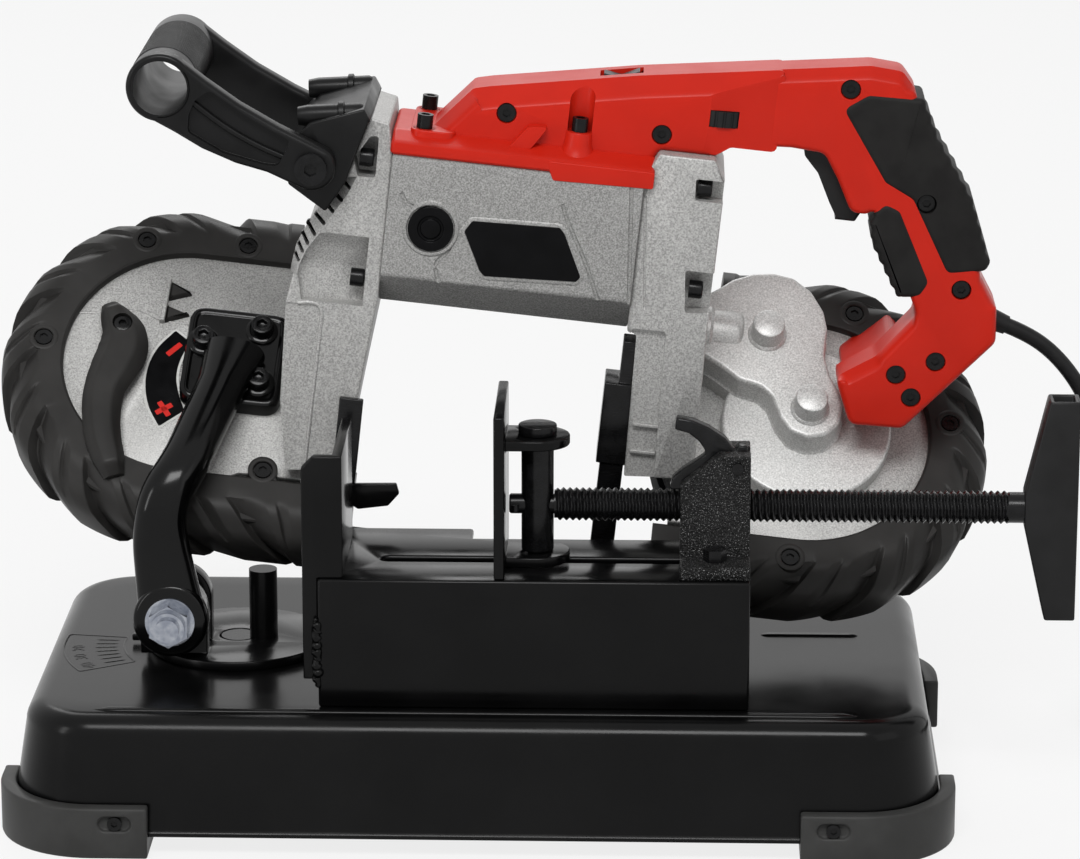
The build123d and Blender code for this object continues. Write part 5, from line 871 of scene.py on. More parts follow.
@dataclass
class SwingArm:
    """Forged arm between the hinge and the idler plate.

    The half widths and depths go by share of the path, and the plate's edge by depth and inset.
    """

    path: tuple[Point, ...] = (
        (0.0, -42.5, 2.0), (-5.0, -42.5, 22.0), (-10.0, -42.5, 42.0), (-10.0, -42.0, 62.0),
        (-2.0, -30.0, 76.0), (4.0, -8.0, 92.0), (10.0, 14.0, 107.0), (14.0, 34.0, 121.0))
    half_widths: Line = ((0.0, 17.0), (0.12, 15.5), (0.32, 13.0), (0.55, 12.0), (0.85, 12.5), (1.0, 16.0))
    half_depths: Line = ((0.0, 7.0), (0.25, 7.2), (0.45, 11.0), (0.85, 11.0), (1.0, 11.0))
    eye: Line = (
        (-7.5, 0.0), (-7.5, 16.4), (-7.0, 18.0), (-5.6, 19.0), (5.6, 19.0), (7.0, 18.0), (7.5, 16.4),
        (7.5, 0.0))
    eye_depth: float = 42.5
    plate: Line = ((-12.0, -25.5), (40.0, -25.5), (40.0, 30.0), (-12.0, 30.0))
    plate_edge: Line = (
        (20.0, 0.0), (27.4, 0.0), (29.2, 0.6), (30.0, 2.0), (30.0, 3.4), (29.5, 4.2), (29.4, 5.0))
    plate_top: float = 30.0
    boss: Line = ((-3.0, 8.2), (0.3, 8.2), (0.9, 7.4), (1.0, 5.4), (-2.0, 5.4))
    bosses: Line = ((26.0, 19.0), (-3.0, 9.0), (28.0, -12.0))

    def build(self, shop: Workshop) -> None:
        """Make the arm: hinge eye, bent bar, flared root and mounting plate.

        Args:
            shop: Workshop with the solids that the pieces stand for.
        """
        line = smooth(self.path, 2.0)
        share = np.linspace(0.0, 1.0, len(line))
        wide, deep = (np.interp(share, *np.array(knots).T) for knots in (self.half_widths, self.half_depths))
        skin = Skin().add(HEAD_TOP, rod(line, wide, deep, (1.0, 0.0, 0.15), 2.3))
        skin.add(HEAD_SIDE, turned(self.eye, (0.0, 0.0, self.eye_depth), 64), cap=False)
        skin.add(WHEELS, carried(rounded(self.plate, 9.0), *np.array(self.plate_edge).T))
        skin.add(WHEELS, *(turned(self.boss, (*place, self.plate_top), 36) for place in self.bosses))
        shop.fit(skin, "swing_arm_forged", Finishes.gloss_enamel, "head", ["swing_arm"], 38.0)


@dataclass
class BailHandle:
    """Front bail handle: hollow grip tube on two webbed arms.

    The edges, the panel and the spine are drawn along and across an arm from its bolt.
    """

    pivot: Pair = (47.5, 236.0)
    rise: float = 22.0
    reach: float = 84.0
    mid_y: float = 24.0
    half_span: float = 56.0
    thick: float = 12.0
    bore: float = 13.5
    tube: float = 17.0
    bolt_end: float = 12.0
    round_over: float = 2.2
    bevel: float = 0.9
    sink: float = 4.0
    rib_start: float = 20.0
    rib_pitch: float = 2.5
    rib_count: int = 29
    rib: Line = ((0.0, 0.0), (0.9, 0.0), (1.2, 0.35), (2.2, 0.35))
    upper: Line = ((10.0, 11.0), (24.0, 10.6), (46.0, 11.4), (66.0, 14.0))
    lower: Line = ((68.0, -16.5), (52.0, -17.4), (34.0, -16.0), (18.0, -12.6), (6.0, -12.0))
    panel: Line = (
        (15.0, 7.4), (40.0, 8.0), (62.0, 10.8), (66.0, 3.0), (65.4, -5.0), (62.0, -13.0), (42.0, -14.0),
        (22.0, -9.8), (15.0, -7.0))
    spine: Line = ((13.0, -2.0), (30.0, -3.4), (48.0, -2.6), (68.0, 1.0))

    def carry(self, points: Array) -> Array:
        """Turn points (along the arm, across it) into the head's side view.

        Args:
            points: Points of shape (..., 2).

        Returns:
            Points of the same shape.
        """
        lean = math.radians(180.0 - self.rise)
        along, across = points[..., 0], points[..., 1]
        return np.stack([self.pivot[0] + along * math.cos(lean) + across * math.sin(lean),
                         self.pivot[1] + along * math.sin(lean) - across * math.cos(lean)], -1)

    def outline(self) -> Array:
        """Outline of an arm: upper edge, tube end, swelling lower edge and bolt end.

        Returns:
            Points of shape (count, 2) in the head's side view.
        """
        turn = np.radians(np.linspace(105.0, -105.0, 14))
        tube = np.stack([self.reach + self.tube * np.cos(turn), self.tube * np.sin(turn)], 1)
        turn = np.radians(np.linspace(250.0, 110.0, 9))
        bolt = self.bolt_end * np.stack([np.cos(turn), np.sin(turn)], 1)
        line = np.concatenate([np.array(self.upper), tube, np.array(self.lower), bolt])
        return anticlockwise(walked(self.carry(line), 1.6))

    def tube_profile(self, far: float, near: float) -> list[Pair]:
        """Closed section of the grip tube: bore, rounded ends and a ribbed outside.

        Args:
            far: Depth of the far end.
            near: Depth of the near end.

        Returns:
            Pairs of depth and radius.
        """
        flat = self.tube - self.round_over
        end = [(far + self.round_over * (1 - math.sin(angle)), flat + self.round_over * math.cos(angle))
               for angle in np.linspace(math.pi / 2, 0.0, 6)]
        ribs = [(far + self.rib_start + self.rib_pitch * count + shift, self.tube - drop)
                for count in range(self.rib_count) for shift, drop in self.rib]
        mouth, lip = self.bore, self.bore + self.bevel
        profile = [(far + 1.2, mouth), (far, lip)] + end + ribs
        profile += [(near - depth + far, radius) for depth, radius in end[::-1]]
        return profile + [(near, lip), (near - 1.2, mouth), (far + 1.2, mouth)]

    def build(self, shop: Workshop) -> None:
        """Make the arms with their sunk panels and ribs, and the hollow grip tube.

        Args:
            shop: Workshop with the solids that the pieces stand for.
        """
        near, far = self.half_span - self.mid_y, -self.half_span - self.mid_y
        middle = (*self.carry(np.array([self.reach, 0.0])), 0.0)
        panel = rounded(self.carry(np.array(self.panel)).tolist(), 3.0)
        spine = self.carry(smooth(self.spine, 2.0))
        arms, cut, more = Skin(), [], Skin()
        for front, way in ((near, 1.0), (far, -1.0)):
            floor = front - way * self.sink
            arms.add(HEAD_SIDE, slab(self.outline(), *sorted((front, front - way * self.thick)), 3.0))
            cut.append(HEAD_SIDE.place(slab(panel, *sorted((floor, front + way)), 0.4)))
            more.add(HEAD_SIDE, rod(lifted(spine, floor + way * 0.4), 1.6, 1.9, (0.0, 1.0, 0.0), 2.4))
        cut.append(HEAD_SIDE.place(turned(((far - 9.0, self.bore), (near + 9.0, self.bore)), middle, 64)))
        more.add(HEAD_SIDE, turned(self.tube_profile(far, near), middle, 72), cap=False)
        body = shop.cut(arms.mesh("bail_handle"), cut)
        shop.join(body, more.mesh("bail_more"))
        shop.fit(body, "bail_handle", Finishes.bail_plastic, "bail", ["front_handle"], 34.0)


@dataclass
class RedCover:
    """Red clam-shell cover with its D-grip, dark pads and the seats of its controls."""

    mid_y: float = 24.0
    wide: float = 25.0
    slim: float = 18.0
    slim_from: float = 238.0
    body: Line = (
        (102.0, 253.0), (122.0, 276.6), (131.0, 278.8), (204.0, 292.5), (276.0, 303.6), (276.0, 262.0),
        (253.0, 263.0), (246.0, 258.0), (218.0, 258.0), (212.0, 246.0), (212.0, 243.6), (102.0, 243.6))
    grip: Line = (
        (204.0, 292.3), (318.0, 310.0), (334.0, 309.0), (341.0, 301.0), (350.0, 278.0), (371.0, 250.0),
        (386.0, 210.0), (396.0, 195.0), (398.0, 177.0), (357.0, 127.0), (330.0, 126.0), (320.0, 149.0),
        (339.0, 162.0), (357.0, 186.0), (352.0, 196.0), (333.0, 227.0), (328.0, 238.0), (325.0, 235.4),
        (317.0, 235.4), (308.0, 252.0), (300.0, 264.0), (283.0, 265.0), (253.0, 263.0), (204.0, 262.0))
    back_pad: Line = (
        (305.5, 288.0), (318.0, 297.0), (345.0, 297.6), (355.0, 278.0), (376.0, 249.0), (390.6, 214.0),
        (368.4, 209.5), (346.4, 245.5), (331.5, 252.5))
    front_pad: Line = (
        (327.5, 231.0), (329.0, 238.0), (333.3, 243.0), (341.6, 240.0), (361.0, 204.5), (357.0, 196.5),
        (346.0, 195.0), (330.0, 221.0))
    pad_over: float = 0.9
    foot: Line = ((330.0, 126.0), (357.0, 127.0), (372.0, 146.0), (348.0, 166.0), (324.0, 148.0))
    foot_slope: float = 69.6
    shelf_ends: Pair = (84.6, 216.6)
    shelf: Line = (
        (-13.4, 243.6), (-13.4, 249.8), (-1.0, 254.6), (49.0, 254.6), (61.4, 249.8), (61.4, 243.6))
    skirt_depths: Pair = (11.0, 13.6)
    skirt: Line = ((163.6, 245.6), (166.7, 239.4), (216.6, 240.6), (216.6, 249.0), (163.6, 249.0))
    rib_depths: Pair = (-4.0, 6.4)
    rib: Line = ((140.4, 249.0), (151.4, 263.4), (162.0, 264.6), (152.0, 249.8))
    platform_depths: Pair = (244.0, 256.0)
    platform: Line = ((93.3, -6.7), (116.0, -6.7), (116.0, 54.7), (93.3, 54.7))
    taper: Line = ((238.0, 25.3), (272.0, 18.2), (300.0, 12.0), (300.0, 60.0), (238.0, 60.0))
    trigger: Line = (
        (289.0, 267.0), (298.0, 233.0), (308.0, 229.0), (320.0, 229.0), (328.0, 245.0), (316.0, 273.0),
        (295.0, 273.0))
    trigger_travel: float = 6.0
    hollow: Line = (
        (270.0, 263.0), (285.0, 266.0), (298.5, 252.0), (306.0, 237.6), (310.0, 231.0), (310.0, 218.0),
        (270.0, 218.0))
    rocker: Line = ((184.3, 280.0), (205.7, 280.0), (205.7, 330.0), (184.3, 330.0))
    dial: Point = (246.0, 10.6, 277.0)
    side_screws: Line = (
        (140.0, 268.0), (218.0, 266.0), (309.0, 298.0), (350.0, 155.0), (369.0, 164.0), (359.0, 144.0))
    pad_screw: Pair = (354.0, 244.6)
    low_screw: Pair = (377.0, 202.6)
    screw_seat: float = -9.8
    standing_screws: tuple[Point, ...] = ((100.0, 0.0, 256.0), (177.0, 0.0, 263.0), (100.0, 48.0, 256.0))
    channel: Line = ((0.0, 6.2), (70.0, 6.2))
    boss: Line = (
        (-16.0, 11.0), (-13.0, 10.2), (-10.0, 8.4), (-6.0, 7.2), (-0.8, 6.7), (-0.2, 6.4), (0.0, 5.8),
        (0.0, 0.0))

    def shell(self, corners: Sequence[Pair], half: float, corner: float, crease: float) -> Array:
        """Slab with a rolled rim and a flat chamfer along its top edge.

        Each point of the outline is drawn in by the mix of a quarter-round rim and a straight chamfer, mixed
        by how far the edge there faces up.

        Args:
            corners: Corners of the side view.
            half: Half width of the slab.
            corner: Radius of the corners.
            crease: Depth of the chamfer, drawn in by four fifths of it.

        Returns:
            Grid in the head's side view.
        """
        line = rounded(corners, corner)
        upward = step(outward(line)[:, 1], 0.35, 0.85) * step(line[:, 0], 100.0, 106.0)
        roll = 3.2
        back_off = np.array(
            [crease + 0.8, crease, 0.75 * crease, 0.5 * crease, roll, 2.2, 1.3, 0.6, 0.2, 0.0])
        flat = np.clip((crease - back_off) * 0.8, 0.0, None)
        curl = roll - np.sqrt(np.clip(roll ** 2 - np.clip(roll - back_off, 0.0, None) ** 2, 0.0, None))
        inset = upward[None] * (flat + 0.35 * curl)[:, None] + (1 - upward)[None] * curl[:, None]
        depth = half - back_off
        both = np.concatenate([-depth[::-1], depth])
        return carried(line, both - self.mid_y, np.concatenate([inset[::-1], inset]))

    def mid_slab(self, line: Array, half: float, radius: float, steps: int = 4) -> Array:
        """Slab of a half width about the cover's middle plane."""
        return slab(line, -self.mid_y - half, -self.mid_y + half, radius, steps)

    def pad(self, corners: Sequence[Pair], side: float, count: float) -> Array:
        """Rubber pad that swells in finger waves along the edge towards one side.

        Args:
            corners: Corners of the side view.
            side: 1 for waves along the edge that faces back, -1 for the edge that faces the trigger.
            count: Waves round the whole outline.

        Returns:
            Grid in the head's side view.
        """
        line = rounded(corners, 5.0, 1.0)
        facing = outward(line) @ np.array([0.86, 0.5]) * side
        run = np.arange(len(line)) / len(line)
        swell = 0.9 * step(facing, 0.55, 0.9) * np.sin(run * math.pi * count) ** 2
        return self.mid_slab(line + outward(line) * swell[:, None], self.slim + self.pad_over, 3.0, 5)

    def wells(self) -> list[Array]:
        """Room for the trigger over its travel, the side screws, the rocker and the dial.

        Returns:
            Grids of closed surfaces in the solids' frame.
        """
        cut = []
        for shift in (0.0, self.trigger_travel):
            well = rounded([(x + shift, z) for x, z in self.trigger], 3.0)
            cut.append(HEAD_SIDE.place(self.mid_slab(well + outward(well) * 1.3, 7.8, 0.3)))
        for x, z in (*self.side_screws, self.pad_screw, self.low_screw):
            seat = (self.wide if x < self.slim_from else self.slim) - 4.0
            cut.append(HEAD_SIDE.place(turned(((seat, 5.0), (40.0, 5.6)), (x, z, -self.mid_y), 32)))
        cut.append(HEAD_SIDE.place(self.mid_slab(rounded(self.rocker, 0.5), 7.2, 0.2)))
        cut.append(HEAD_TOP.place(turned(((-4.3, 12.5), (4.3, 12.5)), self.dial, 48)))
        return cut

    def tapers(self) -> list[Array]:
        """Knives that narrow the body on both sides down to the grip."""
        sides = [[(x, self.mid_y + way * y) for x, y in self.taper] for way in (-1.0, 1.0)]
        return [HEAD_TOP.place(slab(rounded(side, 0.2, 6.0), 200.0, 340.0, 0.1)) for side in sides]

    def build_shell(self, shop: Workshop) -> None:
        """Make the cover's shells, its shelf with the screw bosses, and its foot.

        Args:
            shop: Workshop with the solids that the pieces stand for.
        """
        channels = [HEAD_TOP.place(turned(self.channel, place, 40)) for place in self.standing_screws]
        shell = Skin().add(HEAD_SIDE, self.shell(self.body, self.wide, 3.0, 11.0)).mesh("red_cover")
        grip = Skin().add(HEAD_SIDE, self.shell(self.grip, self.slim, 6.0, 6.4)).mesh("cover_grip")
        body = shop.cut(shop.cut(shell, self.tapers()), self.wells() + channels)
        shop.join(body, shop.cut(grip, self.wells()))
        extra = Skin().add(HEAD_END, slab(rounded(self.shelf, 1.6), *self.shelf_ends, 2.4))
        extra.add(HEAD_TOP, *(turned(self.boss, place, 40) for place in self.standing_screws))
        extra.add(HEAD_TOP, slab(rounded(self.platform, 6.4), *self.platform_depths, 0.9))
        extra.add(HEAD_SIDE, slab(rounded(self.skirt, 0.8, 1.2), *self.skirt_depths, 0.5))
        extra.add(HEAD_SIDE, slab(rounded(self.rib, 1.6, 1.0), *self.rib_depths, 0.5, 3))
        line = rounded(self.foot, 3.0)
        depths = (-self.mid_y, self.foot_slope - line[:, 1])
        extra.add(HEAD_SIDE, np.stack([lifted(line, depth) for depth in depths]))
        shop.join(body, extra.mesh("cover_extra"))
        halves = ["cover_front_half", "cover_back_half"]
        shop.fit(body, "red_cover", Finishes.red_plastic, "head", halves, 26.0)

    def build(self, shop: Workshop) -> None:
        """Make the shell, the pads, the trigger with its finger hollow and the grip's screws.

        Args:
            shop: Workshop with the solids that the pieces stand for.
        """
        self.build_shell(shop)
        pads = (self.pad(self.back_pad, 1.0, 32.0), self.pad(self.front_pad, -1.0, 18.0))
        well = HEAD_SIDE.place(turned(((-9.6, 4.9), (0.0, 5.1)), (*self.pad_screw, 0.0), 32))
        body = shop.cut(Skin().add(HEAD_SIDE, *pads).mesh("soft_pads"), [well])
        shop.fit(body, "soft_pads", Finishes.grip_rubber, "head", ["grip_pads"], 40.0)
        knife = HEAD_SIDE.place(slab(rounded(self.hollow, 3.0, 1.2), -60.0, 10.0, 0.2))
        shop.soften("trigger", Finishes.dark_plastic, 1.5, [knife])
        screws = (cap_screw(2.6, (*place, self.screw_seat)) for place in (self.pad_screw, self.low_screw))
        shop.fit(Skin().add(HEAD_SIDE, *screws, cap=False), "grip_screws", Finishes.black_steel)


@dataclass
class GearCase:
    """Gear-case cover: a lobed plate on a round case, with bearing bosses and the layshaft's neck."""

    lobes: Line = (
        (250.0, 60.0), (258.6, 66.8), (264.7, 72.4), (275.0, 77.3), (285.5, 79.0), (296.3, 77.4),
        (306.1, 70.4), (313.3, 59.1), (316.0, 48.6), (315.4, 39.3), (315.6, 31.6), (319.0, 21.4),
        (324.4, 12.6), (327.2, 4.0), (325.6, -6.5), (319.5, -14.0), (310.0, -17.0), (301.0, -14.3),
        (294.5, -6.0), (289.8, 5.0), (283.5, 10.2), (272.8, 12.3), (261.5, 20.0), (250.0, 26.5))
    foot: Line = ((20.0, -1.2), (30.4, -1.2), (31.0, -0.5), (32.0, 0.0))
    bosses: Line = ((285.0, 41.0), (310.0, 0.0))
    case_centre: Point = (310.0, 0.0, 0.0)
    case_radius: float = 43.9
    case_top: float = 30.1
    case_rim: float = 1.8
    low: float = 20.0
    top: float = 46.0
    top_rim: float = 2.4
    neck_root: Point = (253.0, 43.0, 37.4)
    boss_profile: Line = (
        (-2.0, 10.4), (0.4, 10.0), (1.2, 9.2), (1.6, 8.6), (10.6, 8.3), (11.5, 7.9), (12.0, 7.0), (12.0, 0.0))
    neck_profile: Line = (
        (-2.0, 14.6), (2.4, 14.6), (3.4, 13.8), (4.0, 13.2), (16.0, 13.0), (18.0, 12.4), (19.4, 11.0),
        (20.0, 9.0), (20.0, 0.0))

    def build(self, shop: Workshop) -> None:
        """Make the cover as rounded slabs and turned bosses with soft feet.

        Args:
            shop: Workshop with the solids that the pieces stand for.
        """
        inset, rise = rim(self.case_rim, 5)
        edge = zip(self.case_top - self.case_rim + rise, self.case_radius - inset)
        case = [(self.low, self.case_radius), *edge, (self.case_top, 10.0)]
        skin = Skin().add(WHEELS, turned(case, self.case_centre, 96))
        inset, rise = rim(self.top_rim, 6)
        depths, insets = np.array(self.foot).T
        depths = np.concatenate([depths, self.top - self.top_rim + rise])
        skin.add(WHEELS, carried(rounded(self.lobes, 7.0, 1.3), depths, np.concatenate([insets, inset])))
        bosses = (turned(self.boss_profile, (*place, self.top), 56) for place in self.bosses)
        skin.add(WHEELS, *bosses, cap=False)
        neck = Axes(tuple(WHEELS.place(np.array(self.neck_root))), WHEELS.up, WHEELS.out, WHEELS.along)
        skin.add(neck, turned(self.neck_profile, CENTRE, 56), cap=False)
        # The cover's brighter alloy is painted light.
        shop.fit(skin, "gear_case_cast", Finishes.case_alloy, "head", ["gear_cover"], 36.0)


@dataclass
class MotorCasting:
    """Motor casting with a flat front, chamfered belly, styling lines and its bare nameplate.

    The cap's room and rim go by depth and radius, and the rim of the plate by depth and inset.
    """

    section: Line = (
        (-13.0, 181.5), (3.5, 165.0), (44.5, 165.0), (61.0, 181.5), (61.0, 243.6), (-13.0, 243.6))
    left: float = 86.0
    right: float = 212.0
    lines: tuple[Line, ...] = (
        ((92.3, 224.8), (96.5, 217.6), (110.2, 218.6)),
        ((119.6, 199.6), (117.5, 195.8), (111.9, 190.4), (115.8, 180.0)),
        ((172.6, 228.0), (176.3, 219.1), (187.8, 199.2), (195.6, 181.0)),
        ((205.4, 244.0), (206.0, 240.2), (211.6, 176.0)))
    line_depth: float = 13.1
    line_radius: float = 1.1
    cap: Point = (108.7, 208.0, 0.0)
    cap_room: Line = ((-90.0, 11.5), (20.0, 11.5))
    cap_rim: Line = ((12.0, 14.4), (13.0, 14.4), (13.7, 13.6), (13.7, 12.4), (13.0, 11.7), (12.0, 11.6))
    plate: Line = (
        (125.6, 208.6), (129.1, 214.3), (172.7, 215.8), (175.3, 213.1), (185.7, 191.8), (183.7, 189.2),
        (137.7, 186.9), (135.1, 189.5))
    plate_rim: Line = ((12.4, -2.2), (13.0, -2.2), (13.5, -1.3), (13.5, -0.2), (12.4, -0.1))
    plate_seat: float = 12.2
    plate_top: float = 13.4

    def build(self, shop: Workshop) -> None:
        """Make the casting with lines cut into its front, the rim of its brush cap and the nameplate.

        Args:
            shop: Workshop with the solids that the pieces stand for.
        """
        section = slab(rounded(self.section, 1.6), self.left, self.right, 0.8, 3)
        plate = rounded(self.plate, 1.2, 1.0)
        paths = [lifted(smooth(points, 2.0), self.line_depth) for points in self.lines]
        grids = [rod(path, self.line_radius, self.line_radius, (0.0, 1.0, 0.0), steps=12) for path in paths]
        grids += [turned(self.cap_room, self.cap, 56), slab(plate, self.plate_seat, 15.0, 0.1)]
        cut = [HEAD_SIDE.place(grid) for grid in grids]
        body = shop.cut(Skin().add(HEAD_END, section).mesh("motor_cast"), cut)
        rims = Skin().add(HEAD_SIDE, turned(self.cap_rim, self.cap, 64), cap=False)
        edge = carried(rounded(self.plate, 1.4, 1.0), *np.array(self.plate_rim).T)
        rims.add(HEAD_SIDE, edge, cap=False)
        shop.join(body, rims.mesh("motor_rims"))
        # The motor casting's darker alloy is painted shade.
        shop.fit(body, "motor_cast", Finishes.motor_alloy, "head", ["motor_housing"], 30.0)
        badge = Skin().add(HEAD_SIDE, slab(plate, self.plate_seat, self.plate_top, 0.3))
        shop.fit(badge, "bare_nameplate", Finishes.badge_black, "head", ["name_badges"])


@dataclass
class TensionGear:
    """Blade tension lever, its label with plus and minus, and the raised pointers on the idler plate.

    The lever's section is drawn as shares of its half width and heights, and the edges of the pointers
    and the post as depths and insets.
    """

    spine: Line = (
        (-54.4, 26.6), (-51.0, 20.0), (-44.6, 11.0), (-42.9, 1.0), (-46.2, -11.0), (-50.0, -24.0),
        (-49.6, -38.0), (-46.6, -52.0), (-41.8, -64.0), (-37.6, -73.6))
    half: tuple[float, ...] = (4.2, 7.6, 11.4, 12.9, 12.4, 10.6, 9.9, 9.2, 8.2, 5.4)
    section: Line = (
        (-1.0, 0.0), (-1.0, 2.2), (-0.95, 3.0), (-0.60, 7.2), (-0.52, 7.7), (-0.40, 8.0), (0.40, 8.0),
        (0.52, 7.7), (0.60, 7.2), (0.95, 3.0), (1.0, 2.2), (1.0, 0.0))
    screw: Pair = (-45.5, 13.0)
    low: float = 25.6
    top: float = 33.6
    outer_edge: Line = ((-18.9, 18.7), (-27.9, 6.6), (-31.2, -9.4), (-27.8, -26.4), (-19.8, -38.4))
    inner_edge: Line = ((-8.2, -27.6), (-12.6, -18.1), (-15.4, -8.0), (-14.4, 2.6), (-10.6, 13.0))
    label_seat: float = 19.8
    label_top: float = 20.4
    border: float = 1.3
    border_top: float = 20.22
    sign_depths: Pair = (20.2, 20.5)
    strokes: tuple[tuple[Pair, float], ...] = (
        ((-18.2, 7.6), 50.0), ((-18.6, -28.0), 38.0), ((-18.6, -28.0), 128.0))
    stroke_length: float = 9.6
    stroke_half: float = 1.4
    pointers: tuple[Line, ...] = (
        ((-25.0, 47.0), (-25.0, 36.0), (-12.8, 41.0)), ((-25.4, 33.0), (-25.4, 22.6), (-12.4, 28.6)))
    pointer_edge: Line = ((19.5, 0.0), (20.4, 0.0), (22.6, 0.9), (23.0, 1.4))
    post: Line = ((-28.2, 22.4), (-25.2, 22.4), (-24.6, 48.4), (-27.2, 47.0))
    post_edge: Line = ((19.5, 0.0), (23.0, 0.2), (23.4, 0.6))
    edge_line: Line = ((-72.0, 23.0), (-58.3, 24.8), (-41.5, 30.7), (-27.8, 23.7), (-11.0, 23.8))

    def stroke(self, middle: Pair, angle: float) -> Array:
        """Outline of a straight stroke of a sign.

        Args:
            middle: Its middle in the wheels' plane.
            angle: Its direction in degrees.

        Returns:
            Outline of shape (count, 2).
        """
        way = np.array([math.cos(math.radians(angle)), math.sin(math.radians(angle))])
        across = np.array([-way[1], way[0]]) * self.stroke_half
        reach = way * self.stroke_length / 2
        ends = np.array([reach + across, -reach + across])
        return rounded((np.array(middle) + np.concatenate([ends, -ends])).tolist(), 0.3, 0.6)

    def lever(self) -> Array:
        """Lever as a section with broad bevels carried along its spine, lower at its ends.

        Returns:
            Grid in the wheels' plane.
        """
        line = smooth(self.spine, 1.2)
        knots = np.linalg.norm(np.diff(np.array(self.spine), axis=0), axis=1)
        knots = np.concatenate([[0.0], np.cumsum(knots)]) / np.sum(knots)
        share = np.linspace(0.0, 1.0, len(line))
        half = np.interp(share, knots, self.half)
        ends = np.clip(0.3 + 14.0 * np.minimum(share, 1 - share), 0.0, 1.0)
        way = unit(np.gradient(line, axis=0))
        across, rise = np.array(self.section).T
        aside = np.stack([-way[:, 1], way[:, 0]], 1)
        flat = line[:, None] + aside[:, None] * (half[:, None] * across)[..., None]
        high = self.low + ends[:, None] * rise[None]
        return np.concatenate([flat, high[..., None]], 2)

    def build(self, shop: Workshop) -> None:
        """Make the lever with its screw, the label with its border and signs, and the pointers.

        Args:
            shop: Workshop with the solids that the pieces stand for.
        """
        well = WHEELS.place(turned(((self.top - 4.0, 5.0), (self.top + 4.0, 5.4)), (*self.screw, 0.0), 40))
        body = shop.cut(Skin().add(WHEELS, self.lever()).mesh("tension_lever_formed"), [well])
        shop.fit(body, "tension_lever_formed", Finishes.guard_rubber, "lever", ["tension_lever"], 26.0)
        screw = Skin().add(WHEELS, cap_screw(3.0, (*self.screw, self.top - 4.2)), cap=False)
        shop.fit(screw, "lever_screw", Finishes.black_steel, "lever")
        sides = np.concatenate([smooth(self.outer_edge, 1.5), smooth(self.inner_edge, 1.5)])
        label = rounded(sides.tolist(), 0.2, 1.2)
        border = Skin().add(WHEELS, carried(label, (self.label_seat, self.border_top), -self.border))
        shop.fit(border, "label_border", Finishes.mark_white)
        field = Skin().add(WHEELS, carried(label, (self.label_seat, self.label_top), 0.0))
        shop.fit(field, "label_field", Finishes.badge_black)
        signs = (carried(self.stroke(*stroke), self.sign_depths, 0.0) for stroke in self.strokes)
        shop.fit(Skin().add(WHEELS, *signs), "label_signs", Finishes.mark_red)
        edge = np.array(self.pointer_edge).T
        arrows = (carried(rounded(corners, 0.5, 0.8), *edge) for corners in self.pointers)
        shop.fit(Skin().add(WHEELS, *arrows), "plate_arrows", Finishes.guard_rubber)
        post = carried(rounded(self.post, 0.4, 0.8), *np.array(self.post_edge).T)
        line = rod(lifted(smooth(self.edge_line, 1.2), 20.0), 0.6, 0.5, (0.0, 1.0, 0.0), steps=10)
        shop.fit(Skin().add(WHEELS, post, line), "plate_pointers", Finishes.cast_alloy)


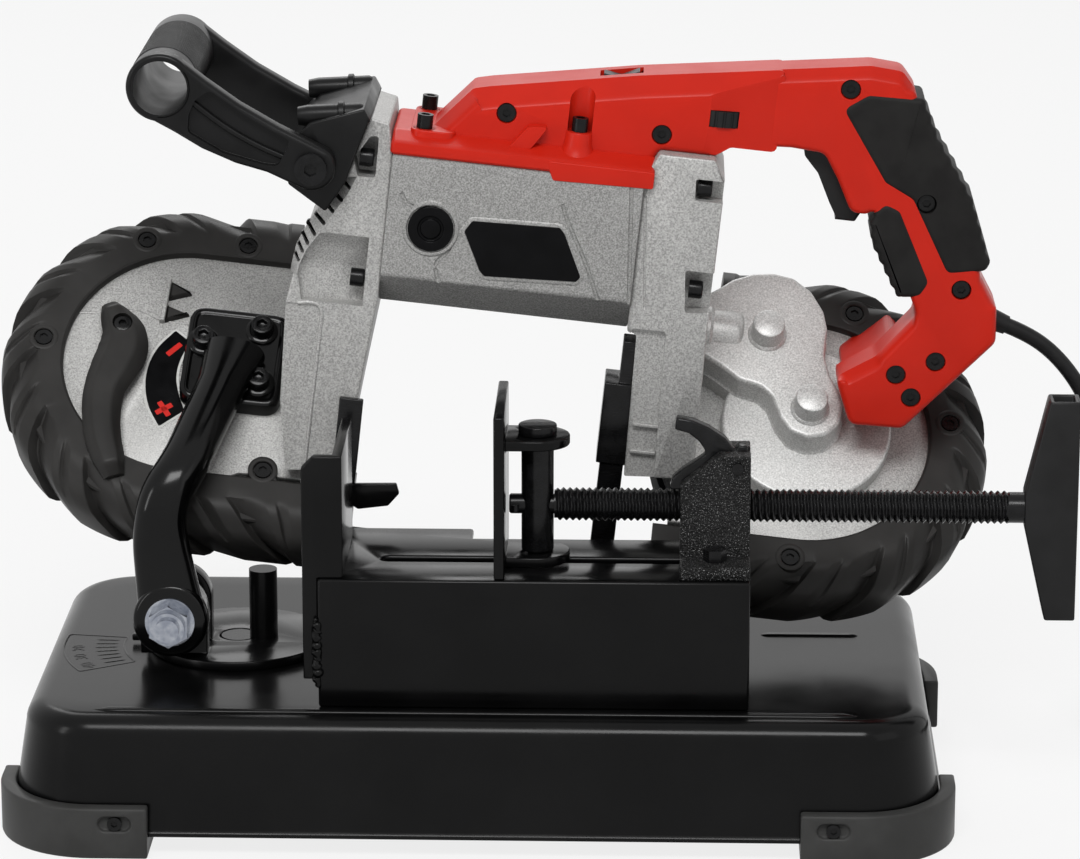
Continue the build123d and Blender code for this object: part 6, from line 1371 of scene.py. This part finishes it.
@dataclass
class Castings:
    """Details of the frame and gear castings: screw pockets, sunk window, louvre band and seam."""

    front: float = 10.0
    clear: float = 14.0
    frame_pocket_floor: float = -6.0
    frame_pocket: Line = ((66.8, 238.3), (74.1, 250.6), (78.4, 251.4), (78.6, 229.9), (69.5, 229.8))
    window_left: Line = ((47.6, 163.6), (44.8, 176.2), (45.2, 182.8), (48.4, 190.0), (54.7, 199.3))
    window_right: float = 78.6
    window_crease: float = 181.4
    window_depth: float = 4.4
    window_fall: float = 4.2
    ridge: Line = (
        (69.4, 229.4), (65.6, 220.0), (59.4, 209.4), (53.7, 199.4), (47.4, 189.4), (44.6, 181.0),
        (44.0, 176.0))
    edge: Line = (
        (61.4, 228.8), (57.2, 220.0), (51.2, 209.4), (46.2, 199.4), (42.0, 189.4), (40.8, 181.0),
        (40.4, 176.0))
    band_fall: float = 8.0
    band_back: float = -4.0
    band_over: float = 7.0
    band_ends: Pair = (198.6, 228.4)
    strip: Line = (
        (36.0, 161.6), (46.3, 161.6), (54.1, 163.1), (58.8, 160.3), (58.9, 151.6), (58.3, 120.1),
        (57.6, 70.0), (36.0, 70.0))
    strip_sunk: float = 0.9
    bead: float = 1.1
    gear_pocket_depths: Pair = (-3.0, 20.0)
    gear_pockets: tuple[Line, ...] = (
        ((237.4, 247.6), (260.0, 247.6), (260.0, 236.6), (238.0, 236.6)),
        ((237.4, 200.6), (260.0, 200.6), (260.0, 181.0), (239.6, 178.8)))
    seam: tuple[Point, Point] = ((213.3, 236.0, 10.1), (219.4, 178.0, 10.1))
    leg_floor: float = 7.0
    leg_recess: Line = ((214.0, 70.0), (235.0, 70.0), (233.2, 116.0), (231.6, 168.0), (214.0, 168.0))
    fin_ends: Pair = (220.4, 233.4)
    fin_half: float = 0.8
    fin_depths: Pair = (6.0, 9.6)
    fins: tuple[float, ...] = (118.0, 104.0)
    pocket_screws: tuple[Point, ...] = (
        (-4.0, 238.6, 69.8), (-4.6, 177.0, 71.0), (-3.2, 242.2, 239.0), (-3.2, 190.0, 240.4))
    slot_ends: tuple[tuple[Pair, Pair], ...] = (
        ((61.6, 226.0), (66.0, 223.4)), ((57.6, 219.6), (62.8, 216.6)), ((53.6, 213.8), (59.0, 210.4)),
        ((49.6, 207.2), (55.2, 203.8)), ((45.6, 203.0), (51.0, 197.6)), ((43.8, 197.4), (48.0, 192.6)),
        ((42.6, 191.8), (45.8, 188.2)), ((41.6, 186.4), (44.0, 183.4)))
    slot_half: float = 1.05

    def slots(self, grow: float = 0.0, pull: float = 0.0) -> Array:
        """Outlines of the cooling slots: a stadium round the line between each slot's two ends.

        Args:
            grow: Width added all round.
            pull: Length taken off at the left end.

        Returns:
            Array of shape (count, points, 2).
        """
        ends = np.array(self.slot_ends)
        way = unit(ends[:, 1] - ends[:, 0])
        ends[:, 0] += pull * way
        across = np.stack([-way[:, 1], way[:, 0]], 1)
        turn = np.radians(np.linspace(-90.0, 90.0, 9))[None, :, None]
        arc = (self.slot_half + grow) * (np.cos(turn) * way[:, None] + np.sin(turn) * across[:, None])
        return np.concatenate([ends[:, 1:] + arc, ends[:, :1] - arc], 1)

    def sill(self) -> Array:
        """Knife for the sunk window: its floor falls towards the right and down to the crease, then rises.

        Each row at one height runs along the floor from left to right and back in front of the casting.

        Returns:
            Grid in the head's side view.
        """
        low, high = self.window_left[0][1], self.window_left[-1][1]
        height = np.linspace(low, high, 24)[:, None]
        left = np.interp(height, [z for _, z in self.window_left], [x for x, _ in self.window_left])
        share = np.linspace(0.0, 1.0, 12)[None]
        curl = 0.8 + 0.2 * np.clip((height - low) / (self.window_crease - low), 0.0, 1.0)
        rise = np.clip((height - self.window_crease) / (high - self.window_crease), 0.0, 1.0)
        floor = self.front - (self.window_depth + self.window_fall * share) * curl * (1.5 - 0.5 * rise)
        x = left + (self.window_right - left) * share
        x = np.concatenate([x, x[:, ::-1]], 1)
        out = np.concatenate([floor, np.full_like(floor, self.front + 5.0)], 1)
        return np.stack([x, np.broadcast_to(height, x.shape), out], 2)

    def band(self, knife: bool) -> Array:
        """Slanted band that carries the cooling slots, or the knife that makes room for it.

        Each row crosses the band at one height, from the ridge on the front down to the casting's left edge.

        Args:
            knife: Whether to give the knife above the band and not the band itself.

        Returns:
            Grid in the head's side view.
        """
        share, rows = np.linspace(0.0, 1.0, len(self.ridge)), np.linspace(0.0, 1.0, 60)
        ridge, edge = (np.stack([np.interp(rows, share, axis) for axis in np.array(line).T], 1)
                       for line in (self.ridge, self.edge))
        (start, stop), height = self.band_ends, ridge[:, 1]
        over = self.band_over * step(height, start, start + 2.0) * step(-height, -stop, 2.0 - stop) + 0.4
        right = ridge + over[:, None] * unit(ridge - edge)
        far = edge + 3.0 * unit(edge - ridge)
        low, high, proud = self.front - self.band_fall, self.front + 5.0, self.front + 0.12
        back = self.band_back
        corners = ((right, proud), (ridge, proud), (edge, low), (edge, back), (right, back))
        if knife:
            corners = ((ridge, self.front), (far, low - 3.0), (far, high), (ridge, high))
        return np.stack([lifted(line, depth) for line, depth in corners], 1)

    def build_frame(self, shop: Workshop) -> None:
        """Stand a cut and softened copy in for the frame casting, with the louvre band on it.

        Args:
            shop: Workshop with the solids that the pieces stand for.
        """
        pocket = slab(rounded(self.frame_pocket, 1.5, 1.2), self.frame_pocket_floor, self.clear, 0.2)
        strip = slab(rounded(self.strip, 3.0, 1.5), self.front - self.strip_sunk, self.clear, 0.2)
        grids = [pocket, self.sill(), strip, self.band(True)]
        knives = [HEAD_SIDE.place(carried(line, (-2.0, 16.0), 0.0)) for line in self.slots()]
        cut = [HEAD_SIDE.place(grid) for grid in grids] + knives
        shop.soften("front_frame", Finishes.cast_alloy, 1.0, cut, 20.0)
        band = Skin().add(HEAD_SIDE, self.band(False)).mesh("louvre_band")
        shop.fit(shop.cut(band, knives), "louvre_band", Finishes.cast_alloy)

    def build(self, shop: Workshop) -> None:
        """Make both castings, put ledges and screws on them, and lay dark plates of painted shade under the
        slots.

        Args:
            shop: Workshop with the solids that the pieces stand for.
        """
        self.build_frame(shop)
        grids = [slab(rounded(line, 1.2, 1.2), *self.gear_pocket_depths, 0.2) for line in self.gear_pockets]
        grids.append(rod(np.linspace(*self.seam, 30), 0.7, 0.7, (1.0, 0.0, 0.0), steps=10))
        grids.append(slab(rounded(self.leg_recess, 0.8, 2.0), self.leg_floor, self.clear, 0.2))
        shop.soften("gear_housing", Finishes.cast_alloy, 1.0, [HEAD_SIDE.place(grid) for grid in grids])
        (left, right), half = self.fin_ends, self.fin_half
        bars = (((left, z - half), (right, z - half), (right, z + half), (left, z + half)) for z in self.fins)
        ledges = [slab(rounded(bar, 0.4, 1.0), *self.fin_depths, 0.3) for bar in bars]
        line = lifted(smooth(self.strip[1:-1], 2.0), self.front - 0.5)
        ledges.append(rod(line, self.bead, self.bead, (0.0, 1.0, 0.3), steps=12))
        shop.fit(Skin().add(HEAD_SIDE, *ledges), "leg_fins", Finishes.cast_alloy)
        screws = (cap_screw(7.0, place) for place in self.pocket_screws)
        shop.fit(Skin().add(HEAD_END, *screws, cap=False), "casting_screws", Finishes.black_steel)
        # The dark plates under the slots are painted shade, in place of the shade inside the casting.
        dark = (carried(line, (-2.6, 0.4), 0.0) for line in self.slots(0.5, 2.6))
        shop.fit(Skin().add(HEAD_SIDE, *dark), "louvre_shadows", Finishes.badge_black)


@dataclass
class Bracket:
    """Bracket of the bail handle: two webs on the casting's slope under a pair of collared tubes."""

    tube: Line = (
        (38.0, 4.6), (43.0, 5.4), (58.0, 5.4), (58.6, 6.6), (61.0, 6.6), (61.6, 5.4), (69.0, 5.4),
        (70.5, 4.6))
    tubes_y: Pair = (-11.0, 59.0)
    tubes_z: float = 251.0
    slope: float = 0.16

    def build(self, shop: Workshop) -> None:
        """Stand a softened copy in for the bracket and lay the tubes along its top.

        Args:
            shop: Workshop with the solids that the pieces stand for.
        """
        shop.soften("handle_bracket", Finishes.bail_plastic, 1.0)
        along, up = np.array(HEAD_X), np.array(HEAD_Z)
        tubes = Skin()
        for y in self.tubes_y:
            axes = Axes(tuple(HEAD_TOP.place(np.array([0.0, y, self.tubes_z]))), HEAD_END.along,
                        tuple(unit(up - self.slope * along)), tuple(unit(along + self.slope * up)))
            tubes.add(axes, turned(self.tube, CENTRE, 40))
        shop.fit(tubes, "bracket_tubes", Finishes.bail_plastic)


@dataclass
class BasePan:
    """Pressed steel pan with a rolled edge, embossed beads and a raised angle scale.

    The lip and the flat of the top go by inset, the sheet is the step from its outside to its inside,
    and each bead has its middle and its length.
    """

    length: float = 466.0
    depth: float = 262.0
    middle_x: float = -24.0
    low: float = 10.0
    top: float = 68.0
    taper: float = 8.8
    corner: float = 45.0
    roll: float = 11.5
    shoulder: float = 10.5
    sheet: Pair = (2.2, -2.0)
    lip: Line = ((2.4, 0.0), (0.0, 0.0), (0.0, 1.2), (0.5, 2.0), (1.6, 3.0))
    flat: Pair = (34.0, 60.0)
    swivel: Pair = (-150.0, -2.0)
    beads: tuple[Point, ...] = ((-24.0, -108.0, 375.0), (143.5, 20.0, 50.0))
    first_tick: float = 177.0
    tick_step: float = 5.0
    tick_count: int = 7
    tick_radii: Pair = (62.0, 74.0)
    number_radius: float = 82.0
    number_size: float = 9.0
    number_height: float = 0.15
    numbers: tuple[tuple[str, float], ...] = (("20", 187.0), ("30", 197.0), ("40", 207.0))
    frame_radii: Pair = (90.0, 59.0)
    frame_angles: Pair = (172.0, 212.0)

    def ring(self, inset: Array, height: Array) -> Array:
        """Rounded rectangles drawn in by insets, at heights.

        Each of four quarter arcs turns about a corner centre, and the arcs together make the closed ring.

        Args:
            inset: Inset of each row.
            height: Height of each row.

        Returns:
            Grid of shape (rows, 4 * 17, 3).
        """
        turn = np.radians(np.arange(4)[:, None] * 90.0 + np.linspace(0.0, 90.0, 17)[None])
        sign_x = np.array([1.0, -1.0, -1.0, 1.0])[:, None]
        sign_y = np.array([1.0, 1.0, -1.0, -1.0])[:, None]
        inset, height = inset[:, None, None], height[:, None, None]
        radius = np.maximum(self.corner - inset, 3.0)
        half_x, half_y = self.length / 2 - inset - radius, self.depth / 2 - inset - radius
        x = self.middle_x + sign_x[None] * half_x + radius * np.cos(turn)[None]
        y = sign_y[None] * half_y + radius * np.sin(turn)[None]
        return np.stack([x, y, np.broadcast_to(height, x.shape)], -1).reshape(len(radius), -1, 3)

    def surface(self) -> Array:
        """Pan as rings from inside its top, down its inside, round its lip and up its outside.

        Returns:
            Grid in the solids' frame.
        """
        height = self.top - self.shoulder + rim(self.shoulder, 10)[1]
        outside = np.stack([self.taper + rim(self.roll, 10)[0], height], 1)
        lip = np.array(self.lip) + (0.0, self.low)
        flat = [(inset, self.top) for inset in self.flat]
        return self.ring(*np.concatenate([(outside + self.sheet)[::-1], lip, outside, flat]).T)

    def ridge(self, path: Array, wide: float, high: float) -> Array:
        """Low rounded ridge along a path on the pan's top, running out at its ends.

        Args:
            path: Points of shape (count, 3).
            wide: Half width of the ridge.
            high: Height of the ridge.

        Returns:
            Grid in the solids' frame.
        """
        share = np.linspace(0.0, 1.0, len(path))
        run = np.sum(np.linalg.norm(np.diff(path, axis=0), axis=1))
        short = 1 - np.clip(np.minimum(share, 1 - share) * run / (2 * wide), 0.0, 1.0)
        ends = np.sqrt(np.clip(1 - short ** 2, 0.02, 1.0))
        way = unit(path[-1] - path[0])
        return rod(path, wide * ends, high * ends, (-way[1], way[0], 0.0), steps=16)

    def polar(self, radius: float | Array, angle: float | Array) -> Array:
        """Points on the pan's top by radius and angle in degrees about the swivel bolt."""
        return around(radius, np.radians(angle), self.top, (*self.swivel, 0.0))

    def frame(self) -> Array:
        """Thin raised line right round the scale, between two arcs about the swivel bolt.

        Returns:
            Grid in the solids' frame.
        """
        (outer, inner), (first, last) = self.frame_radii, self.frame_angles
        corners = np.concatenate([self.polar(outer, np.linspace(first, last, 24)),
                                  self.polar(inner, np.linspace(last, first, 20))])[:, :2]
        ring = rounded(corners.tolist(), 5.0, 1.5)
        line = walked(np.concatenate([ring, ring[:1]]), 1.5, closed=False)
        return rod(lifted(line, self.top), 0.25, 0.45, (0.0, 0.0, 1.0), steps=10)

    def number(self, text: str, angle: float) -> bpy.types.Mesh:
        """Raised number of the scale beside its tick.

        Args:
            text: The number.
            angle: Angle of its tick in degrees.

        Returns:
            Mesh in metres, in place.
        """
        curve = bpy.data.curves.new("number", "FONT")
        curve.body = text
        curve.size = self.number_size * MM
        curve.extrude = self.number_height * MM
        curve.align_x = "CENTER"
        curve.align_y = "CENTER"
        label = bpy.data.objects.new("number", curve)
        mesh = bpy.data.meshes.new_from_object(label)
        place = self.polar(self.number_radius, angle) * MM
        mesh.transform(Matrix.Translation(place) @ Matrix.Rotation(math.radians(angle - 90.0), 4, "Z"))
        bpy.data.objects.remove(label)
        return mesh

    def build(self, shop: Workshop) -> None:
        """Make the pan, its beads and its scale with numbers.

        Args:
            shop: Workshop with the solids that the pieces stand for.
        """
        skin = Skin().add(STAND_TOP, self.surface())
        for x, y, length in self.beads:
            path = np.linspace((x - length / 2, y, self.top), (x + length / 2, y, self.top), 60)
            skin.add(STAND_TOP, self.ridge(path, 2.5, 1.2))
        for angle in self.first_tick + self.tick_step * np.arange(self.tick_count):
            tick = self.polar(np.linspace(*self.tick_radii, 8), angle)
            skin.add(STAND_TOP, self.ridge(tick, 0.5, 0.3))
        body = skin.add(STAND_TOP, self.frame()).mesh("pressed_pan")
        for text, angle in self.numbers:
            shop.join(body, self.number(text, angle))
        shop.fit(body, "pressed_pan", Finishes.black_enamel, "stand", ["base_pan"])


@dataclass
class LeadScrew:
    """Lead screw of the vise with a real helical thread, and the weld at the vise's foot."""

    axes: Axes = Axes((0.0, -65.0, 163.0), (0.0, 1.0, 0.0), (0.0, 0.0, 1.0), (1.0, 0.0, 0.0))
    start: float = 13.8
    stop: float = 245.5
    tip: float = -8.5
    tip_radius: float = 5.0
    tip_bevel: float = 0.8
    radius: float = 8.3
    depth: float = 1.25
    pitch: float = 3.2
    sides: int = 32
    weld_foot: Point = (-101.9, -101.2, 78.0)
    weld_height: float = 36.0
    weld_radius: float = 2.3

    def surface(self) -> Array:
        """Screw as rows across its axis, the radius falling into a groove that turns once in a pitch.

        Returns:
            Grid along the screw's axis.
        """
        run = np.arange(self.start, self.stop + 0.01, 0.4)[:, None]
        turn = round_angles(self.sides)[None]
        part = np.abs(2 * np.mod(run / self.pitch - turn / (2 * math.pi), 1.0) - 1)
        groove = np.clip(1.3 * part - 0.12, 0.0, 1.0)
        plain = step(run, self.stop - 9.0, self.stop - 7.0)
        ends = np.clip((run - self.start) / 2.0, 0.0, 1.0)
        reach = self.radius - self.depth * np.clip(groove + (1 - ends), 0.0, 1.0) * (1 - plain) - 0.6 * plain
        head = np.array([(self.tip, 0.0), (self.tip, self.tip_radius - self.tip_bevel),
                         (self.tip + self.tip_bevel, self.tip_radius), (self.start, self.tip_radius)])
        reach = np.concatenate([np.repeat(head[:, 1:], self.sides, 1), reach])
        return around(reach, turn, np.concatenate([head[:, :1], run]))

    def weld(self) -> Array:
        """Lumpy weld bead down the joint of the fixed jaw and the bed: sine waves in its place and size.

        Returns:
            Grid in the solids' frame.
        """
        run = np.linspace(0.0, 1.0, 90)
        x, y, z = self.weld_foot
        path = np.stack([x + 0.5 * np.sin(run * 31.0), y + 0.4 * np.sin(run * 47.0 + 1.0),
                         z + self.weld_height * run], 1)
        size = self.weld_radius + 0.45 * np.sin(run * 64.0) + 0.25 * np.sin(run * 23.0 + 2.0)
        size = size * np.sqrt(np.clip(1 - (2 * run - 1) ** 8, 0.04, 1.0))
        return rod(path, size, size, (1.0, 0.0, 0.0), steps=18)

    def build(self, shop: Workshop) -> None:
        """Make the screw and the weld.

        Args:
            shop: Workshop with the solids that the pieces stand for.
        """
        thread = Skin().add(self.axes, self.surface())
        shop.fit(thread, "lead_screw_thread", Finishes.black_steel, "screw", ["lead_screw"])
        bead = Skin().add(STAND_TOP, self.weld())
        shop.fit(bead, "weld_bead", Finishes.black_enamel, "stand", (), 60.0)


@dataclass
class MainsLead:
    """Mains lead: free stretch from the grip to the floor, put-away coil and plug."""

    radius: float = 4.0
    length_m: float = 2.6
    route_m: tuple[Point, ...] = (
        (0.24104, 0.024, 0.23327), (0.25215, 0.024, 0.22874), (0.2651, 0.024, 0.21933),
        (0.27667, 0.024, 0.20554), (0.28606, 0.024, 0.18789), (0.29308, 0.024, 0.16493),
        (0.29725, 0.024, 0.13523), (0.29913, 0.024, 0.09928), (0.29619, 0.0306, 0.07313),
        (0.2963, 0.03601, 0.0477), (0.29648, 0.04446, 0.0318), (0.29675, 0.05696, 0.01885),
        (0.29708, 0.07254, 0.00985), (0.29746, 0.09001, 0.0055))
    coil_centre: Pair = (362.0, 112.0)
    coil_base: float = 5.5
    coil_radius: float = 63.0
    coil_pitch: float = 8.6
    coil_turns: float = 7.5
    points_a_turn: int = 20
    tail: float = 34.0

    def coil(self) -> Array:
        """Points on the coil: a flat spiral inwards, a climb at the middle, and a second layer outwards.

        Returns:
            Array of points in metres.
        """
        turn = np.arange(0, self.coil_turns + 1e-6, 1.0 / self.points_a_turn)
        away = turn - self.coil_turns / 2
        near = np.abs(away) < 0.25
        inner = self.coil_radius - self.coil_pitch * (self.coil_turns / 2 - 0.125)
        radius = inner + self.coil_pitch * np.where(near, (away * away + 0.0625) / 0.5, np.abs(away))
        height = self.coil_base + self.coil_pitch * step(away, -0.25, 0.25)
        return around(radius, math.pi - 2 * math.pi * turn, height, (*self.coil_centre, 0.0)) * MM

    def line(self) -> bpy.types.Object:
        """Make the lead's line: one smooth spline along the route, the coil and the tail.

        Returns:
            Object of the curve, not yet in the scene.
        """
        coil = self.coil()
        end = coil[-1] + unit(coil[-1] - coil[-2]) * np.array([[0.5], [1.0]]) * self.tail * MM
        points = np.concatenate([np.array(self.route_m), coil, end])
        curve = bpy.data.curves.new("lead_line", "CURVE")
        curve.dimensions = "3D"
        curve.resolution_u = 5
        spline = curve.splines.new("NURBS")
        spline.points.add(len(points) - 1)
        spline.points.foreach_set("co", lifted(points, 1.0).ravel())
        spline.order_u = 3
        spline.use_endpoint_u = True
        return bpy.data.objects.new("lead_line", curve)

    def build(self, shop: Workshop) -> None:
        """Make the lead as a tube along its line, bending with the head where it hangs from it.

        Args:
            Make the lead as a tube along its line, and stand softened copies in for the plug and the tie.
        """
        line = self.line()
        bare = bpy.data.meshes.new_from_object(line)
        line.data.bevel_depth = self.radius * MM
        line.data.bevel_resolution = 3
        line.data.use_fill_caps = True
        mesh = bpy.data.meshes.new_from_object(line)
        mesh.name = "mains_lead"
        bpy.data.objects.remove(line)
        shade(mesh, 60.0)
        mesh.materials.clear()
        mesh.materials.append(Finishes.lead_sheath.material())
        lead = linked("mains_lead", mesh)
        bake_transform(lead)
        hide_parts("cord", "cord_coil")
        LOG.info("%s: %d faces from turntable to head", lead.name, len(mesh.polygons))
        plug = shop.soften("plug", Finishes.dark_plastic, 1.2)
        tie = shop.soften("cord_tie", Finishes.tyre_rubber, 0.4)


@dataclass
class Studio:
    """Camera at the photograph's angle, pale floor and soft light.

    Each lamp has a place, a width and height in metres, and a power in watts.
    """

    target: Point = (4.0, 25.0, 176.0)
    pitch: float = 15.5
    turn: float = 1.7
    distance: float = 2350.0
    lens: float = 152.67
    world_light: float = 0.22
    floor_half: float = 4000.0
    floor_glow: float = 0.82
    lamps: tuple[tuple[str, Point, Pair, float], ...] = (
        ("key", (-0.1, -2.0, 2.5), (1.7, 0.8), 64.0), ("fill", (2.2, -1.8, 1.4), (1.8, 1.8), 6.0),
        ("side", (-2.2, -1.6, 0.8), (0.3, 1.5), 12.0), ("back", (-0.4, 2.2, 2.2), (1.8, 1.2), 30.0))

    def camera(self) -> None:
        """Make the camera that looks at the saw as the photograph does."""
        pitch, turn = math.radians(self.pitch), math.radians(self.turn)
        level = math.cos(pitch)
        back = np.array([math.sin(turn) * level, -math.cos(turn) * level, math.sin(pitch)])
        data = bpy.data.cameras.new("camera")
        data.sensor_width = 36.0
        data.lens = self.lens
        data.clip_end = 20.0
        camera = linked("camera", data)
        camera.location = (np.array(self.target) + back * self.distance) * MM
        camera.rotation_euler = (math.pi / 2 - pitch, 0.0, turn)
        bpy.context.scene.camera = camera

    def lamp(self, name: str, place: Point, size: Pair, watts: float) -> None:
        """Add a soft lamp that faces the saw.

        Args:
            name: Name of the lamp.
            place: Its place in metres.
            size: Width and height of its face in metres.
            watts: Its power.
        """
        data = bpy.data.lights.new(name, "AREA")
        data.shape = "RECTANGLE"
        data.size, data.size_y = size
        data.energy = watts
        lamp = linked(name, data)
        lamp.location = place
        aim = np.array(self.target) * MM - np.array(place)
        lamp.rotation_euler = (math.acos(-aim[2] / np.linalg.norm(aim)), 0.0, math.atan2(-aim[0], aim[1]))

    def seen(self, tree: bpy.types.NodeTree, low: float, high: float) -> Socket:
        """Value that is high for camera, glossy and transmission rays, and low for all others.

        Args:
            tree: Node tree to add to.
            low: Value for all other rays.
            high: Value for camera, glossy and transmission rays.

        Returns:
            Socket of the value.
        """
        rays = tree.nodes.new("ShaderNodeLightPath")
        total = rays.outputs["Is Camera Ray"]
        for name in ("Is Glossy Ray", "Is Transmission Ray"):
            most = tree.nodes.new("ShaderNodeMath")
            most.operation = "MAXIMUM"
            tree.links.new(total, most.inputs[0])
            tree.links.new(rays.outputs[name], most.inputs[1])
            total = most.outputs[0]
        level = tree.nodes.new("ShaderNodeMapRange")
        level.inputs["To Min"].default_value = low
        level.inputs["To Max"].default_value = high
        tree.links.new(total, level.inputs["Value"])
        return level.outputs[0]

    def world(self) -> None:
        """Light the saw from all round, and show white where the background is seen or mirrored."""
        world = bpy.data.worlds.new("studio")
        bpy.context.scene.world = world
        world.use_nodes = True
        tree = world.node_tree
        back = tree.nodes["Background"]
        back.inputs["Color"].default_value = (1.0, 1.0, 1.0, 1.0)
        tree.links.new(self.seen(tree, self.world_light, 1.0), back.inputs["Strength"])

    def floor(self) -> None:
        """Lay the pale floor, nearly white to the eye, with the saw's shadow on it."""
        ends = np.array([-self.floor_half, self.floor_half])
        x, y = np.meshgrid(ends, ends)
        square = np.stack([x, y, np.zeros((2, 2))], 2)
        mesh = Skin().add(STAND_TOP, square, cap=False, ring=False).mesh("floor")
        graph = Graph("floor_white")
        pale = graph.blend(graph.noise(300.0), (0.70, 0.70, 0.70), (0.74, 0.74, 0.74))
        graph.fill(graph.shader, Base_Color=pale, Roughness=0.9)
        glow = graph.node("ShaderNodeEmission", Strength=1.0)
        mixed = graph.node("ShaderNodeMixShader", Fac=self.seen(graph.tree, 0.0, self.floor_glow))
        graph.set(mixed.inputs[1], graph.shader.outputs[0])
        graph.set(mixed.inputs[2], glow.outputs[0])
        graph.set(graph.tree.nodes["Material Output"].inputs["Surface"], mixed.outputs[0])
        mesh.materials.append(graph.material)
        linked("floor", mesh)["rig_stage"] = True

    def build(self) -> None:
        """Set up camera, light and floor."""
        bpy.context.scene.view_settings.view_transform = "Standard"
        self.camera()
        self.world()
        self.floor()
        for lamp in self.lamps:
            self.lamp(*lamp)


@dataclass
class PlainPieces:
    """Pieces that keep their solids' shape, some of them with edges rounded by a width."""

    soft: tuple[tuple[str, Finishes, float], ...] = (
        ("turntable", Finishes.black_enamel, 0.8), ("vise_bed", Finishes.black_enamel, 1.4),
        ("fixed_jaw", Finishes.black_enamel, 0.8), ("corner_feet", Finishes.foot_rubber, 1.2),
        ("nut_block", Finishes.hammered_black, 0.8), ("release_hook", Finishes.black_steel, 1.0),
        ("moving_jaw", Finishes.black_enamel, 0.8), ("jaw_trunnion", Finishes.black_steel, 0.6),
        ("wing_handle", Finishes.dark_plastic, 1.0), ("rocker_switch", Finishes.dark_plastic, 0.6),
        ("work_stop", Finishes.black_enamel, 0.6), ("blade_guides", Finishes.black_steel, 0.6),
        ("brush_caps", Finishes.badge_black, 0.5), ("arm_screws", Finishes.black_steel, 0.5))

    def build(self, shop: Workshop) -> None:
        """Round the edges of some solids, and give those that stay on show their slots' finishes.

        Args:
            shop: Workshop with the solids that the pieces stand for.
        """
        for row in self.soft:
            shop.soften(*row)
        for node, slot in shop.slots.items():
            if not shop.nodes[node].hide_render:
                shop.dress(node, Finishes[slot])


def main() -> None:
    """Build the saw round its solids, piece by piece."""
    logging.basicConfig(level=logging.INFO, format="%(name)s: %(message)s")
    shop = Workshop()
    Studio().build()
    idler_screws = ((-30.65, 68.83), (22.03, 72.06), (-75.25, 3.94), (46.39, -59.38))
    drive_screws = ((74.2, 13.08), (-2.63, -75.3), (20.77, 72.43))
    for piece in (MainsLead(), WheelGuard("idler_guard", -10.0, 1.0, idler_screws),
                  WheelGuard("drive_guard", 310.0, -1.0, drive_screws), SwingArm(), BailHandle(), RedCover(),
                  GearCase(), MotorCasting(), TensionGear(), Castings(), Bracket(), BasePan(), LeadScrew(),
                  PlainPieces()):
        piece.build(shop)


if __name__ == "__main__":
    main()
